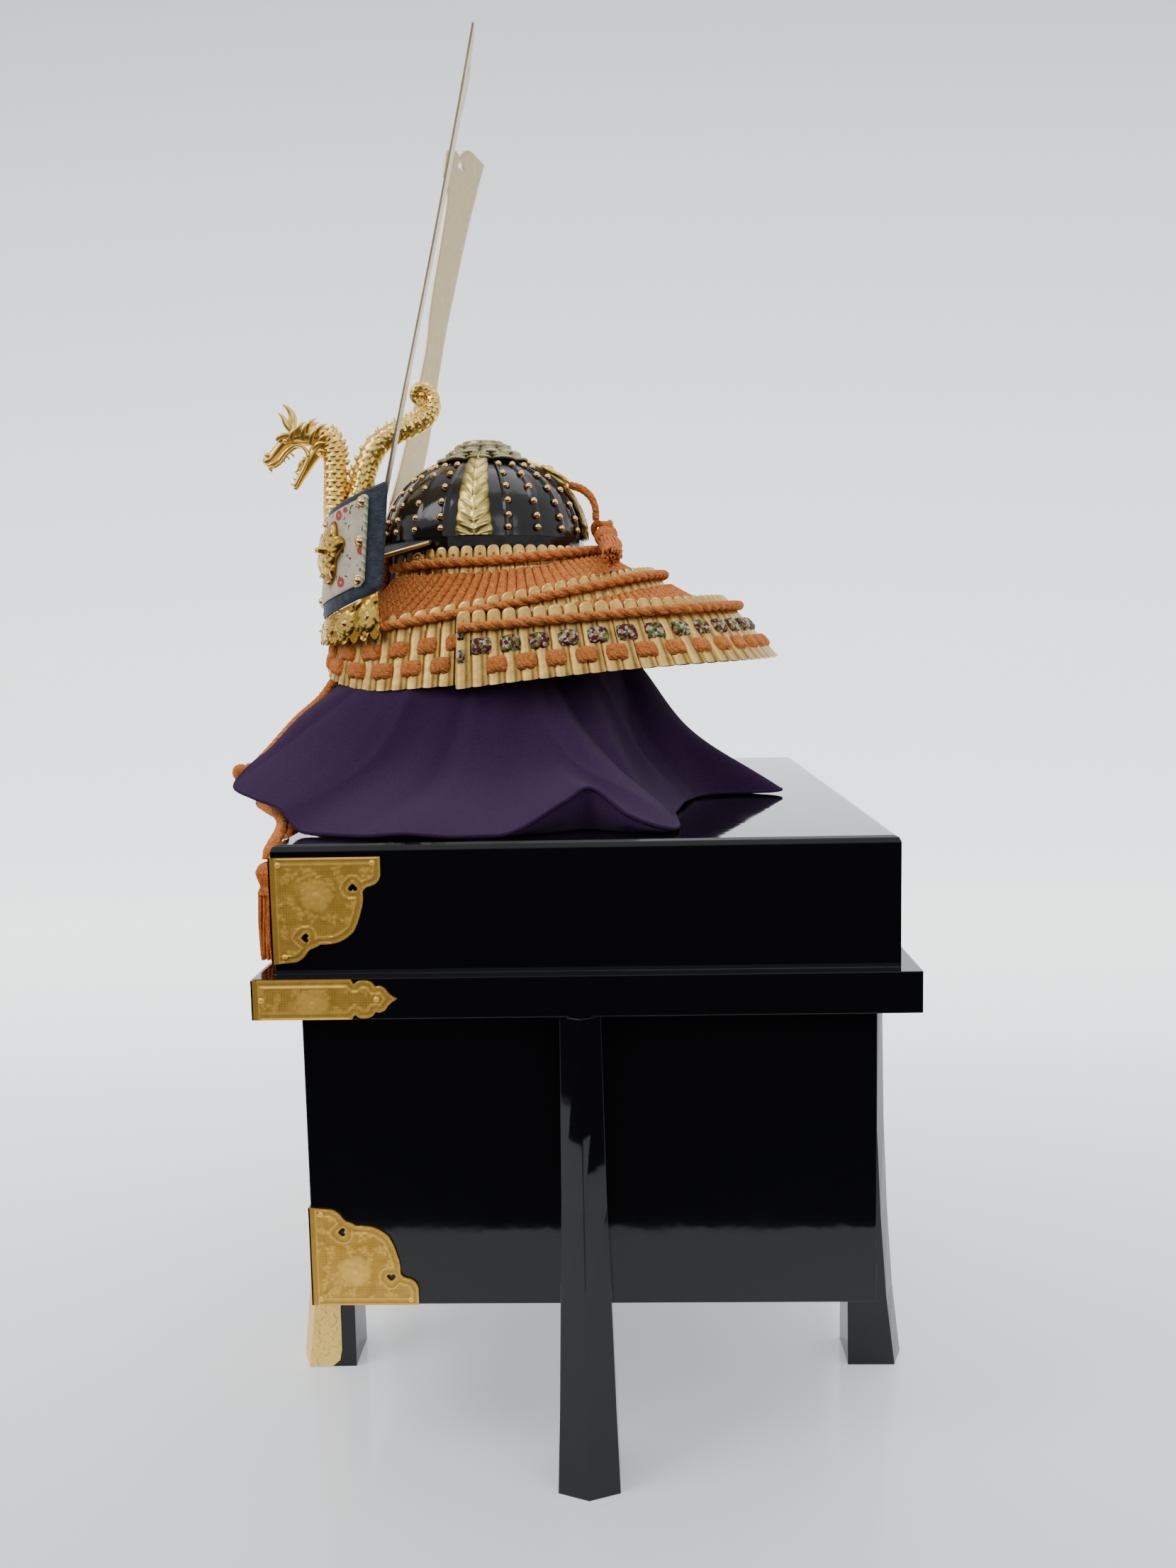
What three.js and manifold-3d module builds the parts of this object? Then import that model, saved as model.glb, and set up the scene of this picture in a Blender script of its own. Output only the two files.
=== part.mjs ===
// A small display kabuto (samurai helmet) on a cloth-draped stand, set on a six-legged lacquered chest.
// Millimetres. +X is the wearer's left, -Y the front of the helmet and chest, +Z up, the floor at z = 0.
import * as THREE from 'three';
import { mergeVertices } from 'three/addons/utils/BufferGeometryUtils.js';
import Module from 'manifold-3d';

const wasm = await Module();
wasm.setup();

// Clearance between two pieces that touch
const fit = 0.3;

// Chest
const lidWidth = 428;
const lidDepth = 300;
const lidRise = 63.1;
const rimThickness = 20;
const rimReach = 8.6;
const boxSide = 152;
const floorGap = 83.5;
const board = 9;
const lidBevel = 3;
const lidPlay = 0.5;
const rimTuck = 4;

// Legs of the chest
const legSpacing = 203;
const sideLegSetForward = 3;
const footReach = 32.3;
const footHalfWidth = 15.2;
const legRidge = 6;

// Gilt fittings on the front corners of the chest
const plateThickness = 0.8;
const lidPlateWidth = 54;
const lidPlateHeight = 52;
const lidPlateDrop = 6;
const rimStripLength = 70;
const boxPlateWidth = 54;
const boxPlateHeight = 51;
const sheathHeight = 103;
const sheathInset = 8;

// Hidden stand and its cloth
const standBaseRadius = 62;
const standBaseHeight = 10;
const standPostRadius = 15;
const standCapRadius = 42;
const standCapDepth = 14;
const clothThickness = 1.5;
const clothReach = 206;
const clothHump = 50;
const clothTop = 30;
const clothTopRadius = 50;
const clothShoulder = 77;

// Bowl of the helmet: its base stands this high over the lid, this far in front of the chest's middle
const browHeight = 156.4;
const helmetSetForward = 65;
const bowlRadius = 60.5;
const bowlHeight = 49;
const bowlWall = 2;
const bowlPlates = 20;
const plateStep = 0.8;
const crownHoleRadius = 10;
const bandHeight = 6;
const bandWall = 1.6;
const panelThickness = 1.2;
const panelBaseWidth = 20.3;
const panelTopWidth = 10;
const crownRadius = 29;
const crownHeight = 12;
const crownPetals = 10;

// Neck guard: three lames laced to each other
const guardFlare = 116;
const guardDrop = 88;
const lameThickness = 1;
const scalePitchUpper = 15.2;
const scalePitch = 17.2;
const scaleRelief = 0.8;
const scaleHead = 4.6;
const ropeRadius = 2.3;
const braidWidth = 7.8;
const braidThickness = 2;
const braidRelief = 0.9;

// Visor
const visorReach = 27;
const visorFall = 15;
const visorThickness = 1.6;
const visorHalfAngle = 66;
const rimWire = 1.3;

// Turned-back wings
const wingThickness = 2;
const insetThickness = 0.8;
const crestThickness = 2.2;
const reliefThickness = 1.6;

// Crest holder, horns and dragon
const crestTurn = 5.9;
const crestSeat = 70;
const holderDrop = 5.6;
const plinthDrop = 7;
const holderWidth = 60;
const holderHeight = 20;
const holderThickness = 2.4;
const hornLength = 271.4;
const hornShaft = 24;
const hornThickness = 1.4;
const hornSpread = 82.7;
const hornFoot = 13;
const hornLean = 11.8;
const hornTurn = 8.6;
const socketDepth = 2.6;
const hornSet = 2.2;
const hornRise = 4.8;
const sheetTurnLeft = -6.7;
const sheetTurnRight = 20.9;
const dragonSize = 80;
const dragonGirth = 6.4;

// Rear ring and its cord
const ringRadius = 9;
const ringWire = 1.6;
const ringUpSlope = 1.8;
const studRadius = 2.5;
const studLength = 5.4;
const rearCordRadius = 2.2;
const rearKnotRadius = 9;

// Chin cord
const chinCordRadius = 3.2;
const chinKnotRadius = 10;
const tasselRadius = 7;
const tasselLength = 50;

// Places worked out from the sizes above
const lidHalfX = lidWidth / 2;
const lidHalfY = lidDepth / 2;
const boxHalfX = lidHalfX - board - lidPlay;
const boxHalfY = lidHalfY - board - lidPlay;
const rimBottom = floorGap + boxSide;
const rimTop = rimBottom + rimThickness;
const lidTop = rimTop + lidRise;
const legTop = rimBottom - fit;
const brow = lidTop + browHeight;
const bandReach = bowlRadius + 2.2;
const snoutReach = 136;
const frontReach = helmetSetForward + snoutReach;
const backReach = boxHalfY + fit + footReach;
const setBack = (frontReach - backReach) / 2;

// Finishes
function finish(color, roughness, metalness) {
  return new THREE.MeshStandardMaterial({ color, roughness, metalness });
}
const lacquer = finish(0x0a0a0c, 0.12, 0);
const gilt = finish(0xc9a24a, 0.35, 1);
const giltRelief = finish(0xd8b348, 0.3, 1);
const goldLame = finish(0xcfa663, 0.38, 1);
const paleGold = finish(0xcdb57a, 0.4, 1);
const patina = finish(0x8a8a5c, 0.5, 1);
const orange = finish(0xc06a35, 0.9, 0);
const purple = finish(0x35173f, 0.95, 0);
const navyLeather = finish(0x2b333d, 0.7, 0);
const printedLeather = finish(0xd6cba6, 0.7, 0);
const plainWood = finish(0x8a6a45, 0.6, 0);

const model = new THREE.Group();
const chest = new THREE.Group();
const helmet = new THREE.Group();
chest.position.y = setBack;
helmet.position.set(0, -helmetSetForward, brow);
chest.add(helmet);
model.add(chest);

function add(group, name, geometry, material) {
  const mesh = new THREE.Mesh(geometry, material);
  mesh.name = name;
  group.add(mesh);
  return mesh;
}

// Closed bodies from points

// Signed volume of an indexed geometry, positive when its faces point out.
function volumeOf(positions, index) {
  let volume = 0;
  const corner = (i) => new THREE.Vector3().fromArray(positions, 3 * i);
  for (let i = 0; i < index.length; i += 3) {
    volume += corner(index[i]).dot(corner(index[i + 1]).cross(corner(index[i + 2]))) / 6;
  }
  return volume;
}

// Points and triangles become one body: equal points merged, flat triangles dropped, faces turned out.
function body(points, triangles) {
  const raw = new THREE.BufferGeometry();
  raw.setAttribute('position', new THREE.Float32BufferAttribute(points.flatMap((p) => p.toArray()), 3));
  raw.setIndex(triangles);
  const merged = mergeVertices(raw, 1e-4);
  const from = Array.from(merged.index.array);
  let index = [];
  for (let i = 0; i < from.length; i += 3) {
    const [a, b, c] = from.slice(i, i + 3);
    if (a !== b && b !== c && c !== a) {
      index.push(a, b, c);
    }
  }
  if (volumeOf(merged.attributes.position.array, index) < 0) {
    index = index.reverse();
  }
  merged.setIndex(index);
  return merged;
}

// Two facing grids of points, [row][column], become one wall. wrap joins the last column to the first.
function shell(outer, inner, wrap = false) {
  const rows = outer.length;
  const columns = outer[0].length;
  const points = [...outer.flat(), ...inner.flat()];
  const back = rows * columns;
  const at = (row, column) => row * columns + (column % columns);
  const triangles = [];
  const quad = (a, b, c, d) => triangles.push(a, b, c, a, c, d);
  const spans = wrap ? columns : columns - 1;
  for (let column = 0; column < spans; column++) {
    for (let row = 0; row < rows - 1; row++) {
      const [a, b] = [at(row, column), at(row, column + 1)];
      const [c, d] = [at(row + 1, column + 1), at(row + 1, column)];
      quad(a, b, c, d);
      quad(back + a, back + d, back + c, back + b);
    }
    const [top, topNext] = [at(0, column), at(0, column + 1)];
    const [low, lowNext] = [at(rows - 1, column), at(rows - 1, column + 1)];
    quad(top, back + top, back + topNext, topNext);
    quad(low, lowNext, back + lowNext, back + low);
  }
  if (!wrap) {
    for (let row = 0; row < rows - 1; row++) {
      const [first, firstNext] = [at(row, 0), at(row + 1, 0)];
      const [last, lastNext] = [at(row, columns - 1), at(row + 1, columns - 1)];
      quad(first, firstNext, back + firstNext, back + first);
      quad(last, back + last, back + lastNext, lastNext);
    }
  }
  return body(points, triangles);
}

// Rings of points joined one after the other, the two end rings closed by a fan round their middle.
function loft(rings) {
  const sides = rings[0].length;
  const points = rings.flat();
  const triangles = [];
  const at = (ring, side) => ring * sides + (side % sides);
  for (let ring = 0; ring < rings.length - 1; ring++) {
    for (let side = 0; side < sides; side++) {
      const [a, b] = [at(ring, side), at(ring, side + 1)];
      const [c, d] = [at(ring + 1, side + 1), at(ring + 1, side)];
      triangles.push(a, b, c, a, c, d);
    }
  }
  for (const [ring, turn] of [[0, 1], [rings.length - 1, 0]]) {
    const middle = points.length;
    const centre = new THREE.Vector3();
    rings[ring].forEach((p) => centre.addScaledVector(p, 1 / sides));
    points.push(centre);
    for (let side = 0; side < sides; side++) {
      const pair = [at(ring, side + turn), at(ring, side + 1 - turn)];
      triangles.push(middle, ...pair);
    }
  }
  return body(points, triangles);
}

// The same body on the other side of the plane x = 0.
function mirrored(geometry) {
  const copy = geometry.clone();
  copy.scale(-1, 1, 1);
  copy.setIndex(Array.from(copy.index.array).reverse());
  return copy;
}

function toSolid(geometry) {
  const bare = geometry.clone();
  bare.deleteAttribute('normal');
  bare.deleteAttribute('uv');
  const merged = mergeVertices(bare, 1e-4);
  return new wasm.Manifold(new wasm.Mesh({
    numProp: 3,
    vertProperties: new Float32Array(merged.attributes.position.array),
    triVerts: new Uint32Array(merged.index.array),
  }));
}

function toGeometry(solid) {
  const mesh = solid.getMesh();
  const geometry = new THREE.BufferGeometry();
  geometry.setAttribute('position', new THREE.BufferAttribute(new Float32Array(mesh.vertProperties), 3));
  geometry.setIndex(new THREE.BufferAttribute(new Uint32Array(mesh.triVerts), 1));
  return geometry;
}

function join(...geometries) {
  return toGeometry(geometries.map(toSolid).reduce((sum, solid) => sum.add(solid)));
}

function cut(geometry, ...tools) {
  return toGeometry(tools.map(toSolid).reduce((rest, tool) => rest.subtract(tool), toSolid(geometry)));
}

// A box from its lowest to its highest corner.
function block(low, high) {
  const geometry = new THREE.BoxGeometry(high[0] - low[0], high[1] - low[1], high[2] - low[2]);
  geometry.translate((low[0] + high[0]) / 2, (low[1] + high[1]) / 2, (low[2] + high[2]) / 2);
  return geometry;
}

// A round tube along a list of points, with flat ends.
function tube(points, radius, steps, sides) {
  const corners = [];
  for (let side = 0; side < sides; side++) {
    const angle = (2 * Math.PI * side) / sides;
    corners.push(new THREE.Vector2(radius * Math.cos(angle), radius * Math.sin(angle)));
  }
  const path = new THREE.CatmullRomCurve3(points, false, 'centripetal');
  const shape = new THREE.Shape(corners);
  return new THREE.ExtrudeGeometry(shape, { extrudePath: path, steps, bevelEnabled: false });
}

// Chest: an open box, a lid with a projecting rim that slides down over it, and six flared legs

function chestBox() {
  const top = lidTop - board - fit;
  const outside = block([-boxHalfX, -boxHalfY, floorGap], [boxHalfX, boxHalfY, top]);
  const inside = block(
    [-boxHalfX + board, -boxHalfY + board, floorGap + board],
    [boxHalfX - board, boxHalfY - board, top + board],
  );
  return cut(outside, inside);
}

function chestLid() {
  const [w, d] = [lidHalfX - lidBevel, lidHalfY - lidBevel];
  const outline = new THREE.Shape([
    new THREE.Vector2(-w, -d),
    new THREE.Vector2(w, -d),
    new THREE.Vector2(w, d),
    new THREE.Vector2(-w, d),
  ]);
  const cap = new THREE.ExtrudeGeometry(outline, {
    depth: lidRise + rimTuck - 2 * lidBevel,
    bevelThickness: lidBevel,
    bevelSize: lidBevel,
    bevelSegments: 2,
  });
  cap.translate(0, 0, rimTop - rimTuck + lidBevel);
  const [rimX, rimY] = [lidHalfX + rimReach, lidHalfY + rimReach];
  const rim = block([-rimX, -rimY, rimBottom], [rimX, rimY, rimTop]);
  const hollow = block(
    [-lidHalfX + board, -lidHalfY + board, rimBottom - board],
    [lidHalfX - board, lidHalfY - board, lidTop - board],
  );
  return cut(join(cap, rim), hollow);
}

// Legs: how far the ridge stands out and how wide the leg is, as shares of the foot's, from floor to top.
const legRows = [
  { height: 0, reach: 1, width: 1 },
  { height: 0.06, reach: 0.95, width: 0.97 },
  { height: 0.17, reach: 0.86, width: 0.91 },
  { height: 0.37, reach: 0.765, width: 0.83 },
  { height: 0.6, reach: 0.7, width: 0.73 },
  { height: 1, reach: 0.66, width: 0.65 },
];

function legAt(share) {
  let row = 1;
  while (row < legRows.length - 1 && legRows[row].height < share) {
    row += 1;
  }
  const [low, high] = [legRows[row - 1], legRows[row]];
  const part = (share - low.height) / (high.height - low.height);
  return {
    reach: footReach * THREE.MathUtils.lerp(low.reach, high.reach, part),
    half: footHalfWidth * THREE.MathUtils.lerp(low.width, high.width, part),
  };
}

// The leg leans on the box at y = 0 and stands out along +Y.
function legGeometry() {
  return loft(legRows.map(({ height }) => {
    const { reach, half } = legAt(height);
    const z = height * legTop;
    return [
      new THREE.Vector3(-half, 0, z),
      new THREE.Vector3(half, 0, z),
      new THREE.Vector3(half, reach - legRidge, z),
      new THREE.Vector3(0, reach, z),
      new THREE.Vector3(-half, reach - legRidge, z),
    ];
  }));
}

// The gilt sheath wraps the ridge and both sides of a front leg, with its rear corners rounded off.
const sheathRows = [
  { height: 0.006, inset: 1.7 },
  { height: 0.04, inset: 1.15 },
  { height: 0.1, inset: 1 },
  { height: 0.4, inset: 1 },
  { height: 1, inset: 1 },
];

function sheathGeometry() {
  const path = (height, inset, out) => {
    const z = height * sheathHeight;
    const { reach, half } = legAt(z / legTop);
    const [side, corner, ridge] = [half + out, reach - legRidge + out / 2, reach + out];
    return [
      new THREE.Vector3(-side, sheathInset * inset, z),
      new THREE.Vector3(-side, corner, z),
      new THREE.Vector3(0, ridge, z),
      new THREE.Vector3(side, corner, z),
      new THREE.Vector3(side, sheathInset * inset, z),
    ];
  };
  const outer = sheathRows.map(({ height, inset }) => path(height, inset, fit + plateThickness));
  const inner = sheathRows.map(({ height, inset }) => path(height, inset, fit));
  return shell(outer, inner);
}

// Gilt corner plates: straight along the edges, an ogee scallop across, two heart-shaped holes.
function scallop(width, height) {
  const shape = new THREE.Shape();
  shape.moveTo(0, 0);
  shape.lineTo(width, 0);
  shape.lineTo(width, 0.16 * height);
  shape.quadraticCurveTo(0.98 * width, 0.27 * height, 0.85 * width, 0.31 * height);
  shape.quadraticCurveTo(0.86 * width, 0.55 * height, 0.72 * width, 0.7 * height);
  shape.quadraticCurveTo(0.56 * width, 0.84 * height, 0.38 * width, 0.82 * height);
  shape.quadraticCurveTo(0.3 * width, 0.97 * height, 0.14 * width, height);
  shape.lineTo(0, height);
  for (const [x, y, turn] of [[0.74, 0.28, 0], [0.3, 0.73, -Math.PI / 2]]) {
    shape.holes.push(heart(x * width, y * height, 0.045 * width, turn));
  }
  return shape;
}

// A heart-shaped hole: a point and two lobes, in eight corners.
const heartCorners = [[0, -1.2], [0.9, 0], [1, 0.7], [0.5, 1.1], [0, 0.7], [-0.5, 1.1], [-1, 0.7], [-0.9, 0]];

function heart(x, y, size, turn) {
  return new THREE.Path(heartCorners.map(([a, b]) => {
    const corner = new THREE.Vector2(a * size, b * size).rotateAround(new THREE.Vector2(), turn);
    return corner.add(new THREE.Vector2(x, y));
  }));
}

// The strip on the rim ends in a cloud and a point.
function cloudStrip(length, height) {
  const shape = new THREE.Shape();
  const middle = height / 2;
  shape.moveTo(0, 0);
  shape.lineTo(0.7 * length, 0);
  shape.lineTo(0.73 * length, 0.16 * height);
  shape.quadraticCurveTo(0.82 * length, -0.04 * height, 0.89 * length, 0.2 * height);
  shape.quadraticCurveTo(0.95 * length, 0.18 * height, length, middle);
  shape.quadraticCurveTo(0.95 * length, 0.82 * height, 0.89 * length, 0.8 * height);
  shape.quadraticCurveTo(0.82 * length, 1.04 * height, 0.73 * length, 0.84 * height);
  shape.lineTo(0.7 * length, height);
  shape.lineTo(0, height);
  return shape;
}

// One plate on the +X side and its twin on the front, joined along the vertical front edge of the chest.
// The outline's first axis runs away from that edge, its second up (rise 1) or down (rise -1) from z.
function wrappedPlate(outline, halfX, halfY, z, rise) {
  const flat = new THREE.ExtrudeGeometry(outline, {
    depth: plateThickness,
    bevelEnabled: false,
    curveSegments: 3,
  });
  const lap = fit + plateThickness;
  const place = (right, out, corner) => {
    const up = new THREE.Vector3(0, 0, rise);
    const turned = flat.clone();
    turned.applyMatrix4(new THREE.Matrix4().makeBasis(right, up, out).setPosition(corner));
    const bare = toPlain(turned);
    return body(bare.points, bare.triangles);
  };
  const side = place(
    new THREE.Vector3(0, 1, 0),
    new THREE.Vector3(1, 0, 0),
    new THREE.Vector3(halfX + fit, -halfY - lap, z),
  );
  const front = place(
    new THREE.Vector3(-1, 0, 0),
    new THREE.Vector3(0, -1, 0),
    new THREE.Vector3(halfX + lap, -halfY - fit, z),
  );
  return join(side, front);
}

// The points and triangles of a geometry, as lists.
function toPlain(geometry) {
  const bare = geometry.clone();
  bare.deleteAttribute('normal');
  bare.deleteAttribute('uv');
  const merged = mergeVertices(bare, 1e-4);
  const position = merged.attributes.position;
  const points = [];
  for (let i = 0; i < position.count; i++) {
    points.push(new THREE.Vector3().fromBufferAttribute(position, i));
  }
  return { points, triangles: Array.from(merged.index.array) };
}

function addChest() {
  add(chest, 'chest_box', chestBox(), lacquer);
  add(chest, 'chest_lid', chestLid(), lacquer);
  const leg = legGeometry();
  const sheath = sheathGeometry();
  const places = [
    { name: 'front_left', x: legSpacing / 2, y: -boxHalfY - fit, turn: Math.PI },
    { name: 'front_right', x: -legSpacing / 2, y: -boxHalfY - fit, turn: Math.PI },
    { name: 'back_left', x: legSpacing / 2, y: boxHalfY + fit, turn: 0 },
    { name: 'back_right', x: -legSpacing / 2, y: boxHalfY + fit, turn: 0 },
    { name: 'side_left', x: boxHalfX + fit, y: -sideLegSetForward, turn: -Math.PI / 2 },
    { name: 'side_right', x: -boxHalfX - fit, y: -sideLegSetForward, turn: Math.PI / 2 },
  ];
  for (const { name, x, y, turn } of places) {
    const pieces = [add(chest, `leg_${name}`, leg, lacquer)];
    if (name.startsWith('front')) {
      pieces.push(add(chest, `foot_sheath_${name}`, sheath, gilt));
    }
    for (const piece of pieces) {
      piece.position.set(x, y, 0);
      piece.rotation.z = turn;
    }
  }
  const [rimX, rimY] = [lidHalfX + rimReach, lidHalfY + rimReach];
  const stripHeight = rimThickness - 2 * fit;
  const fittings = {
    lid_corner: wrappedPlate(scallop(lidPlateWidth, lidPlateHeight), lidHalfX, lidHalfY,
      lidTop - lidPlateDrop, -1),
    rim_strip: wrappedPlate(cloudStrip(rimStripLength, stripHeight), rimX, rimY, rimBottom + fit, 1),
    box_corner: wrappedPlate(scallop(boxPlateWidth, boxPlateHeight), boxHalfX, boxHalfY, floorGap, 1),
  };
  for (const [name, geometry] of Object.entries(fittings)) {
    add(chest, `${name}_left`, geometry, gilt);
    add(chest, `${name}_right`, mirrored(geometry), gilt);
  }
}

// Bowl: a low dome of lapped plates

// Reach and height of the bowl's outside, as shares of its radius and height, from base to crown hole.
const bowlRows = [
  { reach: 1, rise: 0 },
  { reach: 0.985, rise: 0.2 },
  { reach: 0.9, rise: 0.47 },
  { reach: 0.72, rise: 0.74 },
  { reach: 0.46, rise: 0.93 },
  { reach: crownHoleRadius / bowlRadius, rise: 1 },
];
const bowlOutside = bowlRows.map(({ reach, rise }) => (
  new THREE.Vector2(reach * bowlRadius, rise * bowlHeight)));

// A half-section moved inwards by a distance, square to its own line.
function inset(profile, distance) {
  return profile.map((point, i) => {
    const before = profile[Math.max(i - 1, 0)];
    const after = profile[Math.min(i + 1, profile.length - 1)];
    const along = after.clone().sub(before).normalize();
    return new THREE.Vector2(point.x - along.y * distance, point.y + along.x * distance);
  });
}

// A half-section carried once round the axis; lift changes its reach at each of the angles.
function round(profile, columns, lift = () => 0) {
  return profile.map((point) => {
    const row = [];
    for (let column = 0; column < columns; column++) {
      const angle = (2 * Math.PI * column) / columns;
      const reach = point.x + lift(column, point);
      row.push(new THREE.Vector3(reach * Math.cos(angle), reach * Math.sin(angle), point.y));
    }
    return row;
  });
}

function bowl() {
  const columns = 2 * bowlPlates;
  const lap = (column) => (column % 2 ? plateStep : 0);
  return shell(round(bowlOutside, columns, lap), round(inset(bowlOutside, bowlWall), columns), true);
}

// The base band stands under the bowl and inside the upper lame.
function baseBand() {
  const high = -fit;
  const low = high - bandHeight;
  const wall = (reach) => [new THREE.Vector2(reach, high), new THREE.Vector2(reach, low)];
  const outside = bowlRadius + plateStep;
  return shell(round(wall(outside), 24), round(wall(outside - bandWall), 24), true);
}

// A gilt cast strip up the bowl, wider at its base.
function bowlPanel(direction) {
  const profile = bowlOutside.slice(0, 5);
  const strip = (distance) => inset(profile, distance).map((point, row) => {
    const share = row / (profile.length - 1);
    const width = THREE.MathUtils.lerp(panelBaseWidth, panelTopWidth, share);
    return [-0.5, 0, 0.5].map((across) => {
      const angle = direction + (across * width) / point.x;
      return new THREE.Vector3(point.x * Math.cos(angle), point.x * Math.sin(angle), point.y);
    });
  });
  const seat = plateStep + fit;
  return shell(strip(-seat - panelThickness), strip(-seat));
}

// The crown ornament covers the hole in tiers of petals.
const crownRows = [
  { reach: 0.36, rise: 0.14, petal: 0 },
  { reach: 0.96, rise: -0.2, petal: 1 },
  { reach: 1, rise: -0.06, petal: 1 },
  { reach: 0.82, rise: 0.12, petal: 1 },
  { reach: 0.8, rise: 0.3, petal: 1 },
  { reach: 0.62, rise: 0.46, petal: 0.6 },
  { reach: 0.6, rise: 0.74, petal: 0.4 },
  { reach: 0.46, rise: 0.82, petal: 0 },
  { reach: 0.42, rise: 1, petal: 0 },
];

function crownOrnament() {
  const profile = crownRows.map(({ reach, rise }) => (
    new THREE.Vector2(reach * crownRadius, bowlHeight + fit + rise * crownHeight)));
  const depth = 0.05 * crownRadius;
  const rings = round(profile, 2 * crownPetals, (column, point) => {
    const row = crownRows[profile.indexOf(point)];
    return column % 2 ? -depth * row.petal : 0;
  });
  return loft(rings);
}

// Neck guard

// One row for each direction round the bowl, from the front end (below 0) to the middle of the rear (90),
// on the wearer's left and mirrored on the right. Reaches are shares of guardFlare out from the base band,
// drops are shares of guardDrop down from the brow.
const upperRows = [
  { direction: -50, headOut: 0, headDown: 0.1, rimOut: 0.04, rimDown: 0.3 },
  { direction: -20, headOut: 0, headDown: 0.07, rimOut: 0.036, rimDown: 0.29 },
  { direction: 10, headOut: 0, headDown: 0.06, rimOut: 0.036, rimDown: 0.28 },
  { direction: 40, headOut: 0, headDown: 0.06, rimOut: 0.07, rimDown: 0.23 },
  { direction: 65, headOut: 0, headDown: 0.06, rimOut: 0.11, rimDown: 0.18 },
  { direction: 90, headOut: 0, headDown: 0.06, rimOut: 0.13, rimDown: 0.16 },
];
const middleRows = [
  { direction: -63, headOut: 0.285, headDown: 0.6, rimOut: 0.342, rimDown: 0.81 },
  { direction: -47.5, headOut: 0.355, headDown: 0.57, rimOut: 0.42, rimDown: 0.92 },
  { direction: -33.5, headOut: 0.315, headDown: 0.53, rimOut: 0.39, rimDown: 0.985 },
  { direction: -16.3, headOut: 0.22, headDown: 0.475, rimOut: 0.318, rimDown: 0.975 },
  { direction: 14, headOut: 0.225, headDown: 0.38, rimOut: 0.315, rimDown: 0.93 },
  { direction: 39.2, headOut: 0.3, headDown: 0.29, rimOut: 0.48, rimDown: 0.84 },
  { direction: 63.5, headOut: 0.33, headDown: 0.225, rimOut: 0.59, rimDown: 0.73 },
  { direction: 90, headOut: 0.35, headDown: 0.2, rimOut: 0.61, rimDown: 0.68 },
];
const lowerRows = [
  { direction: -4.5, headOut: 0.285, headDown: 0.5, rimOut: 0.352, rimDown: 0.985 },
  { direction: 22.8, headOut: 0.37, headDown: 0.475, rimOut: 0.475, rimDown: 0.92 },
  { direction: 39, headOut: 0.54, headDown: 0.45, rimOut: 0.665, rimDown: 0.88 },
  { direction: 52.4, headOut: 0.665, headDown: 0.435, rimOut: 0.86, rimDown: 0.85 },
  { direction: 70, headOut: 0.71, headDown: 0.415, rimOut: 0.97, rimDown: 0.835 },
  { direction: 90, headOut: 0.72, headDown: 0.405, rimOut: 1.01, rimDown: 0.83 },
];

// A point by direction, reach out of the base band and drop below the brow.
function guardPoint(direction, out, down) {
  const angle = THREE.MathUtils.degToRad(direction);
  const reach = bandReach + out * guardFlare;
  return new THREE.Vector3(reach * Math.cos(angle), reach * Math.sin(angle), -down * guardDrop);
}

// A curve through one side's points, then the other side's in mirrored order.
function mirroredCurve(points) {
  const other = points.slice(0, -1).reverse().map((p) => new THREE.Vector3(-p.x, p.y, p.z));
  return new THREE.CatmullRomCurve3([...points, ...other], false, 'centripetal');
}

// A lame's middle surface: u runs from the left front end round the rear to the right front end,
// v from the scale heads (0) to the rim (1), out is the distance outside the surface, and along gives
// the u that lies in a direction.
function guardSurface(rows) {
  const heads = mirroredCurve(rows.map((r) => guardPoint(r.direction, r.headOut, r.headDown)));
  const rim = mirroredCurve(rows.map((r) => guardPoint(r.direction, r.rimOut, r.rimDown)));
  const flat = (u, v) => {
    const t = rim.getUtoTmapping(u);
    return heads.getPoint(t).lerp(rim.getPoint(t), v);
  };
  const point = (u, v, out = 0) => {
    const [before, after] = [Math.max(u - 0.004, 0), Math.min(u + 0.004, 1)];
    const along = flat(after, v).sub(flat(before, v));
    const down = flat(u, 1).sub(flat(u, 0));
    return flat(u, v).addScaledVector(along.cross(down).normalize(), -out);
  };
  const height = (u) => flat(u, 1).distanceTo(flat(u, 0));
  const along = (direction) => {
    let [low, high] = [0, 0.5];
    for (let i = 0; i < 20; i++) {
      const u = (low + high) / 2;
      const here = flat(u, 0.5);
      const isShort = THREE.MathUtils.radToDeg(Math.atan2(here.y, here.x)) < direction;
      [low, high] = isShort ? [u, high] : [low, u];
    }
    return low;
  };
  return { point, height, along, length: (heads.getLength() + rim.getLength()) / 2 };
}
const upper = guardSurface(upperRows);
const middle = guardSurface(middleRows);
const lower = guardSurface(lowerRows);

// Each pair of scales is two columns: a low joint, then a raised, round-topped head.
function lame(surface, pitch) {
  const pairs = Math.round(surface.length / pitch);
  const outer = [[], []];
  const inner = [[], []];
  const column = (u, raised) => {
    const top = raised ? 0 : scaleHead / surface.height(u);
    const out = raised ? scaleRelief : 0;
    [top, 1].forEach((v, row) => {
      outer[row].push(surface.point(u, v, out));
      inner[row].push(surface.point(u, v, out - lameThickness));
    });
  };
  for (let pair = 0; pair < pairs; pair++) {
    column(pair / pairs, false);
    column((pair + 0.5) / pairs, true);
  }
  column(1, false);
  return shell(outer, inner);
}

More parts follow.
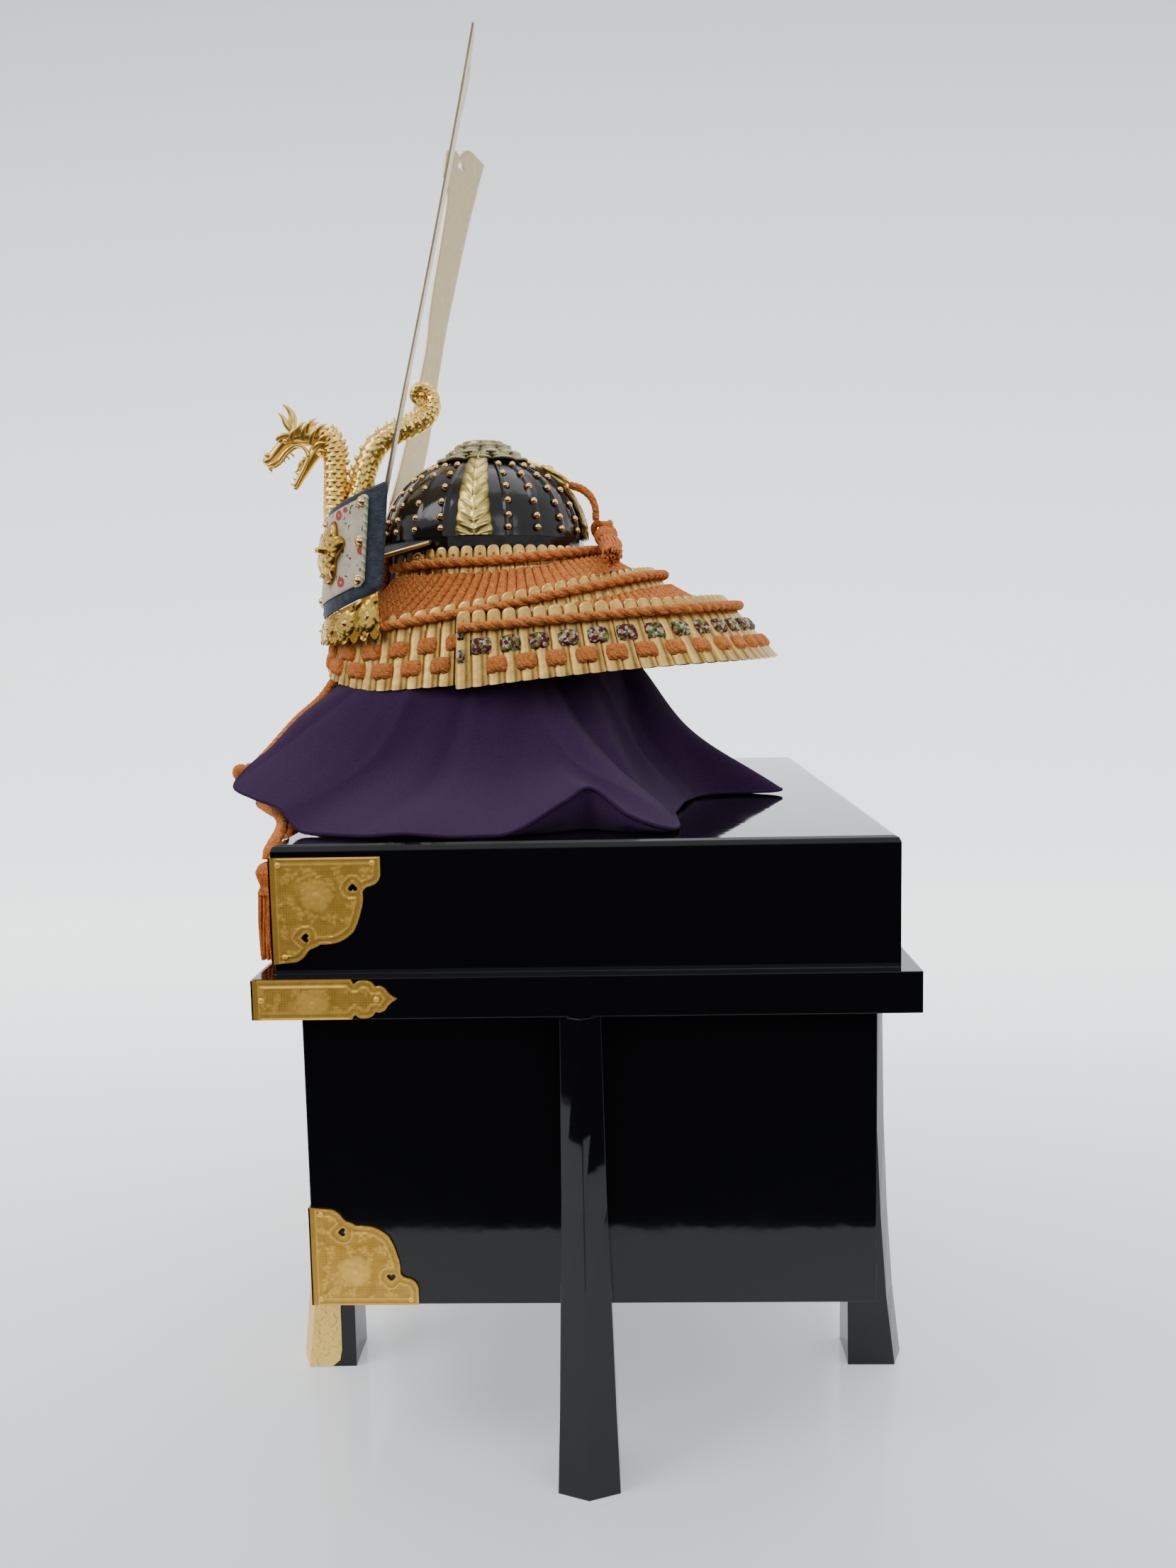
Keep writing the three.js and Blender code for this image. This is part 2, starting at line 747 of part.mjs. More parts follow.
// The twisted cord under the scale heads, whole along the lame.
function guardRope(surface, v) {
  const points = [];
  const count = 26;
  for (let i = 0; i <= count; i++) {
    const u = THREE.MathUtils.lerp(0.006, 0.994, i / count);
    points.push(surface.point(u, v, scaleRelief + 3 * fit + ropeRadius));
  }
  return tube(points, ropeRadius, count, 6);
}

// Braids hang side by side from one lame's lower part to behind the next one's heads.
function lacing(from, fromSpan, to, toSpan) {
  const braids = Math.round((to.length * (toSpan.last - toSpan.first)) / braidWidth / 1.25);
  const start = scaleRelief + fit;
  const end = -lameThickness - fit - braidThickness - braidRelief;
  const outer = [[], []];
  const inner = [[], []];
  for (let i = 0; i <= braids; i++) {
    const share = i / braids;
    const raised = i % 2 ? braidRelief : 0;
    const a = THREE.MathUtils.lerp(fromSpan.first, fromSpan.last, share);
    const b = THREE.MathUtils.lerp(toSpan.first, toSpan.last, share);
    outer[0].push(from.point(a, fromSpan.v, start + braidThickness + raised));
    inner[0].push(from.point(a, fromSpan.v, start));
    outer[1].push(to.point(b, toSpan.v, end + braidThickness + raised));
    inner[1].push(to.point(b, toSpan.v, end));
  }
  return shell(outer, inner);
}

// Visor: a brim from the base band, wrapped round the brow, with a gilt wire along its edge.
function visorPoint(across, share, lift) {
  const angle = THREE.MathUtils.degToRad(-90 + across * visorHalfAngle);
  const swell = Math.cos((across * Math.PI) / 2);
  const reach = bowlRadius + plateStep + fit + share * (2 + visorReach * swell);
  const down = share * (1 + visorFall * swell);
  return new THREE.Vector3(reach * Math.cos(angle), reach * Math.sin(angle), lift - 1.6 - down);
}

function visor() {
  const side = (lift) => [0, 1].map((share) => {
    const row = [];
    for (let column = 0; column <= 16; column++) {
      row.push(visorPoint(column / 8 - 1, share, lift));
    }
    return row;
  });
  return shell(side(0), side(-visorThickness));
}

function visorRim() {
  const points = [];
  for (let i = 0; i <= 16; i++) {
    const edge = visorPoint(i / 8 - 1, 1, -visorThickness / 2);
    const away = new THREE.Vector3(edge.x, edge.y, 0).normalize();
    points.push(edge.addScaledVector(away, rimWire + 1.5 * fit));
  }
  return tube(points, rimWire, 16, 6);
}

// Wings: rows from the inner front edge to the outer rear edge, in the neck guard's own terms.
const wingRows = [
  { direction: -58.1, topOut: 0.307, topUp: 0.16, lowOut: 0.352, lowUp: -0.534, lowTurn: -1.7 },
  { direction: -50.4, topOut: 0.36, topUp: 0.172, lowOut: 0.4, lowUp: -0.519, lowTurn: -2 },
  { direction: -42.3, topOut: 0.38, topUp: 0.209, lowOut: 0.414, lowUp: -0.478, lowTurn: -2.2 },
  { direction: -34.1, topOut: 0.366, topUp: 0.265, lowOut: 0.393, lowUp: -0.417, lowTurn: -2.4 },
  { direction: -25.9, topOut: 0.322, topUp: 0.33, lowOut: 0.343, lowUp: -0.344, lowTurn: -2.6 },
];

// A wing's surface: s from its inner to its outer edge, t from its top (0) to its foot (1).
function wingSurface() {
  const top = new THREE.CatmullRomCurve3(wingRows.map((r) => (
    guardPoint(r.direction, r.topOut, -r.topUp))), false, 'centripetal');
  const foot = new THREE.CatmullRomCurve3(wingRows.map((r) => (
    guardPoint(r.direction + r.lowTurn, r.lowOut, -r.lowUp))), false, 'centripetal');
  const flat = (s, t) => top.getPoint(s).lerp(foot.getPoint(s), t);
  return (s, t, out = 0) => {
    const along = flat(Math.min(s + 0.01, 1), t).sub(flat(Math.max(s - 0.01, 0), t));
    const down = flat(s, 1).sub(flat(s, 0));
    return flat(s, t).addScaledVector(along.cross(down).normalize(), -out);
  };
}
const wing = wingSurface();

// A panel on the wing between two shares each way, lying at a distance off the wing's surface.
function wingPatch([s0, s1], [t0, t1], off, thickness) {
  const side = (out) => [0, 0.5, 1].map((down) => {
    const row = [];
    for (let column = 0; column <= 8; column++) {
      const s = THREE.MathUtils.lerp(s0, s1, column / 8);
      row.push(wing(s, THREE.MathUtils.lerp(t0, t1, down), out));
    }
    return row;
  });
  return shell(side(off + thickness), side(off));
}

// The cast plate under the wing runs from its foot down over the middle lame's rope.
const reliefRows = [
  { share: 0.04, direction: -59.4, v: 0.5 },
  { share: 0.25, direction: -52.4, v: 0.45 },
  { share: 0.5, direction: -44.5, v: 0.42 },
  { share: 0.75, direction: -36.5, v: 0.38 },
  { share: 0.96, direction: -29.5, v: 0.34 },
];

function wingRelief() {
  const gap = 0.012;
  const overRope = scaleRelief + 4 * fit + 2 * ropeRadius;
  const side = (out) => [0, 0.5, 1].map((down) => reliefRows.map(({ share, direction, v }) => {
    const high = wing(share, 1 + gap, out);
    const low = middle.point(middle.along(direction), v, overRope + out);
    return high.lerp(low, down);
  }));
  return shell(side(reliefThickness), side(0));
}

// Crest: a gilt holder standing on the visor, the horns behind it and the dragon in front, all turned
// together a little about the bowl's axis.
const crest = new THREE.Group();
crest.rotation.z = THREE.MathUtils.degToRad(crestTurn);
helmet.add(crest);

function hornHolder() {
  const [half, high] = [holderWidth / 2, holderHeight];
  const outline = new THREE.Shape();
  outline.moveTo(-half, -holderDrop);
  outline.lineTo(half, -holderDrop);
  outline.lineTo(half, 0.6 * high);
  outline.quadraticCurveTo(0.75 * half, high, 0.4 * half, 0.85 * high);
  outline.quadraticCurveTo(0, 1.15 * high, -0.4 * half, 0.85 * high);
  outline.quadraticCurveTo(-0.75 * half, high, -half, 0.6 * high);
  const plate = new THREE.ExtrudeGeometry(outline, {
    depth: holderThickness,
    bevelEnabled: false,
    curveSegments: 3,
  });
  plate.rotateX(Math.PI / 2);
  plate.translate(0, -crestSeat, 0);
  const socket = block([-0.9 * half, -crestSeat - fit, 0], [0.9 * half, -crestSeat + socketDepth, 0.5 * high]);
  return join(plate, socket);
}

// Horn blade: its inner and outer edges either side of its middle line, in shares of half the shaft's
// width, and that line's own place outwards as a share of hornSpread, up the blade.
const hornRows = [
  { up: 0, line: 0, inner: 0, outer: 0.8 },
  { up: 0.085, line: 0.09, inner: 0.05, outer: 0.9 },
  { up: 0.11, line: 0.12, inner: 0.15, outer: 2 },
  { up: 0.215, line: 0.255, inner: 0.2, outer: 2 },
  { up: 0.46, line: 0.54, inner: 0.55, outer: 1.15 },
  { up: 0.62, line: 0.715, inner: 1.3, outer: 0.72 },
  { up: 0.86, line: 0.92, inner: 2, outer: 0.55 },
  { up: 0.91, line: 0.95, inner: 2.75, outer: 0.62 },
  { up: 0.95, line: 0.97, inner: 2.95, outer: 0.68 },
  { up: 0.975, line: 0.98, inner: 2.5, outer: 0.72 },
  { up: 0.98, line: 0.983, inner: 1.65, outer: 0.75 },
  { up: 0.995, line: 0.993, inner: 1.4, outer: 0.82 },
  { up: 1, line: 1, inner: 0.8, outer: 0.8 },
];

// The left blade rises from behind the holder, splayed outwards and leaning back. Its sheet is turned
// about its own length in the socket.
function hornBlade(sheetTurn) {
  const turned = THREE.MathUtils.degToRad(sheetTurn);
  const [cos, sin] = [Math.cos(turned), Math.sin(turned)];
  const side = (depth) => hornRows.map(({ up, line, inner, outer }) => [-inner, outer].map((share) => {
    const across = (share * hornShaft) / 2;
    return new THREE.Vector3(
      line * hornSpread + across * cos - depth * sin,
      across * sin + depth * cos,
      up * hornLength,
    );
  }));
  const blade = shell(side(0), side(hornThickness));
  blade.rotateZ(THREE.MathUtils.degToRad(hornTurn));
  blade.rotateX(-THREE.MathUtils.degToRad(hornLean));
  blade.translate(hornFoot, -crestSeat + 3 * fit + hornSet, -holderDrop + hornRise);
  return blade;
}

// Dragon: neck and tail are two tubes rising from a plinth on the visor. Places are shares of dragonSize
// forward of the bowl's axis (negative) and up from the brow.
const neckRows = [
  { along: -1.14, up: 0.05, girth: 1.1 },
  { along: -1.15, up: 0.27, girth: 1.05 },
  { along: -1.14, up: 0.45, girth: 1.05 },
  { along: -1.145, up: 0.69, girth: 1 },
  { along: -1.17, up: 0.8, girth: 1 },
  { along: -1.23, up: 0.88, girth: 0.95 },
];
const tailRows = [
  { along: -1, up: 0.05, girth: 0.95 },
  { along: -0.99, up: 0.3, girth: 1 },
  { along: -0.94, up: 0.44, girth: 1.05 },
  { along: -0.9, up: 0.59, girth: 1.05 },
  { along: -0.8, up: 0.76, girth: 1 },
  { along: -0.65, up: 0.855, girth: 0.95 },
  { along: -0.54, up: 0.9, girth: 0.9 },
  { along: -0.45, up: 0.945, girth: 0.85 },
  { along: -0.395, up: 1.015, girth: 0.75 },
  { along: -0.39, up: 1.09, girth: 0.6 },
  { along: -0.42, up: 1.16, girth: 0.45 },
  { along: -0.465, up: 1.195, girth: 0.35 },
  { along: -0.515, up: 1.165, girth: 0.3 },
  { along: -0.52, up: 1.12, girth: 0.3 },
];

// Head of the dragon: sections from the back of the skull to the snout, and of the lower jaw.
const skullRows = [
  { along: -1.22, up: 0.86, tall: 1.1, wide: 1 },
  { along: -1.33, up: 0.88, tall: 1.15, wide: 1.15 },
  { along: -1.45, up: 0.84, tall: 1, wide: 1 },
  { along: -1.57, up: 0.76, tall: 0.8, wide: 0.75 },
  { along: -1.68, up: 0.7, tall: 0.6, wide: 0.6 },
];
const jawRows = [
  { along: -1.3, up: 0.76, tall: 0.5, wide: 0.8 },
  { along: -1.38, up: 0.68, tall: 0.45, wide: 0.7 },
  { along: -1.45, up: 0.58, tall: 0.4, wide: 0.6 },
  { along: -1.48, up: 0.5, tall: 0.3, wide: 0.45 },
];
const antlerRows = [
  { along: -1.5, up: 0.9, tall: 0.35, wide: 0.35 },
  { along: -1.51, up: 0.97, tall: 0.3, wide: 0.3 },
  { along: -1.48, up: 1.04, tall: 0.2, wide: 0.2 },
  { along: -1.51, up: 1.1, tall: 0.08, wide: 0.08 },
];

// Oval sections square to the path that their middles make, in the plane x = side.
function sections(rows, sides, side = 0) {
  const middles = rows.map(({ along, up }) => new THREE.Vector3(side, along * dragonSize, up * dragonSize));
  return rows.map(({ tall, wide }, i) => {
    const before = middles[Math.max(i - 1, 0)];
    const after = middles[Math.min(i + 1, rows.length - 1)];
    const along = after.clone().sub(before).normalize();
    const square = new THREE.Vector3(0, -along.z, along.y);
    const ring = [];
    for (let corner = 0; corner < sides; corner++) {
      const angle = (2 * Math.PI * corner) / sides;
      ring.push(middles[i].clone()
        .addScaledVector(square, tall * dragonGirth * Math.cos(angle))
        .add(new THREE.Vector3(wide * dragonGirth * Math.sin(angle), 0, 0)));
    }
    return ring;
  });
}

function dragonCrest() {
  const trunk = (rows) => loft(sections(rows.map((row) => (
    { ...row, tall: row.girth, wide: row.girth })), 8));
  const antlers = [-0.35, 0.35].map((side) => loft(sections(antlerRows, 5, side * dragonGirth)));
  const [front, back] = [-1.22 * dragonSize, -crestSeat - holderThickness - fit];
  const plinth = block([-1.1 * dragonGirth, front, -plinthDrop], [1.1 * dragonGirth, back, dragonGirth]);
  return join(
    plinth,
    trunk(neckRows),
    trunk(tailRows),
    loft(sections(skullRows, 8)),
    loft(sections(jawRows, 6)),
    ...antlers,
  );
}

// Rear ring, hung on a stud through the bowl's rear panel. Both stand square to the bowl's upper slope.
const slopeLow = bowlOutside[3];
const slopeHigh = bowlOutside[4];
const slope = Math.atan2(slopeHigh.y - slopeLow.y, slopeLow.x - slopeHigh.x);
const panelTop = plateStep + fit + panelThickness;

// A point over the slope: up the slope from its lower end, and out from the panel's face.
function overSlope(up, out) {
  return new THREE.Vector3(
    0,
    slopeLow.x - up * Math.cos(slope) + (panelTop + out) * Math.sin(slope),
    slopeLow.y + up * Math.sin(slope) + (panelTop + out) * Math.cos(slope),
  );
}

function rearRing() {
  const plain = toPlain(new THREE.TorusGeometry(ringRadius, ringWire, 6, 14));
  const ring = body(plain.points, plain.triangles);
  ring.rotateX(-slope);
  const seat = overSlope(ringUpSlope, ringWire + fit);
  return ring.translate(seat.x, seat.y, seat.z);
}

function rearStud() {
  const stud = new THREE.CylinderGeometry(0.8 * studRadius, studRadius, studLength, 10);
  stud.rotateX(Math.PI / 2 - slope);
  const seat = overSlope(ringUpSlope + ringRadius - ringWire - fit - studRadius, studLength / 2 + fit);
  return stud.translate(seat.x, seat.y, seat.z);
}

// Stand under the cloth: a turned base, post and cap
function helmetStand() {
  const [floor, top] = [-browHeight + fit, clothTop - 4];
  const profile = [
    [0, floor],
    [standBaseRadius, floor],
    [standBaseRadius, floor + 0.6 * standBaseHeight],
    [0.7 * standBaseRadius, floor + standBaseHeight],
    [standPostRadius, floor + 1.6 * standBaseHeight],
    [standPostRadius, top - 2 * standCapDepth],
    [standCapRadius, top - standCapDepth],
    [standCapRadius, top - 0.8 * standCapDepth],
    [0, top],
  ];
  return new THREE.LatheGeometry(profile.map(([r, z]) => new THREE.Vector2(r, z)), 12).rotateX(Math.PI / 2);
}

// Cloth: over the cap inside the bowl, then out over the lid. The shoulder is level with the guard's
// lower rim; reaches are shares of clothReach, heights over the lid are shares of clothHump.
const clothRows = [
  { direction: -90, shoulder: 0.38, knee: 0.39, kneeUp: 0.7, hem: 0.408, hemUp: 0 },
  { direction: -70, shoulder: 0.41, knee: 0.425, kneeUp: 0.76, hem: 0.427, hemUp: 0 },
  { direction: -60, shoulder: 0.43, knee: 0.47, kneeUp: 0.95, hem: 0.5, hemUp: 0.1 },
  { direction: -52, shoulder: 0.455, knee: 0.57, kneeUp: 1.06, hem: 0.62, hemUp: 0.5 },
  { direction: -45, shoulder: 0.466, knee: 0.675, kneeUp: 1.02, hem: 0.74, hemUp: 0.72 },
  { direction: -38.7, shoulder: 0.46, knee: 0.73, kneeUp: 0.92, hem: 0.932, hemUp: 0.42 },
  { direction: -33, shoulder: 0.452, knee: 0.7, kneeUp: 0.84, hem: 0.945, hemUp: 0.3 },
  { direction: -28, shoulder: 0.445, knee: 0.665, kneeUp: 0.72, hem: 0.94, hemUp: 0.2 },
  { direction: -23, shoulder: 0.437, knee: 0.63, kneeUp: 0.6, hem: 0.96, hemUp: 0 },
  { direction: -8, shoulder: 0.417, knee: 0.607, kneeUp: 0.5, hem: 0.995, hemUp: 0 },
  { direction: 7, shoulder: 0.408, knee: 0.607, kneeUp: 0.48, hem: 0.998, hemUp: 0 },
  { direction: 16, shoulder: 0.408, knee: 0.63, kneeUp: 0.5, hem: 0.97, hemUp: 0.28 },
  { direction: 20, shoulder: 0.408, knee: 0.655, kneeUp: 0.52, hem: 0.955, hemUp: 0.4 },
  { direction: 24, shoulder: 0.41, knee: 0.68, kneeUp: 0.54, hem: 1.04, hemUp: 0.14 },
  { direction: 28, shoulder: 0.42, knee: 0.73, kneeUp: 0.6, hem: 1.09, hemUp: 0 },
  { direction: 36, shoulder: 0.427, knee: 0.73, kneeUp: 0.56, hem: 0.92, hemUp: 0 },
  { direction: 45, shoulder: 0.427, knee: 0.607, kneeUp: 0.5, hem: 0.777, hemUp: 0 },
  { direction: 60, shoulder: 0.427, knee: 0.534, kneeUp: 0.6, hem: 0.68, hemUp: 0 },
  { direction: 72, shoulder: 0.447, knee: 0.558, kneeUp: 0.8, hem: 0.69, hemUp: 0 },
  { direction: 78, shoulder: 0.46, knee: 0.607, kneeUp: 0.7, hem: 0.883, hemUp: 0 },
  { direction: 85, shoulder: 0.45, knee: 0.573, kneeUp: 0.76, hem: 0.73, hemUp: 0 },
  { direction: 100, shoulder: 0.437, knee: 0.534, kneeUp: 0.7, hem: 0.655, hemUp: 0 },
  { direction: 120, shoulder: 0.427, knee: 0.558, kneeUp: 0.6, hem: 0.73, hemUp: 0 },
  { direction: 140, shoulder: 0.427, knee: 0.63, kneeUp: 0.56, hem: 0.9, hemUp: 0 },
  { direction: 152, shoulder: 0.427, knee: 0.68, kneeUp: 0.56, hem: 1.04, hemUp: 0 },
  { direction: 178, shoulder: 0.417, knee: 0.607, kneeUp: 0.5, hem: 0.985, hemUp: 0 },
  { direction: 208, shoulder: 0.427, knee: 0.63, kneeUp: 0.6, hem: 0.84, hemUp: 0 },
  { direction: 222, shoulder: 0.435, knee: 0.573, kneeUp: 0.76, hem: 0.61, hemUp: 0 },
  { direction: 240, shoulder: 0.427, knee: 0.456, kneeUp: 0.8, hem: 0.47, hemUp: 0 },
  { direction: 255, shoulder: 0.408, knee: 0.42, kneeUp: 0.74, hem: 0.427, hemUp: 0 },
];

// The round part over the cap: reach as a share of clothTopRadius, height over the brow of clothTop.
const clothCapRows = [
  { reach: 0.12, up: 1 },
  { reach: 1, up: 0.5 },
  { reach: 1.09, up: 0.1 },
  { reach: 1.14, up: -0.7 },
  { reach: 1.28, up: -1.7 },
];

function clothCover() {
  const lid = clothThickness + fit - browHeight;
  const lines = clothRows.map((row) => {
    const cap = clothCapRows.map(({ reach, up }) => (
      new THREE.Vector2(reach * clothTopRadius, up * clothTop)));
    return [
      ...cap,
      new THREE.Vector2(row.shoulder * clothReach, lid + clothShoulder),
      new THREE.Vector2(row.knee * clothReach, lid + row.kneeUp * clothHump),
      new THREE.Vector2(row.hem * clothReach, lid + row.hemUp * clothHump),
    ];
  });
  const side = (distance) => {
    const moved = lines.map((line) => inset(line, distance));
    return moved[0].map((_, row) => moved.map((line, column) => {
      const angle = THREE.MathUtils.degToRad(clothRows[column].direction);
      const { x, y } = line[row];
      return new THREE.Vector3(x * Math.cos(angle), x * Math.sin(angle), Math.max(y, lid - clothThickness));
    }));
  };
  return shell(side(0), side(-clothThickness), true);
}

// Cords and tassels

// A soft body along a path: round sections whose corners alternate in and out, like locks of thread.
function locks(path, radii, corners, depth) {
  return loft(path.map((middle, i) => {
    const before = path[Math.max(i - 1, 0)];
    const after = path[Math.min(i + 1, path.length - 1)];
    const along = after.clone().sub(before).normalize();
    const across = new THREE.Vector3(0, 1, 0).cross(along).normalize();
    const other = along.clone().cross(across);
    const ring = [];
    for (let corner = 0; corner < corners; corner++) {
      const angle = (2 * Math.PI * corner) / corners;
      const radius = radii[i] * (corner % 2 ? 1 - depth : 1);
      ring.push(middle.clone()
        .addScaledVector(across, radius * Math.cos(angle))
        .addScaledVector(other, radius * Math.sin(angle)));
    }
    return ring;
  }));
}

// A hanging tassel from the top of its head: a round head, a tied neck, then the skirt.
const tasselRows = [
  { down: 0, girth: 0.45 },
  { down: 0.04, girth: 0.85 },
  { down: 0.12, girth: 1 },
  { down: 0.2, girth: 0.85 },
  { down: 0.24, girth: 0.72 },
  { down: 0.32, girth: 0.9 },
  { down: 0.7, girth: 0.97 },
  { down: 1, girth: 0.9 },
];

function hangingTassel(top) {
  const path = tasselRows.map(({ down }) => new THREE.Vector3(top.x, top.y, top.z - down * tasselLength));
  return locks(path, tasselRows.map(({ girth }) => girth * tasselRadius), 10, 0.12);
}

// A knot is a lobed ball.
function knot(centre, radius) {
  const rows = [-0.97, -0.75, -0.35, 0.1, 0.5, 0.82, 0.98];
  const path = rows.map((share) => new THREE.Vector3(centre.x, centre.y, centre.z + share * radius));
  return locks(path, rows.map((share) => radius * Math.sqrt(1 - share * share)), 10, 0.14);
}

// A point by direction and reach round the bowl's axis, at a height over the brow.
function polar(direction, reach, up) {
  const angle = THREE.MathUtils.degToRad(direction);
  return new THREE.Vector3(reach * Math.cos(angle), reach * Math.sin(angle), up);
}

// The chin cord goes from the left of the brow down the front of the cloth to the knot, and from the
// knot back up to the right of the brow.
const chinKnot = new THREE.Vector3(106, -125, -134);
const chinLeft = [
  polar(-70, 61.6, -6.9),
  polar(-70, 62.4, -14),
  polar(-70, 67, -35),
  polar(-69, 74, -52),
  polar(-66, 92, -74),
  polar(-60, 108, -92),
  polar(-55, 127, -104),
  polar(-52, 146, -119),
  polar(-50.4, 156.6, -126.6),
];
const chinRight = [
  polar(-110, 61.6, -6.9),
  polar(-110, 62.4, -14),
  polar(-110, 67, -35),
  polar(-109, 74, -52),
  polar(-105, 90, -74),
  polar(-93, 91, -92),
  polar(-80, 97, -106),
  polar(-68, 113, -118),
  polar(-59, 134, -128),
  polar(-55, 150, -134),
];
const chinEndA = [
  [115, -118.5, -138.5],
  [130, -108, -143.5],
  [148, -98, -149],
  [163, -92, -151.5],
  [174, -90.2, -155],
  [184, -91.8, -160.5],
  [187.4, -93, -164],
  [188, -93.1, -167],
];
const chinEndB = [
  [108, -118.5, -148],
  [121, -108, -151],
  [134, -98, -152.5],
  [143, -91.5, -156],
  [149.5, -91.4, -161],
  [151.6, -91.8, -164],
  [152, -91.9, -167],
];
const rearStrand = [
  [3, 53.3, 34.3],
  [4.6, 60.5, 31.8],
  [5.8, 66.2, 26.8],
  [6.2, 69, 19.6],
  [5.9, 69, 12.6],
];
const rearKnotSeat = new THREE.Vector3(0, 74, 5.4);
const rearTasselRows = [
  { at: [9.6, 75, 3], girth: 0.35 },
  { at: [13, 75, 2], girth: 0.7 },
  { at: [19, 75, 0], girth: 0.85 },
  { at: [25, 76, -2], girth: 0.62 },
  { at: [33, 77, -4], girth: 0.9 },
  { at: [48, 79, -7.4], girth: 1 },
  { at: [62, 80, -11.6], girth: 0.95 },
  { at: [72, 79, -15.6], girth: 0.7 },
];

function vectors(list) {
  return list.map((p) => new THREE.Vector3(...p));
}

function addSoftParts() {
  add(helmet, 'helmet_stand', helmetStand(), plainWood);
  add(helmet, 'cloth_cover', clothCover(), purple);
  add(helmet, 'chin_cord_left', tube(chinLeft, chinCordRadius, 14, 8), orange);
  add(helmet, 'chin_cord_right', tube(chinRight, chinCordRadius, 16, 8), orange);
  add(helmet, 'chin_knot', knot(chinKnot, chinKnotRadius), orange);
  for (const [name, line] of [['a', chinEndA], ['b', chinEndB]]) {
    const points = vectors(line);
    const last = points[points.length - 1];
    add(helmet, `chin_end_${name}`, tube(points, chinCordRadius, 8, 8), orange);
    const top = new THREE.Vector3(last.x, last.y, last.z - 4 * fit);
    add(helmet, `chin_tassel_${name}`, hangingTassel(top), orange);
  }
  const strand = tube(vectors(rearStrand), rearCordRadius, 8, 8);
  const plain = toPlain(strand);
  const left = body(plain.points, plain.triangles);
  add(helmet, 'rear_cord_left', left, orange);
  add(helmet, 'rear_cord_right', mirrored(left), orange);
  add(helmet, 'rear_knot', knot(rearKnotSeat, rearKnotRadius), orange);
  const tassel = locks(vectors(rearTasselRows.map(({ at }) => at)),
    rearTasselRows.map(({ girth }) => girth * tasselRadius), 10, 0.12);
  add(helmet, 'rear_tassel', tassel, orange);
}

function addHelmet() {
  add(helmet, 'bowl', bowl(), lacquer);
  add(helmet, 'base_band', baseBand(), lacquer);
  const directions = { left: 0, back: Math.PI / 2, right: Math.PI, front: -Math.PI / 2 };
  for (const [name, direction] of Object.entries(directions)) {
    add(helmet, `bowl_panel_${name}`, bowlPanel(direction), giltRelief);
  }
  add(helmet, 'crown_ornament', crownOrnament(), patina);
  add(helmet, 'visor', visor(), navyLeather);
  add(helmet, 'visor_rim', visorRim(), gilt);
  add(helmet, 'lame_upper', lame(upper, scalePitchUpper), goldLame);
  add(helmet, 'lame_middle', lame(middle, scalePitch), goldLame);
  add(helmet, 'lame_lower', lame(lower, scalePitch), goldLame);
  add(helmet, 'rope_upper', guardRope(upper, 0.52), orange);
  add(helmet, 'rope_middle', guardRope(middle, 0.16), orange);
  add(helmet, 'rope_lower', guardRope(lower, 0.24), orange);
  add(helmet, 'lacing_upper', lacing(
    upper, { first: 0.01, last: 0.99, v: 0.84 }, middle, { first: 0.01, last: 0.99, v: 0.12 }), orange);
  add(helmet, 'lacing_lower', lacing(
    middle, { first: 0.24, last: 0.76, v: 0.3 }, lower, { first: 0.02, last: 0.98, v: 0.22 }), orange);
  const wingPieces = {
    wing_panel: [wingPatch([0, 1], [0, 1], 0, wingThickness), navyLeather],
    wing_inset: [wingPatch([0.02, 0.8], [0.1, 0.86], wingThickness + fit, insetThickness), printedLeather],
    wing_crest: [wingPatch([0.16, 0.5], [0.2, 0.78], wingThickness + insetThickness + 2 * fit,
      crestThickness), giltRelief],
    wing_relief: [wingRelief(), giltRelief],
  };
  for (const [name, [geometry, material]] of Object.entries(wingPieces)) {
    add(helmet, `${name}_left`, geometry, material);
    add(helmet, `${name}_right`, mirrored(geometry), material);
  }
  add(crest, 'horn_holder', hornHolder(), gilt);
  add(crest, 'horn_left', hornBlade(sheetTurnLeft), paleGold);
  add(crest, 'horn_right', mirrored(hornBlade(sheetTurnRight)), paleGold);
  add(crest, 'dragon_crest', dragonCrest(), giltRelief);
  add(helmet, 'rear_stud', rearStud(), gilt);
  add(helmet, 'rear_ring', rearRing(), gilt);
}

addChest();
addHelmet();
addSoftParts();

export default model;
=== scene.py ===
"""A small display kabuto on a cloth-draped stand, set on a six-legged lacquered chest.

Metres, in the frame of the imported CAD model: +X is the wearer's left, -Y the front, +Z up.
"""

import math

import bpy
import numpy as np
from mathutils import Matrix, Vector


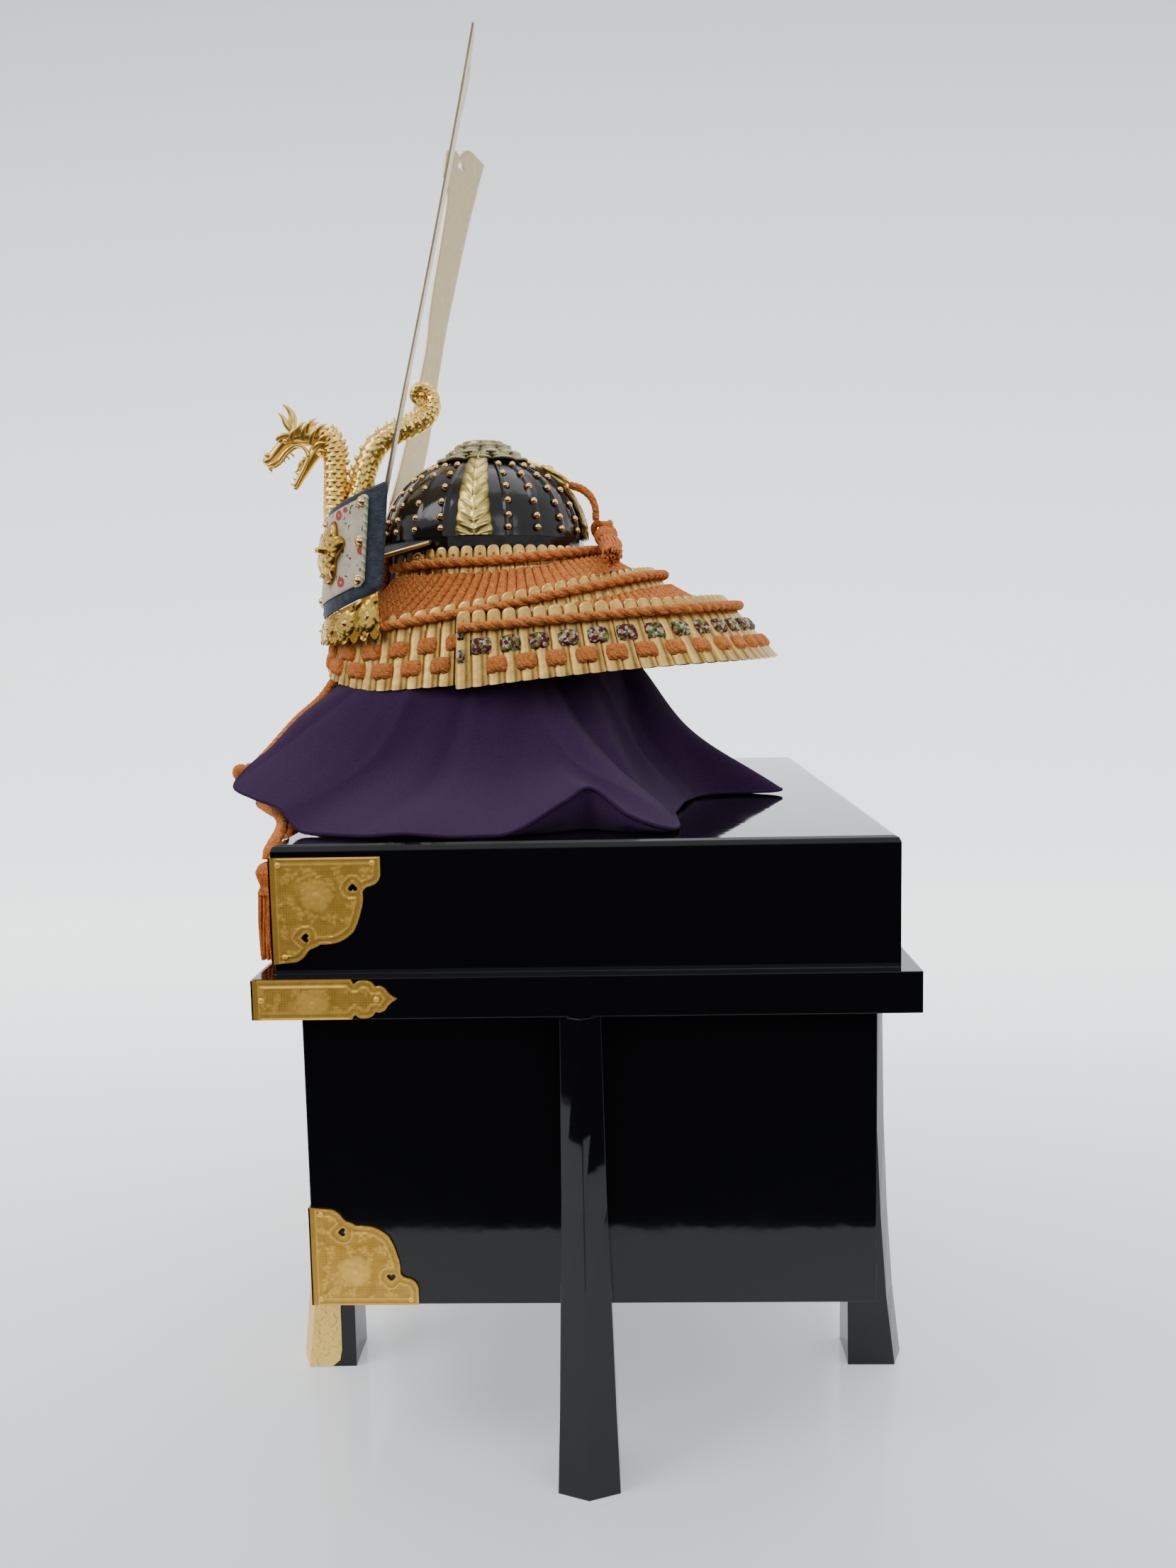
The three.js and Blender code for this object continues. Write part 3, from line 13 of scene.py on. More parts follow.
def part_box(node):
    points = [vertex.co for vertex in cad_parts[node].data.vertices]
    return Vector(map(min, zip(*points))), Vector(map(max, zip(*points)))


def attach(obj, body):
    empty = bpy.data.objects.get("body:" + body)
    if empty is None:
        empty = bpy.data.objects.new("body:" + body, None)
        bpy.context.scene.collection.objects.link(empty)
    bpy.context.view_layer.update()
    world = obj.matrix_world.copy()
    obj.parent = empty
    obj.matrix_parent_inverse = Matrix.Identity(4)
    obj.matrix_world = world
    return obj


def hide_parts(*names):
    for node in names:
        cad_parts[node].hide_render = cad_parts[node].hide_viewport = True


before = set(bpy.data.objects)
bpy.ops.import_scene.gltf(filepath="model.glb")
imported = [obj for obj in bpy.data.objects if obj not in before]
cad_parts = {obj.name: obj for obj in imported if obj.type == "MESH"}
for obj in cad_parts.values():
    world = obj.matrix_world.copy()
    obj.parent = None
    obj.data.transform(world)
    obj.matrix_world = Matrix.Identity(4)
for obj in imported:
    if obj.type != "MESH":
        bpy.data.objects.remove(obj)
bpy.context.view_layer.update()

# Camera: it stands a little off the wearer's left side, just under the height of the helmet, and looks
# slightly down and across. The lens follows from the perspective of the chest in the photograph.
CAMERA_PLACE = Vector((0.832, 0.0374, 0.412))
CAMERA_YAW = -0.0333
CAMERA_PITCH = 0.107
CAMERA_ROLL = -0.021
LENS_MM = 30.27
SENSOR_MM = 36.0

forward = Vector((
    -math.cos(CAMERA_YAW) * math.cos(CAMERA_PITCH),
    math.sin(CAMERA_YAW) * math.cos(CAMERA_PITCH),
    -math.sin(CAMERA_PITCH),
))
level_right = forward.cross(Vector((0, 0, 1))).normalized()
level_up = level_right.cross(forward)
right = level_right * math.cos(CAMERA_ROLL) + level_up * math.sin(CAMERA_ROLL)
up = level_up * math.cos(CAMERA_ROLL) - level_right * math.sin(CAMERA_ROLL)
camera_data = bpy.data.cameras.new("camera")
camera_data.lens = LENS_MM
camera_data.sensor_width = SENSOR_MM
camera = bpy.data.objects.new("camera", camera_data)
camera.matrix_world = Matrix((
    (right.x, up.x, -forward.x, CAMERA_PLACE.x),
    (right.y, up.y, -forward.y, CAMERA_PLACE.y),
    (right.z, up.z, -forward.z, CAMERA_PLACE.z),
    (0, 0, 0, 1),
))
bpy.context.scene.collection.objects.link(camera)
bpy.context.scene.camera = camera

# Studio: a white seamless paper sweep, lit by a large soft light over the left, a weaker one over the
# right and one from above, and glowing by itself with a painted glow that is strongest low at the back.
# The paper ends just under the view and the room before it is dark, so that the lacquer stays black above
# the bright band that it mirrors from the floor.
FLOOR_COLOUR = (0.82, 0.84, 0.86)
GLOW_COLOUR = (0.97, 0.99, 1, 1)
# From the first place to the second the glow goes from the third value to the fourth: BACK_GLOW over x,
# HIGH_FADE over z, and ROOM_FALL over the sine of the angle above the horizon.
BACK_GLOW = (-0.8, 0.45, 1.25, 0.07)
HIGH_FADE = (0.4, 2.1, 1.0, 0.25)
SWEEP_START = -1.1
SWEEP_RADIUS = 1.6
SWEEP_HALF = 5.0
ROOM_COLOUR = (0.86, 0.89, 0.93, 1)
ROOM_FALL = (-0.04, 0.12, 0.03, 1.08)
SWEEP_END = 0.47
SWEEP_TOP = 5.0
LIGHTS = [
    # name, place, aimed at, size, power
    ("key", (0.75, -1.25, 1.75), (0, 0, 0.45), 0.9, 14),
    ("fill", (1.3, 0.9, 1.1), (0, 0, 0.4), 0.7, 3),
    ("top", (-0.3, 0.3, 1.9), (0, 0, 0.4), 1.2, 7),
]


def finish(name, colour, roughness=0.5, metallic=0.0, **sockets):
    """A principled material; sockets are other inputs of the shader, by name with _ for a space."""
    material = bpy.data.materials.new(name)
    material.use_nodes = True
    shader = material.node_tree.nodes["Principled BSDF"]
    shader.inputs["Base Color"].default_value = (*colour, 1)
    shader.inputs["Roughness"].default_value = roughness
    shader.inputs["Metallic"].default_value = metallic
    for socket, value in sockets.items():
        shader.inputs[socket.replace("_", " ")].default_value = value
    return material


def node(material, kind, inputs=None, **settings):
    """One more node in a material. inputs maps a socket name or number to a value or to a link."""
    tree = material.node_tree
    made = tree.nodes.new(kind)
    for key, value in settings.items():
        setattr(made, key, value)
    for key, value in (inputs or {}).items():
        if isinstance(value, bpy.types.NodeSocket):
            tree.links.new(value, made.inputs[key])
        else:
            made.inputs[key].default_value = value
    return made


def lead(material, output, socket):
    """Joins an output to an input of the material's shader."""
    shader = material.node_tree.nodes["Principled BSDF"]
    material.node_tree.links.new(output, shader.inputs[socket])


def place(material, source="Object"):
    """The coordinates that a pattern is laid out in."""
    return node(material, "ShaderNodeTexCoord").outputs[source]


def ramp(material, value, low, high, dark, light):
    """A colour that goes from dark to light as value goes from low to high."""
    made = node(material, "ShaderNodeValToRGB", {0: value})
    made.color_ramp.elements[0].position = low
    made.color_ramp.elements[1].position = high
    made.color_ramp.elements[0].color = (*dark, 1)
    made.color_ramp.elements[1].color = (*light, 1)
    return made.outputs[0]


def noise(material, where, scale, detail=4.0, roughness=0.55):
    """Cloudy noise, scale in blotches per metre."""
    return node(material, "ShaderNodeTexNoise", {
        "Vector": where, "Scale": scale, "Detail": detail, "Roughness": roughness}).outputs[0]


def math_of(material, operation, first, second):
    """One step of arithmetic on two values."""
    return node(material, "ShaderNodeMath", {0: first, 1: second}, operation=operation).outputs[0]


def ranged(material, value, low, high, to_low, to_high):
    """A value carried in proportion from the range low to high to the range to_low to to_high."""
    return node(material, "ShaderNodeMapRange", {0: value, 1: low, 2: high, 3: to_low, 4: to_high}).outputs[0]


def bump(material, height, depth, normal=None):
    """Fine relief of that depth in metres under the shader's normal."""
    inputs = {"Height": height, "Distance": depth, "Strength": 1.0}
    if normal is not None:
        inputs["Normal"] = normal
    out = node(material, "ShaderNodeBump", inputs).outputs[0]
    lead(material, out, "Normal")
    return out


def sheet_mesh(name, corners, faces, material):
    """A smooth sheet of four-cornered faces."""
    mesh = bpy.data.meshes.new(name)
    mesh.from_pydata(corners, [], faces)
    mesh.materials.append(material)
    mesh.shade_smooth()
    made = bpy.data.objects.new(name, mesh)
    bpy.context.scene.collection.objects.link(made)
    return made


paper = finish("glowing_paper_sweep", FLOOR_COLOUR, 0.12, Specular_IOR_Level=0.5, Emission_Color=GLOW_COLOUR)
paper_x, _, paper_z = node(paper, "ShaderNodeSeparateXYZ", {0: place(paper)}).outputs
# Painted glow: the paper emits light of its own, strongest low at the back and fading towards the front and
# upwards.
glow = math_of(paper, "MULTIPLY", ranged(paper, paper_x, *BACK_GLOW), ranged(paper, paper_z, *HIGH_FADE))
lead(paper, glow, "Emission Strength")
bend = np.radians(np.linspace(0, 90, 49))
curve = np.stack([SWEEP_START - SWEEP_RADIUS * np.sin(bend), SWEEP_RADIUS * (1 - np.cos(bend))], axis=1)
profile = np.vstack([[[SWEEP_END, 0.0]], curve, [[SWEEP_START - SWEEP_RADIUS, SWEEP_TOP]]])
corners = [(x, y, z) for y in (-SWEEP_HALF, SWEEP_HALF) for x, z in profile]
strips = [(k, k + 1, k + 1 + len(profile), k + len(profile)) for k in range(len(profile) - 1)]
sheet_mesh("sweep", corners, strips, paper)
world = bpy.data.worlds.new("studio")
bpy.context.scene.world = world
world.use_nodes = True
room = world.node_tree
gaze = node(world, "ShaderNodeSeparateXYZ", {0: place(world, "Generated")})
room.links.new(ranged(world, gaze.outputs[2], *ROOM_FALL), room.nodes["Background"].inputs[1])
room.nodes["Background"].inputs[0].default_value = ROOM_COLOUR
for name, spot, aim, size, power in LIGHTS:
    lamp_data = bpy.data.lights.new(name, "AREA")
    lamp_data.size = size
    lamp_data.energy = power
    lamp = bpy.data.objects.new(name, lamp_data)
    lamp.location = spot
    lamp.rotation_euler = (Vector(aim) - Vector(spot)).to_track_quat("-Z", "Y").to_euler()
    bpy.context.scene.collection.objects.link(lamp)

# Chin cord: a soft twisted cord of rust-orange rayon. It comes from under the brow on both sides, down
# the front of the cloth to a knot, and its two ends hang over the front edge of the lid in tassels.
MM = 0.001
CHIN_RADIUS = 3.2 * MM
CHIN_KNOT_RADIUS = 10 * MM
CHIN_KNOT = np.array([106, -125, -134])
TASSEL_RADIUS = 7 * MM
TASSEL_LENGTH = 50 * MM
ORANGE = (0.50, 0.125, 0.022)
ORANGE_LIT = (0.86, 0.30, 0.075)


def corners_of(name):
    """The low and the high corner of a CAD node."""
    return [np.array(corner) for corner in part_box(name)]


# The bowl's axis at the level of the brow: all places on the helmet are given from it.
bowl_low, bowl_high = corners_of("bowl")
AXIS = np.append((bowl_low + bowl_high)[:2] / 2, bowl_low[2])


def polar(direction, reach, height):
    """A point by direction in degrees and reach round the bowl's axis, and height over the brow."""
    angle = math.radians(direction)
    return [reach * math.cos(angle), reach * math.sin(angle), height]


CHIN_LEFT = [
    polar(-70, 61.6, -6.9), polar(-70, 62.4, -14), polar(-70, 67, -35), polar(-69, 74, -52),
    polar(-66, 92, -74), polar(-60, 108, -92), polar(-55, 127, -104), polar(-52, 146, -119),
    polar(-50.4, 156.6, -126.6),
]
CHIN_RIGHT = [
    polar(-110, 61.6, -6.9), polar(-110, 62.4, -14), polar(-110, 67, -35), polar(-109, 74, -52),
    polar(-105, 90, -74), polar(-93, 91, -92), polar(-80, 97, -106), polar(-68, 113, -118),
    polar(-59, 134, -128), polar(-55, 150, -134),
]
CHIN_END_A = [
    [115, -118.5, -138.5], [130, -108, -143.5], [148, -98, -149], [163, -92, -151.5],
    [174, -90.2, -155], [184, -91.8, -160.5], [187.4, -93, -164], [188, -93.1, -167],
]
CHIN_END_B = [
    [108, -118.5, -148], [121, -108, -151], [134, -98, -152.5], [143, -91.5, -156],
    [149.5, -91.4, -161], [151.6, -91.8, -164], [152, -91.9, -167],
]


def spline_at(points, t, closed=False):
    """Centripetal Catmull-Rom curve through points at t, counted in points from the first."""
    p = np.asarray(points, float)
    if closed:
        t = np.mod(t, len(p))
        p = np.vstack([p[-1:], p, p[:2]])
    else:
        p = np.vstack([2 * p[0] - p[1], p, 2 * p[-1] - p[-2]])
    last = len(p) - 4
    i = np.clip(np.floor(t).astype(int), 0, last)
    w = (np.asarray(t) - i)[..., None]
    a, b, c, d = p[i], p[i + 1], p[i + 2], p[i + 3]
    d0, d1, d2 = (np.sqrt(np.linalg.norm(v - u, axis=-1, keepdims=True)) + 1e-9
                  for u, v in ((a, b), (b, c), (c, d)))
    m1 = ((b - a) / d0 - (c - a) / (d0 + d1) + (c - b) / d1) * d1
    m2 = ((c - b) / d1 - (d - b) / (d1 + d2) + (d - c) / d2) * d1
    return (b + m1 * w + (3 * (c - b) - 2 * m1 - m2) * w ** 2 + (2 * (b - c) + m1 + m2) * w ** 3)


def walk(line):
    """Distance travelled along a line at each of its points: the sum of the steps before it."""
    return np.concatenate([[0], np.cumsum(np.linalg.norm(np.diff(line, axis=0), axis=1))])


def evenly(line, count):
    """The same line with its points at equal distances along it."""
    steps = walk(line)
    at = np.linspace(0, steps[-1], count)
    return np.stack([np.interp(at, steps, line[:, k]) for k in range(line.shape[1])], axis=1)


def length_of(line):
    """Length of a line of points."""
    return float(np.linalg.norm(np.diff(line, axis=0), axis=1).sum())


def unit(vectors):
    """Vectors scaled to length one along their last axis."""
    return vectors / np.maximum(np.linalg.norm(vectors, axis=-1, keepdims=True), 1e-12)


def grid_part(points, wrap_rows=False, wrap_columns=False, caps=False, outward=True):
    """A grid of points, [row][column], as (vertices, quads, uv). The uv runs in metres, along the rows
    and the columns of the grid's middle. caps closes the first and last row with a fan round their
    middles. outward turns a closed part's faces out, by the sign of its volume."""
    rows, columns = points.shape[:2]
    index = np.arange(rows * columns).reshape(rows, columns)
    if wrap_rows:
        index = np.vstack([index, index[:1]])
    if wrap_columns:
        index = np.hstack([index, index[:, :1]])
    quads = np.stack([index[:-1, :-1], index[:-1, 1:], index[1:, 1:], index[1:, :-1]], axis=-1)
    quads = quads.reshape(-1, 4)
    down, along = walk(points[:, columns // 2]), walk(points[rows // 2])
    uv = np.stack(np.broadcast_arrays(along[None, :], down[:, None]), axis=-1).reshape(-1, 2)
    vertices = points.reshape(-1, 3)
    if caps:
        ends = np.stack([points[0].mean(axis=0), points[-1].mean(axis=0)])
        base = len(vertices)
        ring = np.arange(columns)
        after = np.roll(ring, -1)
        first = np.stack([np.full(columns, base), after, ring, np.full(columns, base)], axis=1)
        last_row = (rows - 1) * columns
        last = np.stack([np.full(columns, base + 1), last_row + ring, last_row + after,
                         np.full(columns, base + 1)], axis=1)
        vertices = np.vstack([vertices, ends])
        uv = np.vstack([uv, [[0, 0], [0, down[-1]]]])
        quads = np.vstack([quads, first, last])
    if outward and volume(vertices, quads) < 0:
        quads = quads[:, ::-1]
    return vertices, quads, uv


def volume(vertices, quads):
    """Signed volume inside a closed set of quads: the sum of the tetrahedra to the origin."""
    a, b, c, d = (vertices[quads[:, k]] for k in range(4))
    return float((np.einsum("ij,ij->i", a, np.cross(b, c)) + np.einsum("ij,ij->i", a, np.cross(c, d))).sum())


def wall_part(outer, inner, wrap=False):
    """Two facing grids as one closed wall: out over one, round its edge and back over the other."""
    if wrap:
        return grid_part(np.concatenate([outer, inner[::-1]]), wrap_rows=True, wrap_columns=True)
    rows, columns = outer.shape[:2]
    sides = np.concatenate([outer, inner[::-1]])
    vertices, quads, uv = grid_part(sides, wrap_rows=True, outward=False)
    near = np.stack([np.arange(rows), 2 * rows - 1 - np.arange(rows)], axis=1)
    ends = []
    for column, turn in ((0, 1), (columns - 1, -1)):
        pairs = near * columns + column
        ends.append(np.stack([pairs[:-1, 0], pairs[1:, 0], pairs[1:, 1], pairs[:-1, 1]], axis=1)[:, ::turn])
    quads = np.vstack([quads, *ends])
    if volume(vertices, quads) < 0:
        quads = quads[:, ::-1]
    return vertices, quads, uv


def piece(name, parts, material, replaced=(), smooth=35, body="root"):
    """Joins parts into one object, gives it its finish, and lets it ride on the model's body."""
    vertices, quads, uvs, tones = [], [], [], []
    count = 0
    for part in parts:
        vertices.append(part[0])
        quads.append(part[1] + count)
        uvs.append(part[2])
        tones.append(part[3] if len(part) > 3 else np.ones(len(part[0])))
        count += len(part[0])
    vertices, quads, uvs = np.vstack(vertices), np.vstack(quads), np.vstack(uvs)
    is_fan = quads[:, 0] == quads[:, 3]
    corners = [quads[~is_fan].ravel(), quads[is_fan][:, :3].ravel()]
    sizes = np.concatenate([np.full((~is_fan).sum(), 4), np.full(is_fan.sum(), 3)])
    loops = np.concatenate(corners).astype(np.int32)
    mesh = bpy.data.meshes.new(name)
    mesh.vertices.add(len(vertices))
    mesh.vertices.foreach_set("co", vertices.astype(np.float32).ravel())
    mesh.loops.add(len(loops))
    mesh.loops.foreach_set("vertex_index", loops)
    mesh.polygons.add(len(sizes))
    starts = np.concatenate([[0], np.cumsum(sizes)[:-1]]).astype(np.int32)
    mesh.polygons.foreach_set("loop_start", starts)
    mesh.update(calc_edges=True)
    layer = mesh.uv_layers.new(name="surface")
    layer.data.foreach_set("uv", uvs[loops].astype(np.float32).ravel())
    tone = mesh.attributes.new("tone", "FLOAT", "POINT")
    tone.data.foreach_set("value", np.concatenate(tones).astype(np.float32))
    mesh.materials.append(material)
    mesh.shade_smooth()
    mesh.set_sharp_from_angle(angle=math.radians(smooth))
    mesh.validate()
    made = bpy.data.objects.new(name, mesh)
    bpy.context.scene.collection.objects.link(made)
    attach(made, body)
    if replaced:
        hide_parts(*replaced)
    return made


def across_frames(line, reference=(0, 0, 1)):
    """Two unit vectors square to a line at each of its points, and its tangent."""
    tangent = unit(np.gradient(line, axis=0))
    side = np.cross(np.asarray(reference, float), tangent)
    weak = np.linalg.norm(side, axis=1) < 0.05
    side[weak] = np.cross([0.0, 1.0, 0.0], tangent[weak])
    side = unit(side)
    return side, np.cross(tangent, side), tangent


def round_about(side, other, angle):
    """Unit vectors round a line: its side at angle 0 and its other square direction a quarter turn on."""
    return np.cos(angle)[..., None] * side[:, None] + np.sin(angle)[..., None] * other[:, None]


def cord_part(line, radius, pitch, strands=3, depth=0.16, sides=20, reference=(0, 0, 1), taper=False):
    """A twisted cord along a line: round sections whose radius dips between the strands, and the dips
    turn once round in a pitch. taper closes both ends to a dome."""
    side, other, _ = across_frames(line, reference)
    travelled = walk(line)
    angle = np.linspace(0, 2 * np.pi, sides, endpoint=False)[None, :]
    turn = 2 * np.pi * travelled[:, None] / pitch
    lobes = np.abs(np.sin(strands * (angle - turn) / 2 + 0.4)) ** 0.7
    size = radius * (1 - depth + depth * lobes)
    if taper:
        from_end = np.minimum(travelled, travelled[-1] - travelled)[:, None] / radius
        size = size * np.sqrt(np.clip(1 - (1 - np.clip(from_end, 0.04, 1)) ** 2, 0, 1))
    ring = round_about(side, other, angle)
    return grid_part(line[:, None] + size[..., None] * ring, wrap_columns=True, caps=True)


def orange_thread(name, ribs=1000):
    """Rayon thread: rust orange, paler in random blotches, with fine threads over soft fuzz."""
    material = finish(name, ORANGE, 0.9, Sheen_Weight=0.08, Specular_IOR_Level=0.1)
    where = place(material)
    blotch = noise(material, where, 420, 5, 0.7)
    lead(material, ramp(material, blotch, 0.3, 0.72, ORANGE, ORANGE_LIT), "Base Color")
    fuzz = noise(material, where, ribs, 3, 0.7)
    threads = node(material, "ShaderNodeTexWave", {
        "Vector": where, "Scale": ribs / 6, "Distortion": 5.0, "Detail": 2.0, "Detail Scale": 3.0},
        wave_type="BANDS", bands_direction="DIAGONAL").outputs[1]
    mixed = node(material, "ShaderNodeMath", {0: fuzz, 1: threads}, operation="ADD").outputs[0]
    bump(material, mixed, 0.0006)
    return material


orange_cord = orange_thread("orange_cord")


def row_line(points, count):
    """A cord's route, given in millimetres round the bowl's axis, as an even line in the row frame."""
    points = np.array(points) * MM + AXIS
    return evenly(spline_at(points, np.linspace(0, len(points) - 1, 300)), count)


def tassel_parts(line, radius, threads=44, waist=0.24, loose_threads=90, thread_radius=0.75 * MM):
    """A tassel along a line: a head of wound thread with a tied neck, ridged once for each thread, and
    from the neck on a skirt of single threads, spread evenly over its round and a little unequal in
    length, each with a slow sideways swing of its own."""
    travelled = np.linspace(0, 1, len(line))[:, None]
    stations = [0, 0.03, 0.1, 0.17, waist, 0.32, 0.6, 1]
    girths = [0.3, 0.72, 0.98, 0.85, 0.66, 0.9, 0.98, 0.93]
    girth = np.interp(travelled[:, 0], stations, girths)[:, None]
    sides = threads * 4
    angle = np.linspace(0, 2 * np.pi, sides, endpoint=False)[None, :]
    wander = 0.35 * np.sin(3 * angle + 7 * travelled) * travelled
    ridge = 1 - 0.05 * (1 - np.abs(np.sin(threads * (angle + 0.05 * wander) / 2)))
    locks = 1 - 0.06 * np.abs(np.sin(5 * angle / 2 + 1.5 * travelled)) * np.clip(travelled - waist, 0, 1)
    side, other, _ = across_frames(line)
    ring = round_about(side, other, angle)
    size = radius * girth * ridge * locks
    head = int(len(line) * (waist + 0.1))
    parts = [grid_part((line[:, None] + size[..., None] * ring)[:head], wrap_columns=True, caps=True)]
    rng = np.random.default_rng(len(line))
    loose = int(len(line) * waist)
    pentagon = np.linspace(0, 2 * np.pi, 5, endpoint=False)[None, :]
    for _ in range(loose_threads):
        far, at = 0.86 * radius * math.sqrt(rng.uniform()), rng.uniform(0, 2 * np.pi)
        last = len(line) - int(rng.uniform(0, 0.07) * len(line))
        turn = at + 0.5 * np.sin(rng.uniform(0, 6) + 3 * travelled[loose:last]) * travelled[loose:last]
        middle = line[loose:last] + far * girth[loose:last] * (
            np.cos(turn) * side[loose:last] + np.sin(turn) * other[loose:last])
        tube = middle[:, None] + thread_radius * round_about(side[loose:last], other[loose:last], pentagon)
        parts.append(grid_part(tube[::2], wrap_columns=True, caps=True))
    return parts


def knot_parts(centre, size, radius, turns=3):
    """A tied knot: a closed cord that goes twice round a small ball while it swings in and out and up
    and down in turns waves, so that its loops cross."""
    t = np.linspace(0, 2 * np.pi, 240, endpoint=False)
    wide = size - radius
    line = np.stack([
        wide * np.cos(2 * t) * (0.62 + 0.38 * np.cos(turns * t)),
        wide * np.sin(2 * t) * (0.62 + 0.38 * np.cos(turns * t)),
        0.72 * wide * np.sin(turns * t),
    ], axis=1) + centre
    tangent = unit(np.roll(line, -1, 0) - np.roll(line, 1, 0))
    outward = unit(line - centre)
    side = unit(np.cross(tangent, outward))
    other = np.cross(tangent, side)
    angle = np.linspace(0, 2 * np.pi, 14, endpoint=False)[None, :]
    lobes = np.abs(np.sin(1.5 * angle - 30 * t[:, None])) ** 0.7
    girth = radius * (0.85 + 0.15 * lobes)
    ring = round_about(side, other, angle)
    return [grid_part(line[:, None] + girth[..., None] * ring, wrap_rows=True, wrap_columns=True)]


HANDS = (("left", 1), ("right", -1))
chin_knot = piece("chin_knot_tied", knot_parts(CHIN_KNOT * MM + AXIS, CHIN_KNOT_RADIUS, CHIN_RADIUS),
                  orange_cord, ["chin_knot"])
for hand, points in (("left", CHIN_LEFT), ("right", CHIN_RIGHT)):
    line = row_line(points, 160)
    cord = piece(f"chin_cord_{hand}_twisted", [cord_part(line, CHIN_RADIUS, 14 * MM)],
                 orange_cord, [f"chin_cord_{hand}"])
for end_name, points in (("a", CHIN_END_A), ("b", CHIN_END_B)):
    line = row_line(points, 90)
    cord = piece(f"chin_end_{end_name}_twisted", [cord_part(line, CHIN_RADIUS, 14 * MM)],
                 orange_cord, [f"chin_end_{end_name}"])
    top = line[-1] - [0, 0, 1.2 * MM]
    hang = top - np.linspace(0, 1, 70)[:, None] * [0, 0, TASSEL_LENGTH]
    tassel = piece(f"chin_tassel_{end_name}_threads", tassel_parts(hang, TASSEL_RADIUS),
                   orange_cord, [f"chin_tassel_{end_name}"])

# Rear cord: two thinner strands of the same rayon, from the ring on the back of the bowl to a knot on the
# neck guard, with a thread tassel laid over the guard towards the wearer's left.
REAR_RADIUS = 2.2 * MM
REAR_KNOT = np.array([0, 74, 5.4])
REAR_KNOT_RADIUS = 9 * MM
REAR_STRAND = [[3, 53.3, 34.3], [4.6, 60.5, 31.8], [5.8, 66.2, 26.8], [6.2, 69, 19.6], [5.9, 69, 12.6]]
REAR_TASSEL = [
    [9.6, 75, 3], [13, 75, 2], [19, 75, 0], [25, 76, -2], [33, 77, -4], [48, 79, -7.4],
    [62, 80, -11.6], [72, 79, -15.6],
]
rear_knot = piece("rear_knot_tied", knot_parts(REAR_KNOT * MM + AXIS, REAR_KNOT_RADIUS, REAR_RADIUS),
                  orange_cord, ["rear_knot"])
rear_tassel = piece("rear_tassel_threads", tassel_parts(row_line(REAR_TASSEL, 80), TASSEL_RADIUS),
                    orange_cord, ["rear_tassel"])
for hand, sign in HANDS:
    line = row_line(np.array(REAR_STRAND) * [sign, 1, 1], 60)
    cord = piece(f"rear_cord_{hand}_twisted", [cord_part(line, REAR_RADIUS, 9 * MM)],
                 orange_cord, [f"rear_cord_{hand}"])

# Chest: boards under many coats of black lacquer, rubbed to a mirror, with edges just broken. The lid
# with its rim drops over the box, and the six splayed legs of the same lacquer are fixed to its sides.
LACQUER = (0.0035, 0.0035, 0.0045)


def dress(names, material):
    """Gives CAD nodes their finish."""
    for name in names:
        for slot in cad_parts[name].material_slots:
            slot.material = material


def soft_edges(material, radius, samples=4):
    """Rounds the light on sharp edges, as a hand-rubbed edge does."""
    return node(material, "ShaderNodeBevel", {"Radius": radius}, samples=samples).outputs[0]


lacquer = finish("black_lacquer", LACQUER, 0.05, Specular_IOR_Level=0.42)
lacquer_where = place(lacquer)
smears = noise(lacquer, lacquer_where, 9, 6, 0.6)
lead(lacquer, ranged(lacquer, smears, 0.35, 0.75, 0.03, 0.09), "Roughness")
bump(lacquer, noise(lacquer, lacquer_where, 55, 2), 0.00006, soft_edges(lacquer, 0.0009))
dress(["chest_box", "chest_lid"] + [f"leg_{corner}_{hand}" for corner in ("front", "back", "side")
                                   for hand, _ in HANDS], lacquer)


# Corner fittings: thin brass sheet, gilt, chased with a peony among scrolling leaves on a beaded ground.
# Each is folded round a front corner of the lid, its rim or the box and held by small round nails.
def strokes(discs, x, y):
    """Height of a drawing made of round strokes at points x, y: the highest of all domes there. Each
    disc is its centre, its radius and the height of its dome."""
    height = np.zeros(x.shape)
    for cx, cy, r, h in discs:
        near = (np.abs(x - cx) < r) & (np.abs(y - cy) < r)
        if near.any():
            away = ((x[near] - cx) ** 2 + (y[near] - cy) ** 2) / (r * r)
            height[near] = np.maximum(height[near], h * np.sqrt(np.clip(1 - away, 0, 1)))
    return height


def scrolls(rng, width, height, step, size):
    """Discs of a scrolling vine that fills a field: on a jittered grid each stem curls inwards like a
    spiral and throws a leaf of three lobes to alternate sides."""
    discs = []
    for cx in np.arange(step / 2, width + step / 2, step):
        for cy in np.arange(step / 2, height + step / 2, step):
            x = cx + rng.uniform(-0.25, 0.25) * step
            y = cy + rng.uniform(-0.25, 0.25) * step
            heading = rng.uniform(0, 2 * np.pi)
            curl = rng.choice([-1, 1]) * rng.uniform(0.22, 0.4)
            for k in range(14):
                girth = size * (0.62 - 0.025 * k)
                discs.append((x, y, girth, girth))
                if k % 3 == 1:
                    side = heading + (1.1 if k % 2 else -1.1)
                    for lobe in range(4):
                        reach = size * (0.7 + 0.55 * lobe)
                        leaf = size * (0.85 - 0.17 * lobe)
                        discs.append((x + reach * math.cos(side), y + reach * math.sin(side),
                                      leaf, 0.9 * leaf))
                x += 0.6 * size * math.cos(heading)
                y += 0.6 * size * math.sin(heading)
                heading += curl
                curl *= 1.06
    return discs


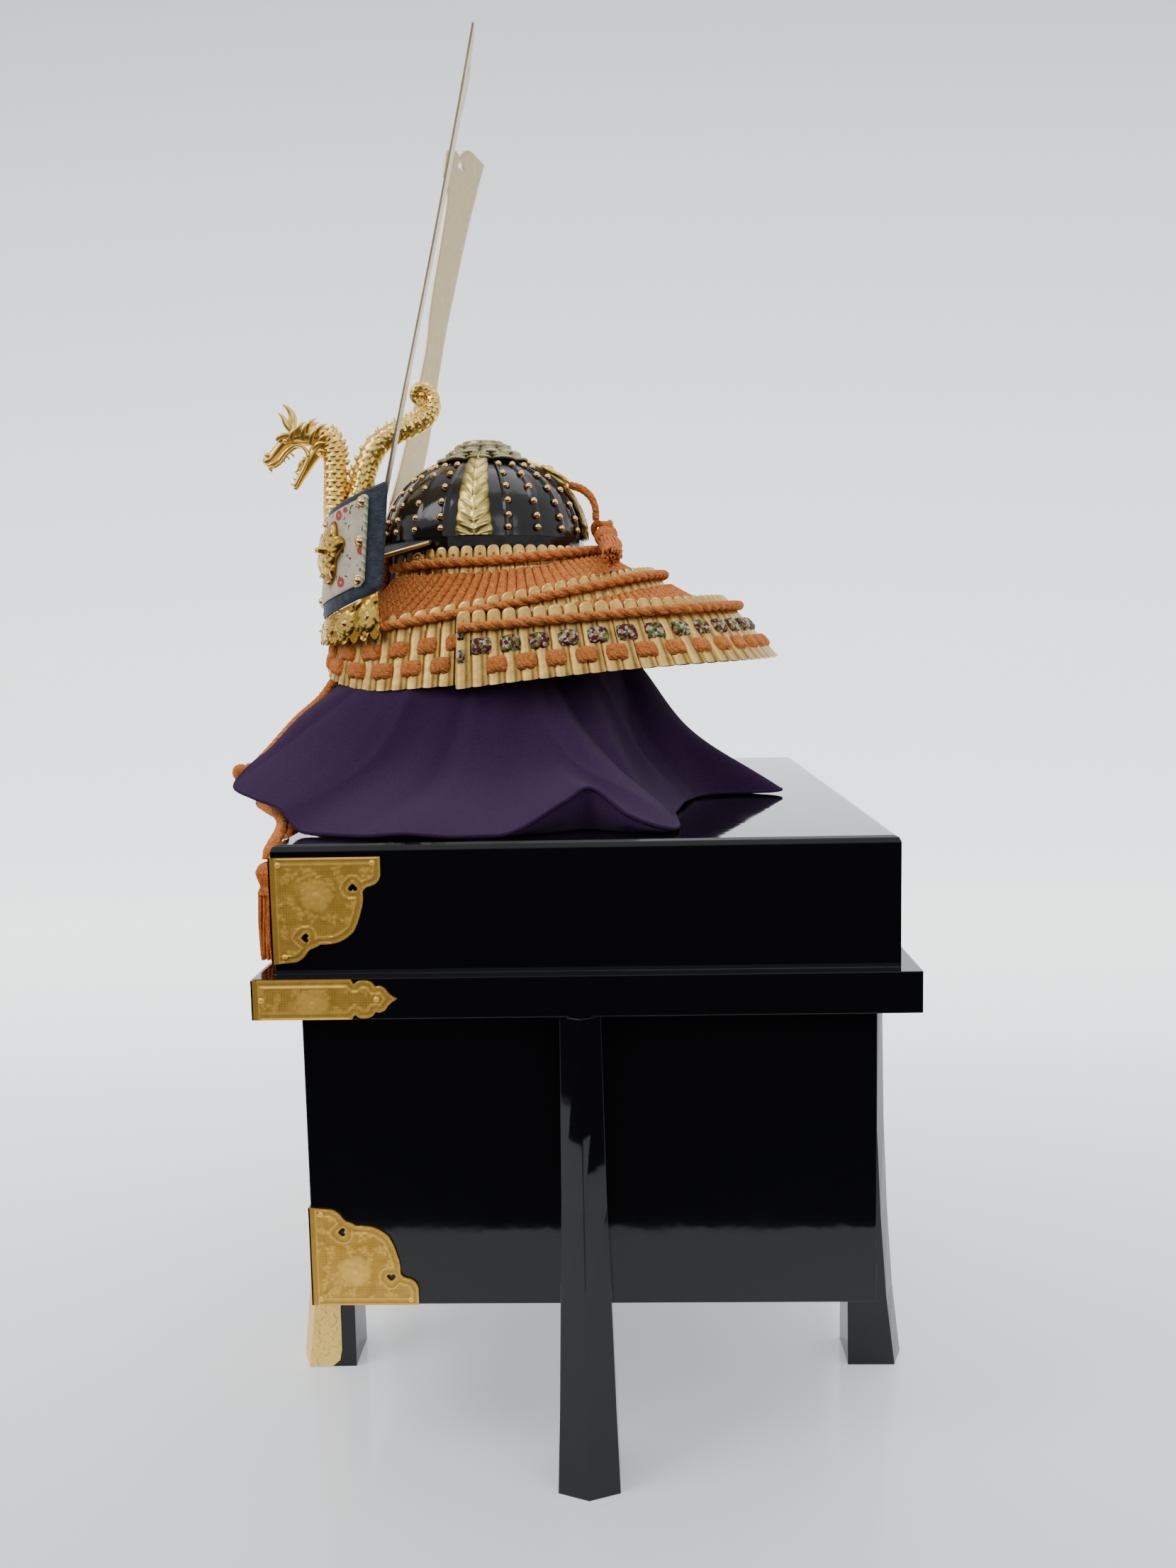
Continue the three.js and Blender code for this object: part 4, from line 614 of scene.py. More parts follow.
def rosette(cx, cy, radius, petals=5, turn=0.0, tiers=3):
    """Discs of an open peony: tiers of notched petals round a boss of small beads."""
    discs = []
    for tier in range(tiers):
        ring = radius * (0.72 - 0.24 * tier)
        size = radius * (0.36 - 0.07 * tier)
        for k in range(petals):
            at = turn + 2 * np.pi * (k + 0.5 * (tier % 2)) / petals
            for part in (-0.3, 0, 0.3):
                discs.append((cx + ring * math.cos(at + part), cy + ring * math.sin(at + part),
                              size * (1 - 0.35 * abs(part)), size * (0.75 + 0.3 * tier)))
    for k in range(6):
        at = 2 * np.pi * k / 6
        discs.append((cx + 0.1 * radius * math.cos(at), cy + 0.1 * radius * math.sin(at),
                      0.1 * radius, 0.75 * radius))
    return discs


def to_outline(points, outline):
    """Signed distance to a closed outline, positive inside, and the nearest point on it."""
    ends = np.roll(outline, -1, axis=0)
    best = np.full(len(points), np.inf)
    nearest = np.zeros_like(points)
    inside = np.zeros(len(points), bool)
    for a, b in zip(outline, ends):
        along = b - a
        share = np.clip(((points - a) @ along) / max(along @ along, 1e-12), 0, 1)
        foot = a + share[:, None] * along
        away = np.linalg.norm(points - foot, axis=1)
        closer = away < best
        best[closer] = away[closer]
        nearest[closer] = foot[closer]
        crosses = (a[1] > points[:, 1]) != (b[1] > points[:, 1])
        if crosses.any():
            at = a[0] + (points[:, 1] - a[1]) / (b[1] - a[1] if b[1] != a[1] else 1e-12) * along[0]
            inside ^= crosses & (points[:, 0] < at)
    return np.where(inside, best, -best), nearest


def cut_plate(outline, holes, cell, put, thickness, relief=None, dome=0.0):
    """A plate of any outline with holes. A grid of cells covers it; grid points near an edge move onto
    it, cells outside go, and the front and back are joined by walls. put(x, y, out) gives the place of
    a flat point; relief(x, y, inward) its height over the front, with its distance from the edge."""
    outline = np.asarray(outline, float)
    low, high = outline.min(axis=0) - cell, outline.max(axis=0) + cell
    columns = int(np.ceil((high[0] - low[0]) / cell)) + 1
    rows = int(np.ceil((high[1] - low[1]) / cell)) + 1
    x, y = np.meshgrid(low[0] + cell * np.arange(columns), low[1] + cell * np.arange(rows))
    flat = np.stack([x.ravel(), y.ravel()], axis=1)
    inward, nearest = to_outline(flat, outline)
    for hole in holes:
        from_hole, on_hole = to_outline(flat, np.asarray(hole, float))
        closer = -from_hole < inward
        inward = np.where(closer, -from_hole, inward)
        nearest[closer] = on_hole[closer]
    snap = np.abs(inward) < 0.62 * cell
    flat[snap] = nearest[snap]
    inward = np.where(snap, 0, inward)
    index = np.arange(rows * columns).reshape(rows, columns)
    quads = np.stack([index[:-1, :-1], index[:-1, 1:], index[1:, 1:], index[1:, :-1]], -1).reshape(-1, 4)
    outside = inward[quads] < 0
    whole = quads[~outside.any(axis=1)]
    cut = quads[outside.sum(axis=1) == 1]
    gone = np.argmax(outside[outside.sum(axis=1) == 1], axis=1)
    turn = (np.arange(4)[None] + gone[:, None] + 1) % 4
    fans = np.take_along_axis(cut, turn, axis=1)
    fans[:, 3] = fans[:, 0]
    quads = np.vstack([whole, fans])
    used, quads = np.unique(quads, return_inverse=True)
    quads = quads.reshape(-1, 4)
    flat, inward = flat[used], np.maximum(inward[used], 0)
    height = np.zeros(len(flat)) if relief is None else relief(flat[:, 0], flat[:, 1], inward)
    edge = 1 - np.sqrt(np.clip(1 - (1 - np.clip(inward / max(dome, 1e-9), 0, 1)) ** 2, 0, 1)) if dome else 0
    front = put(flat[:, 0], flat[:, 1], thickness + height - dome * edge)
    back = put(flat[:, 0], flat[:, 1], np.zeros(len(flat)))
    edges = np.concatenate([quads[:, [k, (k + 1) % 4]] for k in range(4)])
    edges = edges[edges[:, 0] != edges[:, 1]]
    count = len(flat)
    codes = edges[:, 0].astype(np.int64) * count + edges[:, 1]
    lone = edges[~np.isin(codes, edges[:, 1].astype(np.int64) * count + edges[:, 0])]
    is_fan = quads[:, 0] == quads[:, 3]
    under = quads[:, ::-1] + count
    walls = np.stack([lone[:, 1], lone[:, 0], lone[:, 0] + count, lone[:, 1] + count], axis=1)
    vertices = np.vstack([front, back])
    quads = np.vstack([quads[~is_fan], quads[is_fan], under[~is_fan], under[is_fan], walls])
    if volume(vertices, quads) < 0:
        quads = quads[:, ::-1]
    uv = np.vstack([flat, flat])
    # Painted shade and light: the front is toned by its relief height, low on the ground and in hollows and
    # high on raised parts; a plate without relief is low all over, and the back is low.
    scale = max(float(np.max(height)), 1e-9)
    tone = np.concatenate([np.clip(height / scale, 0, 1), np.zeros(count)])
    return vertices, quads, uv, tone


def curved(*spans, steps=8):
    """An outline from straight and quadratic spans: each span is its end, or its control and its end."""
    points = [np.array(spans[0][0], float)]
    for span in spans[1:]:
        if len(span) == 1:
            points.append(np.array(span[0], float))
            continue
        start, control, end = points[-1], np.array(span[0], float), np.array(span[1], float)
        for t in np.linspace(0, 1, steps + 1)[1:]:
            points.append((1 - t) ** 2 * start + 2 * t * (1 - t) * control + t * t * end)
    return np.array(points)


def heart(x, y, size, turn=0.0):
    """A heart-shaped outline: two lobes and a point."""
    t = np.linspace(0, 2 * np.pi, 28, endpoint=False)
    shape = np.stack([16 * np.sin(t) ** 3,
                      13 * np.cos(t) - 5 * np.cos(2 * t) - 2 * np.cos(3 * t) - np.cos(4 * t)], axis=1) / 16
    c, s = math.cos(turn), math.sin(turn)
    return shape @ np.array([[c, s], [-s, c]]) * size + [x, y]


def ball_part(centre, radius, flat=1.0, normal=(0, 0, 1), sides=14, rows=8, depth=0.0):
    """A round head on a surface: half a ball, flattened, whose rim sinks by depth into what it is on."""
    normal = unit(np.asarray(normal, float))
    side = unit(np.cross(normal, [0.31, 0.87, 0.38]))
    other = np.cross(normal, side)
    lift = np.linspace(0, np.pi / 2 * 0.97, rows)
    ring = np.linspace(0, 2 * np.pi, sides, endpoint=False)
    circle = np.cos(ring)[:, None] * side + np.sin(ring)[:, None] * other
    points = (np.asarray(centre) + radius * np.cos(lift)[:, None, None] * circle[None]
              + (radius * flat * np.sin(lift) - depth)[:, None, None] * normal)
    foot = points[:1] - normal * (0.15 * radius)
    return grid_part(np.vstack([foot, points]), wrap_columns=True, caps=True)


def ring_part(centre, radius, wire, normal=(0, 0, 1), sides=22, round_sides=10):
    """A plain ring of round wire."""
    normal = unit(np.asarray(normal, float))
    side = unit(np.cross(normal, [0.31, 0.87, 0.38]))
    other = np.cross(normal, side)
    t = np.linspace(0, 2 * np.pi, sides, endpoint=False)
    out = np.cos(t)[:, None] * side + np.sin(t)[:, None] * other
    a = np.linspace(0, 2 * np.pi, round_sides, endpoint=False)
    points = (np.asarray(centre) + (radius + wire * np.cos(a)[None, :, None]) * out[:, None]
              + wire * np.sin(a)[None, :, None] * normal)
    return grid_part(points, wrap_rows=True, wrap_columns=True)


def with_tone(part, tone):
    """The same part with a value between 0 and 1 at each vertex, for its material."""
    return (*part[:3], np.broadcast_to(tone, len(part[0])))


def toned(name, low, high, roughness, metallic=1.0, grain=500, depth=0.00004, first=0.0, last=1.0):
    """Metal or thread whose colour goes from low to high with the tone of the surface, a little
    clouded, with a fine grain. Where the tone follows relief it is painted shade and light: low in
    hollows and gaps, high on raised parts."""
    material = finish(name, high, roughness, metallic)
    where = place(material)
    tone = node(material, "ShaderNodeAttribute", attribute_name="tone").outputs["Fac"]
    cloud = math_of(material, "ADD", noise(material, where, 220, 5), -0.5)
    value = math_of(material, "ADD", tone, math_of(material, "MULTIPLY", cloud, 0.55))
    lead(material, ramp(material, value, first, last, low, high), "Base Color")
    bump(material, noise(material, where, grain, 4), depth)
    return material


lid_low, lid_high = corners_of("chest_lid")
chest_low, chest_high = corners_of("chest_box")
CHEST_MIDDLE_Y = (lid_low[1] + lid_high[1]) / 2
RIM_REACH = 8.6 * MM
LID_HALF = np.array([lid_high[0] - RIM_REACH, (lid_high[1] - lid_low[1]) / 2 - RIM_REACH])
RIM_HALF = LID_HALF + RIM_REACH
BOX_HALF = np.array([chest_high[0], (chest_high[1] - chest_low[1]) / 2])
FLOOR_GAP = chest_low[2]
LID_TOP = lid_high[2]
RIM_BOTTOM = lid_low[2]
FIT = 0.3 * MM
PLATE = 0.8 * MM
CORNER_SIZE = (54 * MM, 52 * MM)
BOX_CORNER_SIZE = (54 * MM, 51 * MM)
CORNER_DROP = 6 * MM
STRIP_SIZE = (70 * MM, 19.4 * MM)
# The scallop across a corner plate: shares of its width and height from the corner.
SCALLOP = [
    [(0, 0)], [(1, 0)], [(1, 0.16)], [(0.99, 0.25), (0.91, 0.27)], [(0.85, 0.28), (0.835, 0.33)],
    [(0.845, 0.41), (0.818, 0.49)], [(0.79, 0.61), (0.74, 0.7)], [(0.66, 0.78), (0.578, 0.8)],
    [(0.5, 0.815), (0.44, 0.81)], [(0.41, 0.84), (0.353, 0.853)], [(0.32, 0.88), (0.3, 0.92)],
    [(0.26, 0.965), (0.214, 0.978)], [(0.1, 0.985), (0, 1)],
]
CLOUD = [
    [(0, 0)], [(0.69, 0)], [(0.7, 0.12), (0.715, 0.13)], [(0.72, 0.02), (0.78, 0.03)],
    [(0.84, 0.04), (0.85, 0.2)], [(0.88, 0.12), (0.92, 0.24)], [(0.94, 0.36), (0.97, 0.44)],
    [(0.99, 0.48), (1, 0.5)], [(0.99, 0.52), (0.97, 0.56)], [(0.94, 0.64), (0.92, 0.76)],
    [(0.88, 0.88), (0.85, 0.8)], [(0.84, 0.96), (0.78, 0.97)], [(0.72, 0.98), (0.715, 0.87)],
    [(0.7, 0.88), (0.69, 1)], [(0, 1)],
]
# The strip's cloud-shaped end is drawn by CLOUD in the same way. Hearts are given by place and turn,
# nails by place, in shares of the plate.
CORNER_HEARTS = [(0.75, 0.285, 0.0), (0.306, 0.75, -math.pi / 2)]
CORNER_NAILS = [(0.09, 0.066), (0.93, 0.055), (0.12, 0.93)]
STRIP_NAILS = [(0.07, 0.5), (0.86, 0.5)]
PLATE_NAIL = 1.5 * MM
HEART_SIZE = 2.3 * MM
BORDER = 3.4 * MM
FOLD_STRIP = 4.2 * MM
RELIEF_DEPTH = 0.55 * MM


def embossed(size, seed, border=BORDER):
    """The relief of an embossed plate of that size: a raised line along its edges, a beaded border and
    ground, and a peony with scrolling leaves inside; smooth at the fold."""
    rng = np.random.default_rng(seed)
    vines = scrolls(rng, size[0], size[1], 8.5 * MM, 1.25 * MM)
    blooms = rosette(0.42 * size[0], 0.36 * size[1], 8 * MM) + rosette(0.3 * size[0], 0.3 * size[1], 4 * MM)

    def relief(x, y, inward):
        """The highest of beads, leaves and raised lines at a place of the plate."""
        pitch = 1.15 * MM
        beads = np.abs(np.sin(np.pi * x / pitch) * np.sin(np.pi * y / pitch)) * 0.22 * MM
        leaves = np.maximum(0.34 * strokes(vines, x, y), 0.16 * strokes(blooms, x, y))
        field = np.maximum(beads, np.minimum(leaves, RELIEF_DEPTH))
        framed = np.where(inward > border, field, beads * 0.8)
        line = RELIEF_DEPTH * np.exp(-((inward - border) / (0.35 * MM)) ** 2)
        outer = 0.7 * RELIEF_DEPTH * np.exp(-((inward - 0.5 * MM) / (0.4 * MM)) ** 2)
        height = np.maximum(np.maximum(framed, line), outer)
        return np.where(x < FOLD_STRIP, 0.3 * MM * (x > FOLD_STRIP - 0.5 * MM), height)

    return relief


def plate_pair(name, shares, size, half, z, rise, hearts, nails, seed, hand, sign, cell=0.62 * MM):
    """A gilt plate folded round a front corner of the chest: one leaf on the side, its twin on the
    front. Its outline's first axis runs away from the corner, its second up or down from z."""
    outline = curved(*[[np.array(point) * size for point in span] for span in shares])
    holes = [heart(x * size[0], y * size[1], HEART_SIZE, turn) for x, y, turn in hearts]
    lap = FIT + PLATE

    def on_side(x, y, out):
        """The leaf on the chest's side: x goes to the rear, out away from the side."""
        return np.stack([sign * (half[0] + FIT + out), CHEST_MIDDLE_Y - half[1] - lap + x, z + rise * y], -1)

    def on_front(x, y, out):
        """Its twin on the front: x goes inwards, out to the front."""
        return np.stack([sign * (half[0] + lap - x), CHEST_MIDDLE_Y - half[1] - FIT - out, z + rise * y], -1)

    parts = []
    relief = embossed(size, seed)
    for put, normal in ((on_side, (sign, 0, 0)), (on_front, (0, -1, 0))):
        parts.append(cut_plate(outline, holes, cell, put, PLATE, relief))
        for x, y in nails:
            spot = put(np.array(x * size[0]), np.array(y * size[1]), np.array(PLATE + 0.2 * MM))
            parts.append(with_tone(ball_part(spot, PLATE_NAIL, 0.55, normal), 1.0))
    return piece(f"{name}_{hand}_embossed", parts, embossed_gilt, [f"{name}_{hand}"], smooth=50)


embossed_gilt = toned("embossed_gilt", (0.50, 0.27, 0.035), (0.98, 0.58, 0.11), 0.42, metallic=0.6, grain=900,
                      first=-0.15, last=0.75)
for hand, sign in HANDS:
    plate_pair("lid_corner", SCALLOP, CORNER_SIZE, LID_HALF, LID_TOP - CORNER_DROP, -1,
               CORNER_HEARTS, CORNER_NAILS, 11, hand, sign)
    plate_pair("rim_strip", CLOUD, STRIP_SIZE, RIM_HALF, RIM_BOTTOM + FIT, 1, [], STRIP_NAILS, 12, hand, sign)
    plate_pair("box_corner", SCALLOP, BOX_CORNER_SIZE, BOX_HALF, FLOOR_GAP, 1,
               CORNER_HEARTS, CORNER_NAILS, 13, hand, sign)

# Foot sheaths: gilt sheet with leaves in low relief, folded round the ridge of each front leg and held by
# one round-headed nail on each side. A nail sits NAIL_IN inside the sheet's widest place, NAIL_BACK
# behind its middle and NAIL_DOWN below its top.
GILT = (0.93, 0.62, 0.16)
SHEATH_NAIL = 2.1 * MM
NAIL_IN = 2.55 * MM
NAIL_BACK = 3 * MM
NAIL_DOWN = 9 * MM


def cells(material, where, scale, output="Distance"):
    """Scattered cells, scale of them per metre: the distance from the nearest one's middle, or a colour
    for each."""
    return node(material, "ShaderNodeTexVoronoi", {"Vector": where, "Scale": scale}).outputs[output]


smooth_gilt = finish("smooth_gilt", GILT, 0.28, 1.0)
smooth_where = place(smooth_gilt)
lead(smooth_gilt, ramp(smooth_gilt, noise(smooth_gilt, smooth_where, 90, 6), 0.3, 0.7,
                       (0.80, 0.50, 0.12), (0.96, 0.68, 0.22)), "Base Color")
bump(smooth_gilt, noise(smooth_gilt, smooth_where, 600, 4), 0.00003)
sheath_gilt = finish("sheath_gilt", GILT, 0.4, 0.55)
sheath_where = place(sheath_gilt)
sheath_raised = ranged(sheath_gilt, noise(sheath_gilt, sheath_where, 210, 2, 0.4), 0.47, 0.56, 0.0, 1.0)
sheath_ground = math_of(sheath_gilt, "MULTIPLY", cells(sheath_gilt, sheath_where, 800.0), 0.35)
bump(sheath_gilt, math_of(sheath_gilt, "ADD", sheath_raised, sheath_ground), 0.0006)
dress(["foot_sheath_front_left", "foot_sheath_front_right"], sheath_gilt)
sheath_nails = []
for hand, sign in HANDS:
    sheath_low, sheath_high = corners_of(f"foot_sheath_front_{hand}")
    middle_y = (sheath_low[1] + sheath_high[1]) / 2
    for face, out in ((sheath_high[0], 1), (sheath_low[0], -1)):
        spot = [face - out * NAIL_IN, middle_y + NAIL_BACK, sheath_high[2] - NAIL_DOWN]
        sheath_nails.append(ball_part(spot, SHEATH_NAIL, 0.6, (out, 0, 0.03)))
piece("sheath_nails", sheath_nails, smooth_gilt)

# Bowl: twenty tapered plates of black-lacquered iron, each lapped over the next with a standing edge, and
# riveted together in columns between the cast panels; the heads are copper-gold on dark washers.
BOWL_RADIUS = 60.5 * MM
BOWL_HEIGHT = 49 * MM
BOWL_WALL = 2 * MM
CROWN_HOLE = 10 * MM
BOWL_ROWS = np.array([(1, 0), (0.985, 0.2), (0.9, 0.47), (0.72, 0.74), (0.46, 0.93),
                      (CROWN_HOLE / BOWL_RADIUS, 1)])
PLATES = 20
PLATE_STEP = 0.8 * MM
STANDING_EDGE = 0.9 * MM
RIVET = 2.05 * MM
# In each quarter the rivets stand in columns either side of the middle between two panels; the columns
# draw together towards the crown. Places up the bowl are shares of it, angles in radians.
RIVET_COLUMNS = 4
RIVETS_UP = 6
FIRST_RIVET = 0.1
RIVET_STEP = 0.128
COLUMN_ANGLE = 0.305
COLUMN_CLOSING = 0.006


def dome_point(angle, t, out):
    """A point of the bowl: a smooth profile of reach and rise at t, from 0 at the base to 1 at the crown
    hole, moved out square to the profile and turned to an angle round the bowl's axis."""
    def profile(t):
        """Reach and rise at t."""
        return spline_at(BOWL_ROWS * [BOWL_RADIUS, BOWL_HEIGHT], t * (len(BOWL_ROWS) - 1))

    at = profile(t)
    along = unit(profile(np.minimum(t + 0.01, 1)) - profile(np.maximum(t - 0.01, 0)))
    reach = at[..., 0] + out * along[..., 1]
    rise = at[..., 1] - out * along[..., 0]
    return np.stack([reach * np.cos(angle), reach * np.sin(angle), rise + 0 * angle], axis=-1) + AXIS


per_plate = 14
angles = np.linspace(0, 2 * np.pi, PLATES * per_plate, endpoint=False)
share = (np.arange(PLATES * per_plate) % per_plate) / per_plate
lap = PLATE_STEP * (1 - share) + STANDING_EDGE * np.exp(-((share - 0.04) / 0.055) ** 2)
rise = np.linspace(0, 1, 60)
fade = np.clip((1 - rise) * 8, 0, 1)[:, None]
angles, rise = np.meshgrid(angles, rise)
outer = dome_point(angles, rise, lap[None, :] * fade)
inner = dome_point(angles, rise, -BOWL_WALL)
bowl_black = finish("black_iron", (0.006, 0.0055, 0.005), 0.14, Specular_IOR_Level=0.4)
bowl_where = place(bowl_black)
bump(bowl_black, noise(bowl_black, bowl_where, 160, 4), 0.00016)
lead(bowl_black, ramp(bowl_black, noise(bowl_black, bowl_where, 30, 5), 0.35, 0.75,
                      (0.004, 0.004, 0.0045), (0.02, 0.016, 0.012)), "Base Color")
piece("bowl_of_lapped_plates", [wall_part(outer, inner, wrap=True)], bowl_black, ["bowl"])
dress(["base_band"], bowl_black)

rivet_gold = toned("rivet_heads", (0.02, 0.014, 0.01), (0.90, 0.56, 0.22), 0.2)
rivets = []
for quarter in range(4):
    for column in range(RIVET_COLUMNS):
        for row in range(RIVETS_UP):
            t = FIRST_RIVET + RIVET_STEP * row
            off_middle = (column - (RIVET_COLUMNS - 1) / 2) * (COLUMN_ANGLE - COLUMN_CLOSING * row)
            turned = math.pi / 2 * quarter + math.pi / 4 + off_middle
            here = dome_point(np.array(turned), np.array(t), np.array(PLATE_STEP * 0.7))
            above = dome_point(np.array(turned), np.array(t), np.array(PLATE_STEP * 0.7 + MM))
            normal = unit(above - here)
            rivets.append(with_tone(ball_part(here, 1.35 * RIVET, 0.2, normal, rows=5), 0.0))
            rivets.append(with_tone(ball_part(here + 0.35 * MM * normal, RIVET, 1.0, normal), 1.0))
piece("bowl_rivets", rivets, rivet_gold)

# Bowl panels: four cast strips of acanthus leaf, of brass with a green-gold tone, laid up the front, the
# back and both sides of the bowl over the plates' laps. Widths are those at the base and at the top.
PANEL_BASE = 20.3 * MM
PANEL_TOP = 10 * MM
PANEL_WALL = 1.2 * MM
PANEL_REACH = 0.86


def leaf_relief(across, up):
    """Acanthus: a narrow midrib, seven pairs of lobes, each half a sine wave up the strip that slants off
    the rib, and three veins along each lobe; all but the rib die at the sides."""
    rib = np.exp(-(across / 0.07) ** 2)
    wave = up * 7 - 1.1 * np.abs(across) ** 0.8
    lobe = np.abs(np.sin(np.pi * wave)) ** 0.6
    vein = 0.25 * np.abs(np.sin(3 * np.pi * wave + 4 * np.abs(across)))
    curl = 1 - np.abs(across) ** 3
    return np.clip(0.75 * lobe * curl + vein * curl + 0.8 * rib, 0, 1.3)


def panel_part(direction):
    """A cast strip over the bowl: width falls from base to top and its sides follow the leaf's lobes;
    relief stands out of it and dies at its edges."""
    rows, columns = 90, 33
    up = np.linspace(0, 1, rows)[:, None]
    across = np.linspace(-1, 1, columns)[None, :]
    scallops = 1 + 0.09 * np.abs(np.sin(np.pi * (up * 7 - 1.1)))
    width = (PANEL_BASE + (PANEL_TOP - PANEL_BASE) * up) * scallops / 2
    t = up * PANEL_REACH + 0 * across
    reach = np.linalg.norm((dome_point(0 * t, t, 0.0) - AXIS)[..., :2], axis=-1)
    angle = direction + across * width / np.maximum(reach, 12 * MM)
    relief = leaf_relief(across, up)
    seat = PLATE_STEP + FIT
    edge = np.sqrt(np.clip(1 - np.abs(across) ** 6, 0, 1))
    outer = dome_point(angle, t, seat + PANEL_WALL + 1.5 * MM * relief * edge)
    inner = dome_point(angle, t, seat)
    # Painted shade and light: the outer face is toned by its relief, dark between the lobes and light on the
    # lobes, rib and veins; the inner face is dark.
    tone = np.concatenate([relief, 0 * relief[::-1]]).ravel()
    return with_tone(wall_part(outer, inner), tone)


panel_brass = toned("panel_brass", (0.13, 0.085, 0.015), (0.86, 0.68, 0.22), 0.3, first=0.0, last=1.0)
for name, direction in (("left", 0), ("back", math.pi / 2), ("right", math.pi), ("front", -math.pi / 2)):
    piece(f"bowl_panel_{name}_cast", [panel_part(direction)], panel_brass,
          [f"bowl_panel_{name}"], smooth=50)

# Crown ornament: tiers of cast petals and a stepped boss with a greenish patina, set over the hole at the
# top of the bowl and the ends of the panels; painted shade darkens it between the petals and along their
# veins. Rows run from under the rim inwards: reach, height, and how far the petals cut into the round.
CROWN_RADIUS = 29 * MM
CROWN_HEIGHT = 12 * MM
CROWN_ROWS = np.array([
    (0.36, 0.14, 0), (0.7, -0.02, 0.6), (0.96, -0.2, 1), (1, -0.06, 1), (0.9, 0.04, 1), (0.82, 0.12, 0.8),
    (0.8, 0.3, 1), (0.7, 0.42, 1), (0.62, 0.46, 0.8), (0.6, 0.74, 0.5), (0.52, 0.8, 0.3), (0.46, 0.82, 0),
    (0.42, 1, 0), (0.3, 1.02, 0), (0.26, 0.9, 0), (0.12, 0.88, 0),
])
rows = spline_at(CROWN_ROWS, np.linspace(0, len(CROWN_ROWS) - 1, 110))
turn = np.linspace(0, 2 * np.pi, 320, endpoint=False)[None, :]
petals = np.abs(np.cos(5 * turn + np.pi / 2 * (rows[:, 1:2] > 0.22))) ** 0.5
veins = np.abs(np.sin(40 * turn))
reach = rows[:, :1] * (1 - 0.1 * rows[:, 2:3] * (1 - petals) - 0.012 * veins * rows[:, 2:3])
lift = rows[:, 1:2] + 0.12 * rows[:, 2:3] * petals
crown = np.stack([reach * CROWN_RADIUS * np.cos(turn), reach * CROWN_RADIUS * np.sin(turn),
                  BOWL_HEIGHT + FIT + lift * CROWN_HEIGHT], axis=-1) + AXIS
# Painted shade and light: lighter on the petals, darker between them and along their veins.
crown_painted_shade = np.clip(0.35 + 0.65 * petals - 0.25 * veins, 0, 1)
crown_metal = toned("crown_patina_and_shade", (0.07, 0.07, 0.03), (0.50, 0.46, 0.25), 0.36)
piece("crown_petals", [with_tone(grid_part(crown, wrap_columns=True, caps=True),
                                 np.append(crown_painted_shade.ravel(), [0.3, 0.2]))],
      crown_metal, ["crown_ornament"], smooth=50)

# Neck guard: three lames, each a curved sheet pressed to look like a row of narrow scales, and gilt. The
# heads are bullet-shaped with a small hole below. In the tables a direction is in degrees round the
# bowl from the wearer's left; the shares are the heads' flare and drop, then the rim's.
BAND_REACH = 62.7 * MM
FLARE = 116 * MM
DROP = 88 * MM
LAME_WALL = 1 * MM
SCALE_RELIEF = 0.8 * MM
UPPER_ROWS = [
    (-50, 0, 0.1, 0.04, 0.3), (-20, 0, 0.07, 0.036, 0.29), (10, 0, 0.06, 0.036, 0.28),
    (40, 0, 0.06, 0.07, 0.23), (65, 0, 0.06, 0.11, 0.18), (90, 0, 0.06, 0.13, 0.16),
]
MIDDLE_ROWS = [
    (-63, 0.285, 0.6, 0.342, 0.81), (-47.5, 0.355, 0.57, 0.42, 0.92), (-33.5, 0.315, 0.53, 0.39, 0.985),
    (-16.3, 0.22, 0.475, 0.318, 0.975), (14, 0.225, 0.38, 0.315, 0.93), (39.2, 0.3, 0.29, 0.48, 0.84),
    (63.5, 0.33, 0.225, 0.59, 0.73), (90, 0.35, 0.2, 0.61, 0.68),
]
LOWER_ROWS = [
    (-4.5, 0.285, 0.5, 0.352, 0.985), (22.8, 0.37, 0.475, 0.475, 0.92), (39, 0.54, 0.45, 0.665, 0.88),
    (52.4, 0.665, 0.435, 0.86, 0.85), (70, 0.71, 0.415, 0.97, 0.835), (90, 0.72, 0.405, 1.01, 0.83),
]


def guard_point(direction, out, down):
    """A point by direction, reach out of the base band and drop below the brow, before AXIS."""
    angle = np.radians(direction)
    reach = BAND_REACH + np.asarray(out) * FLARE
    return np.stack([reach * np.cos(angle), reach * np.sin(angle), -np.asarray(down) * DROP], axis=-1)


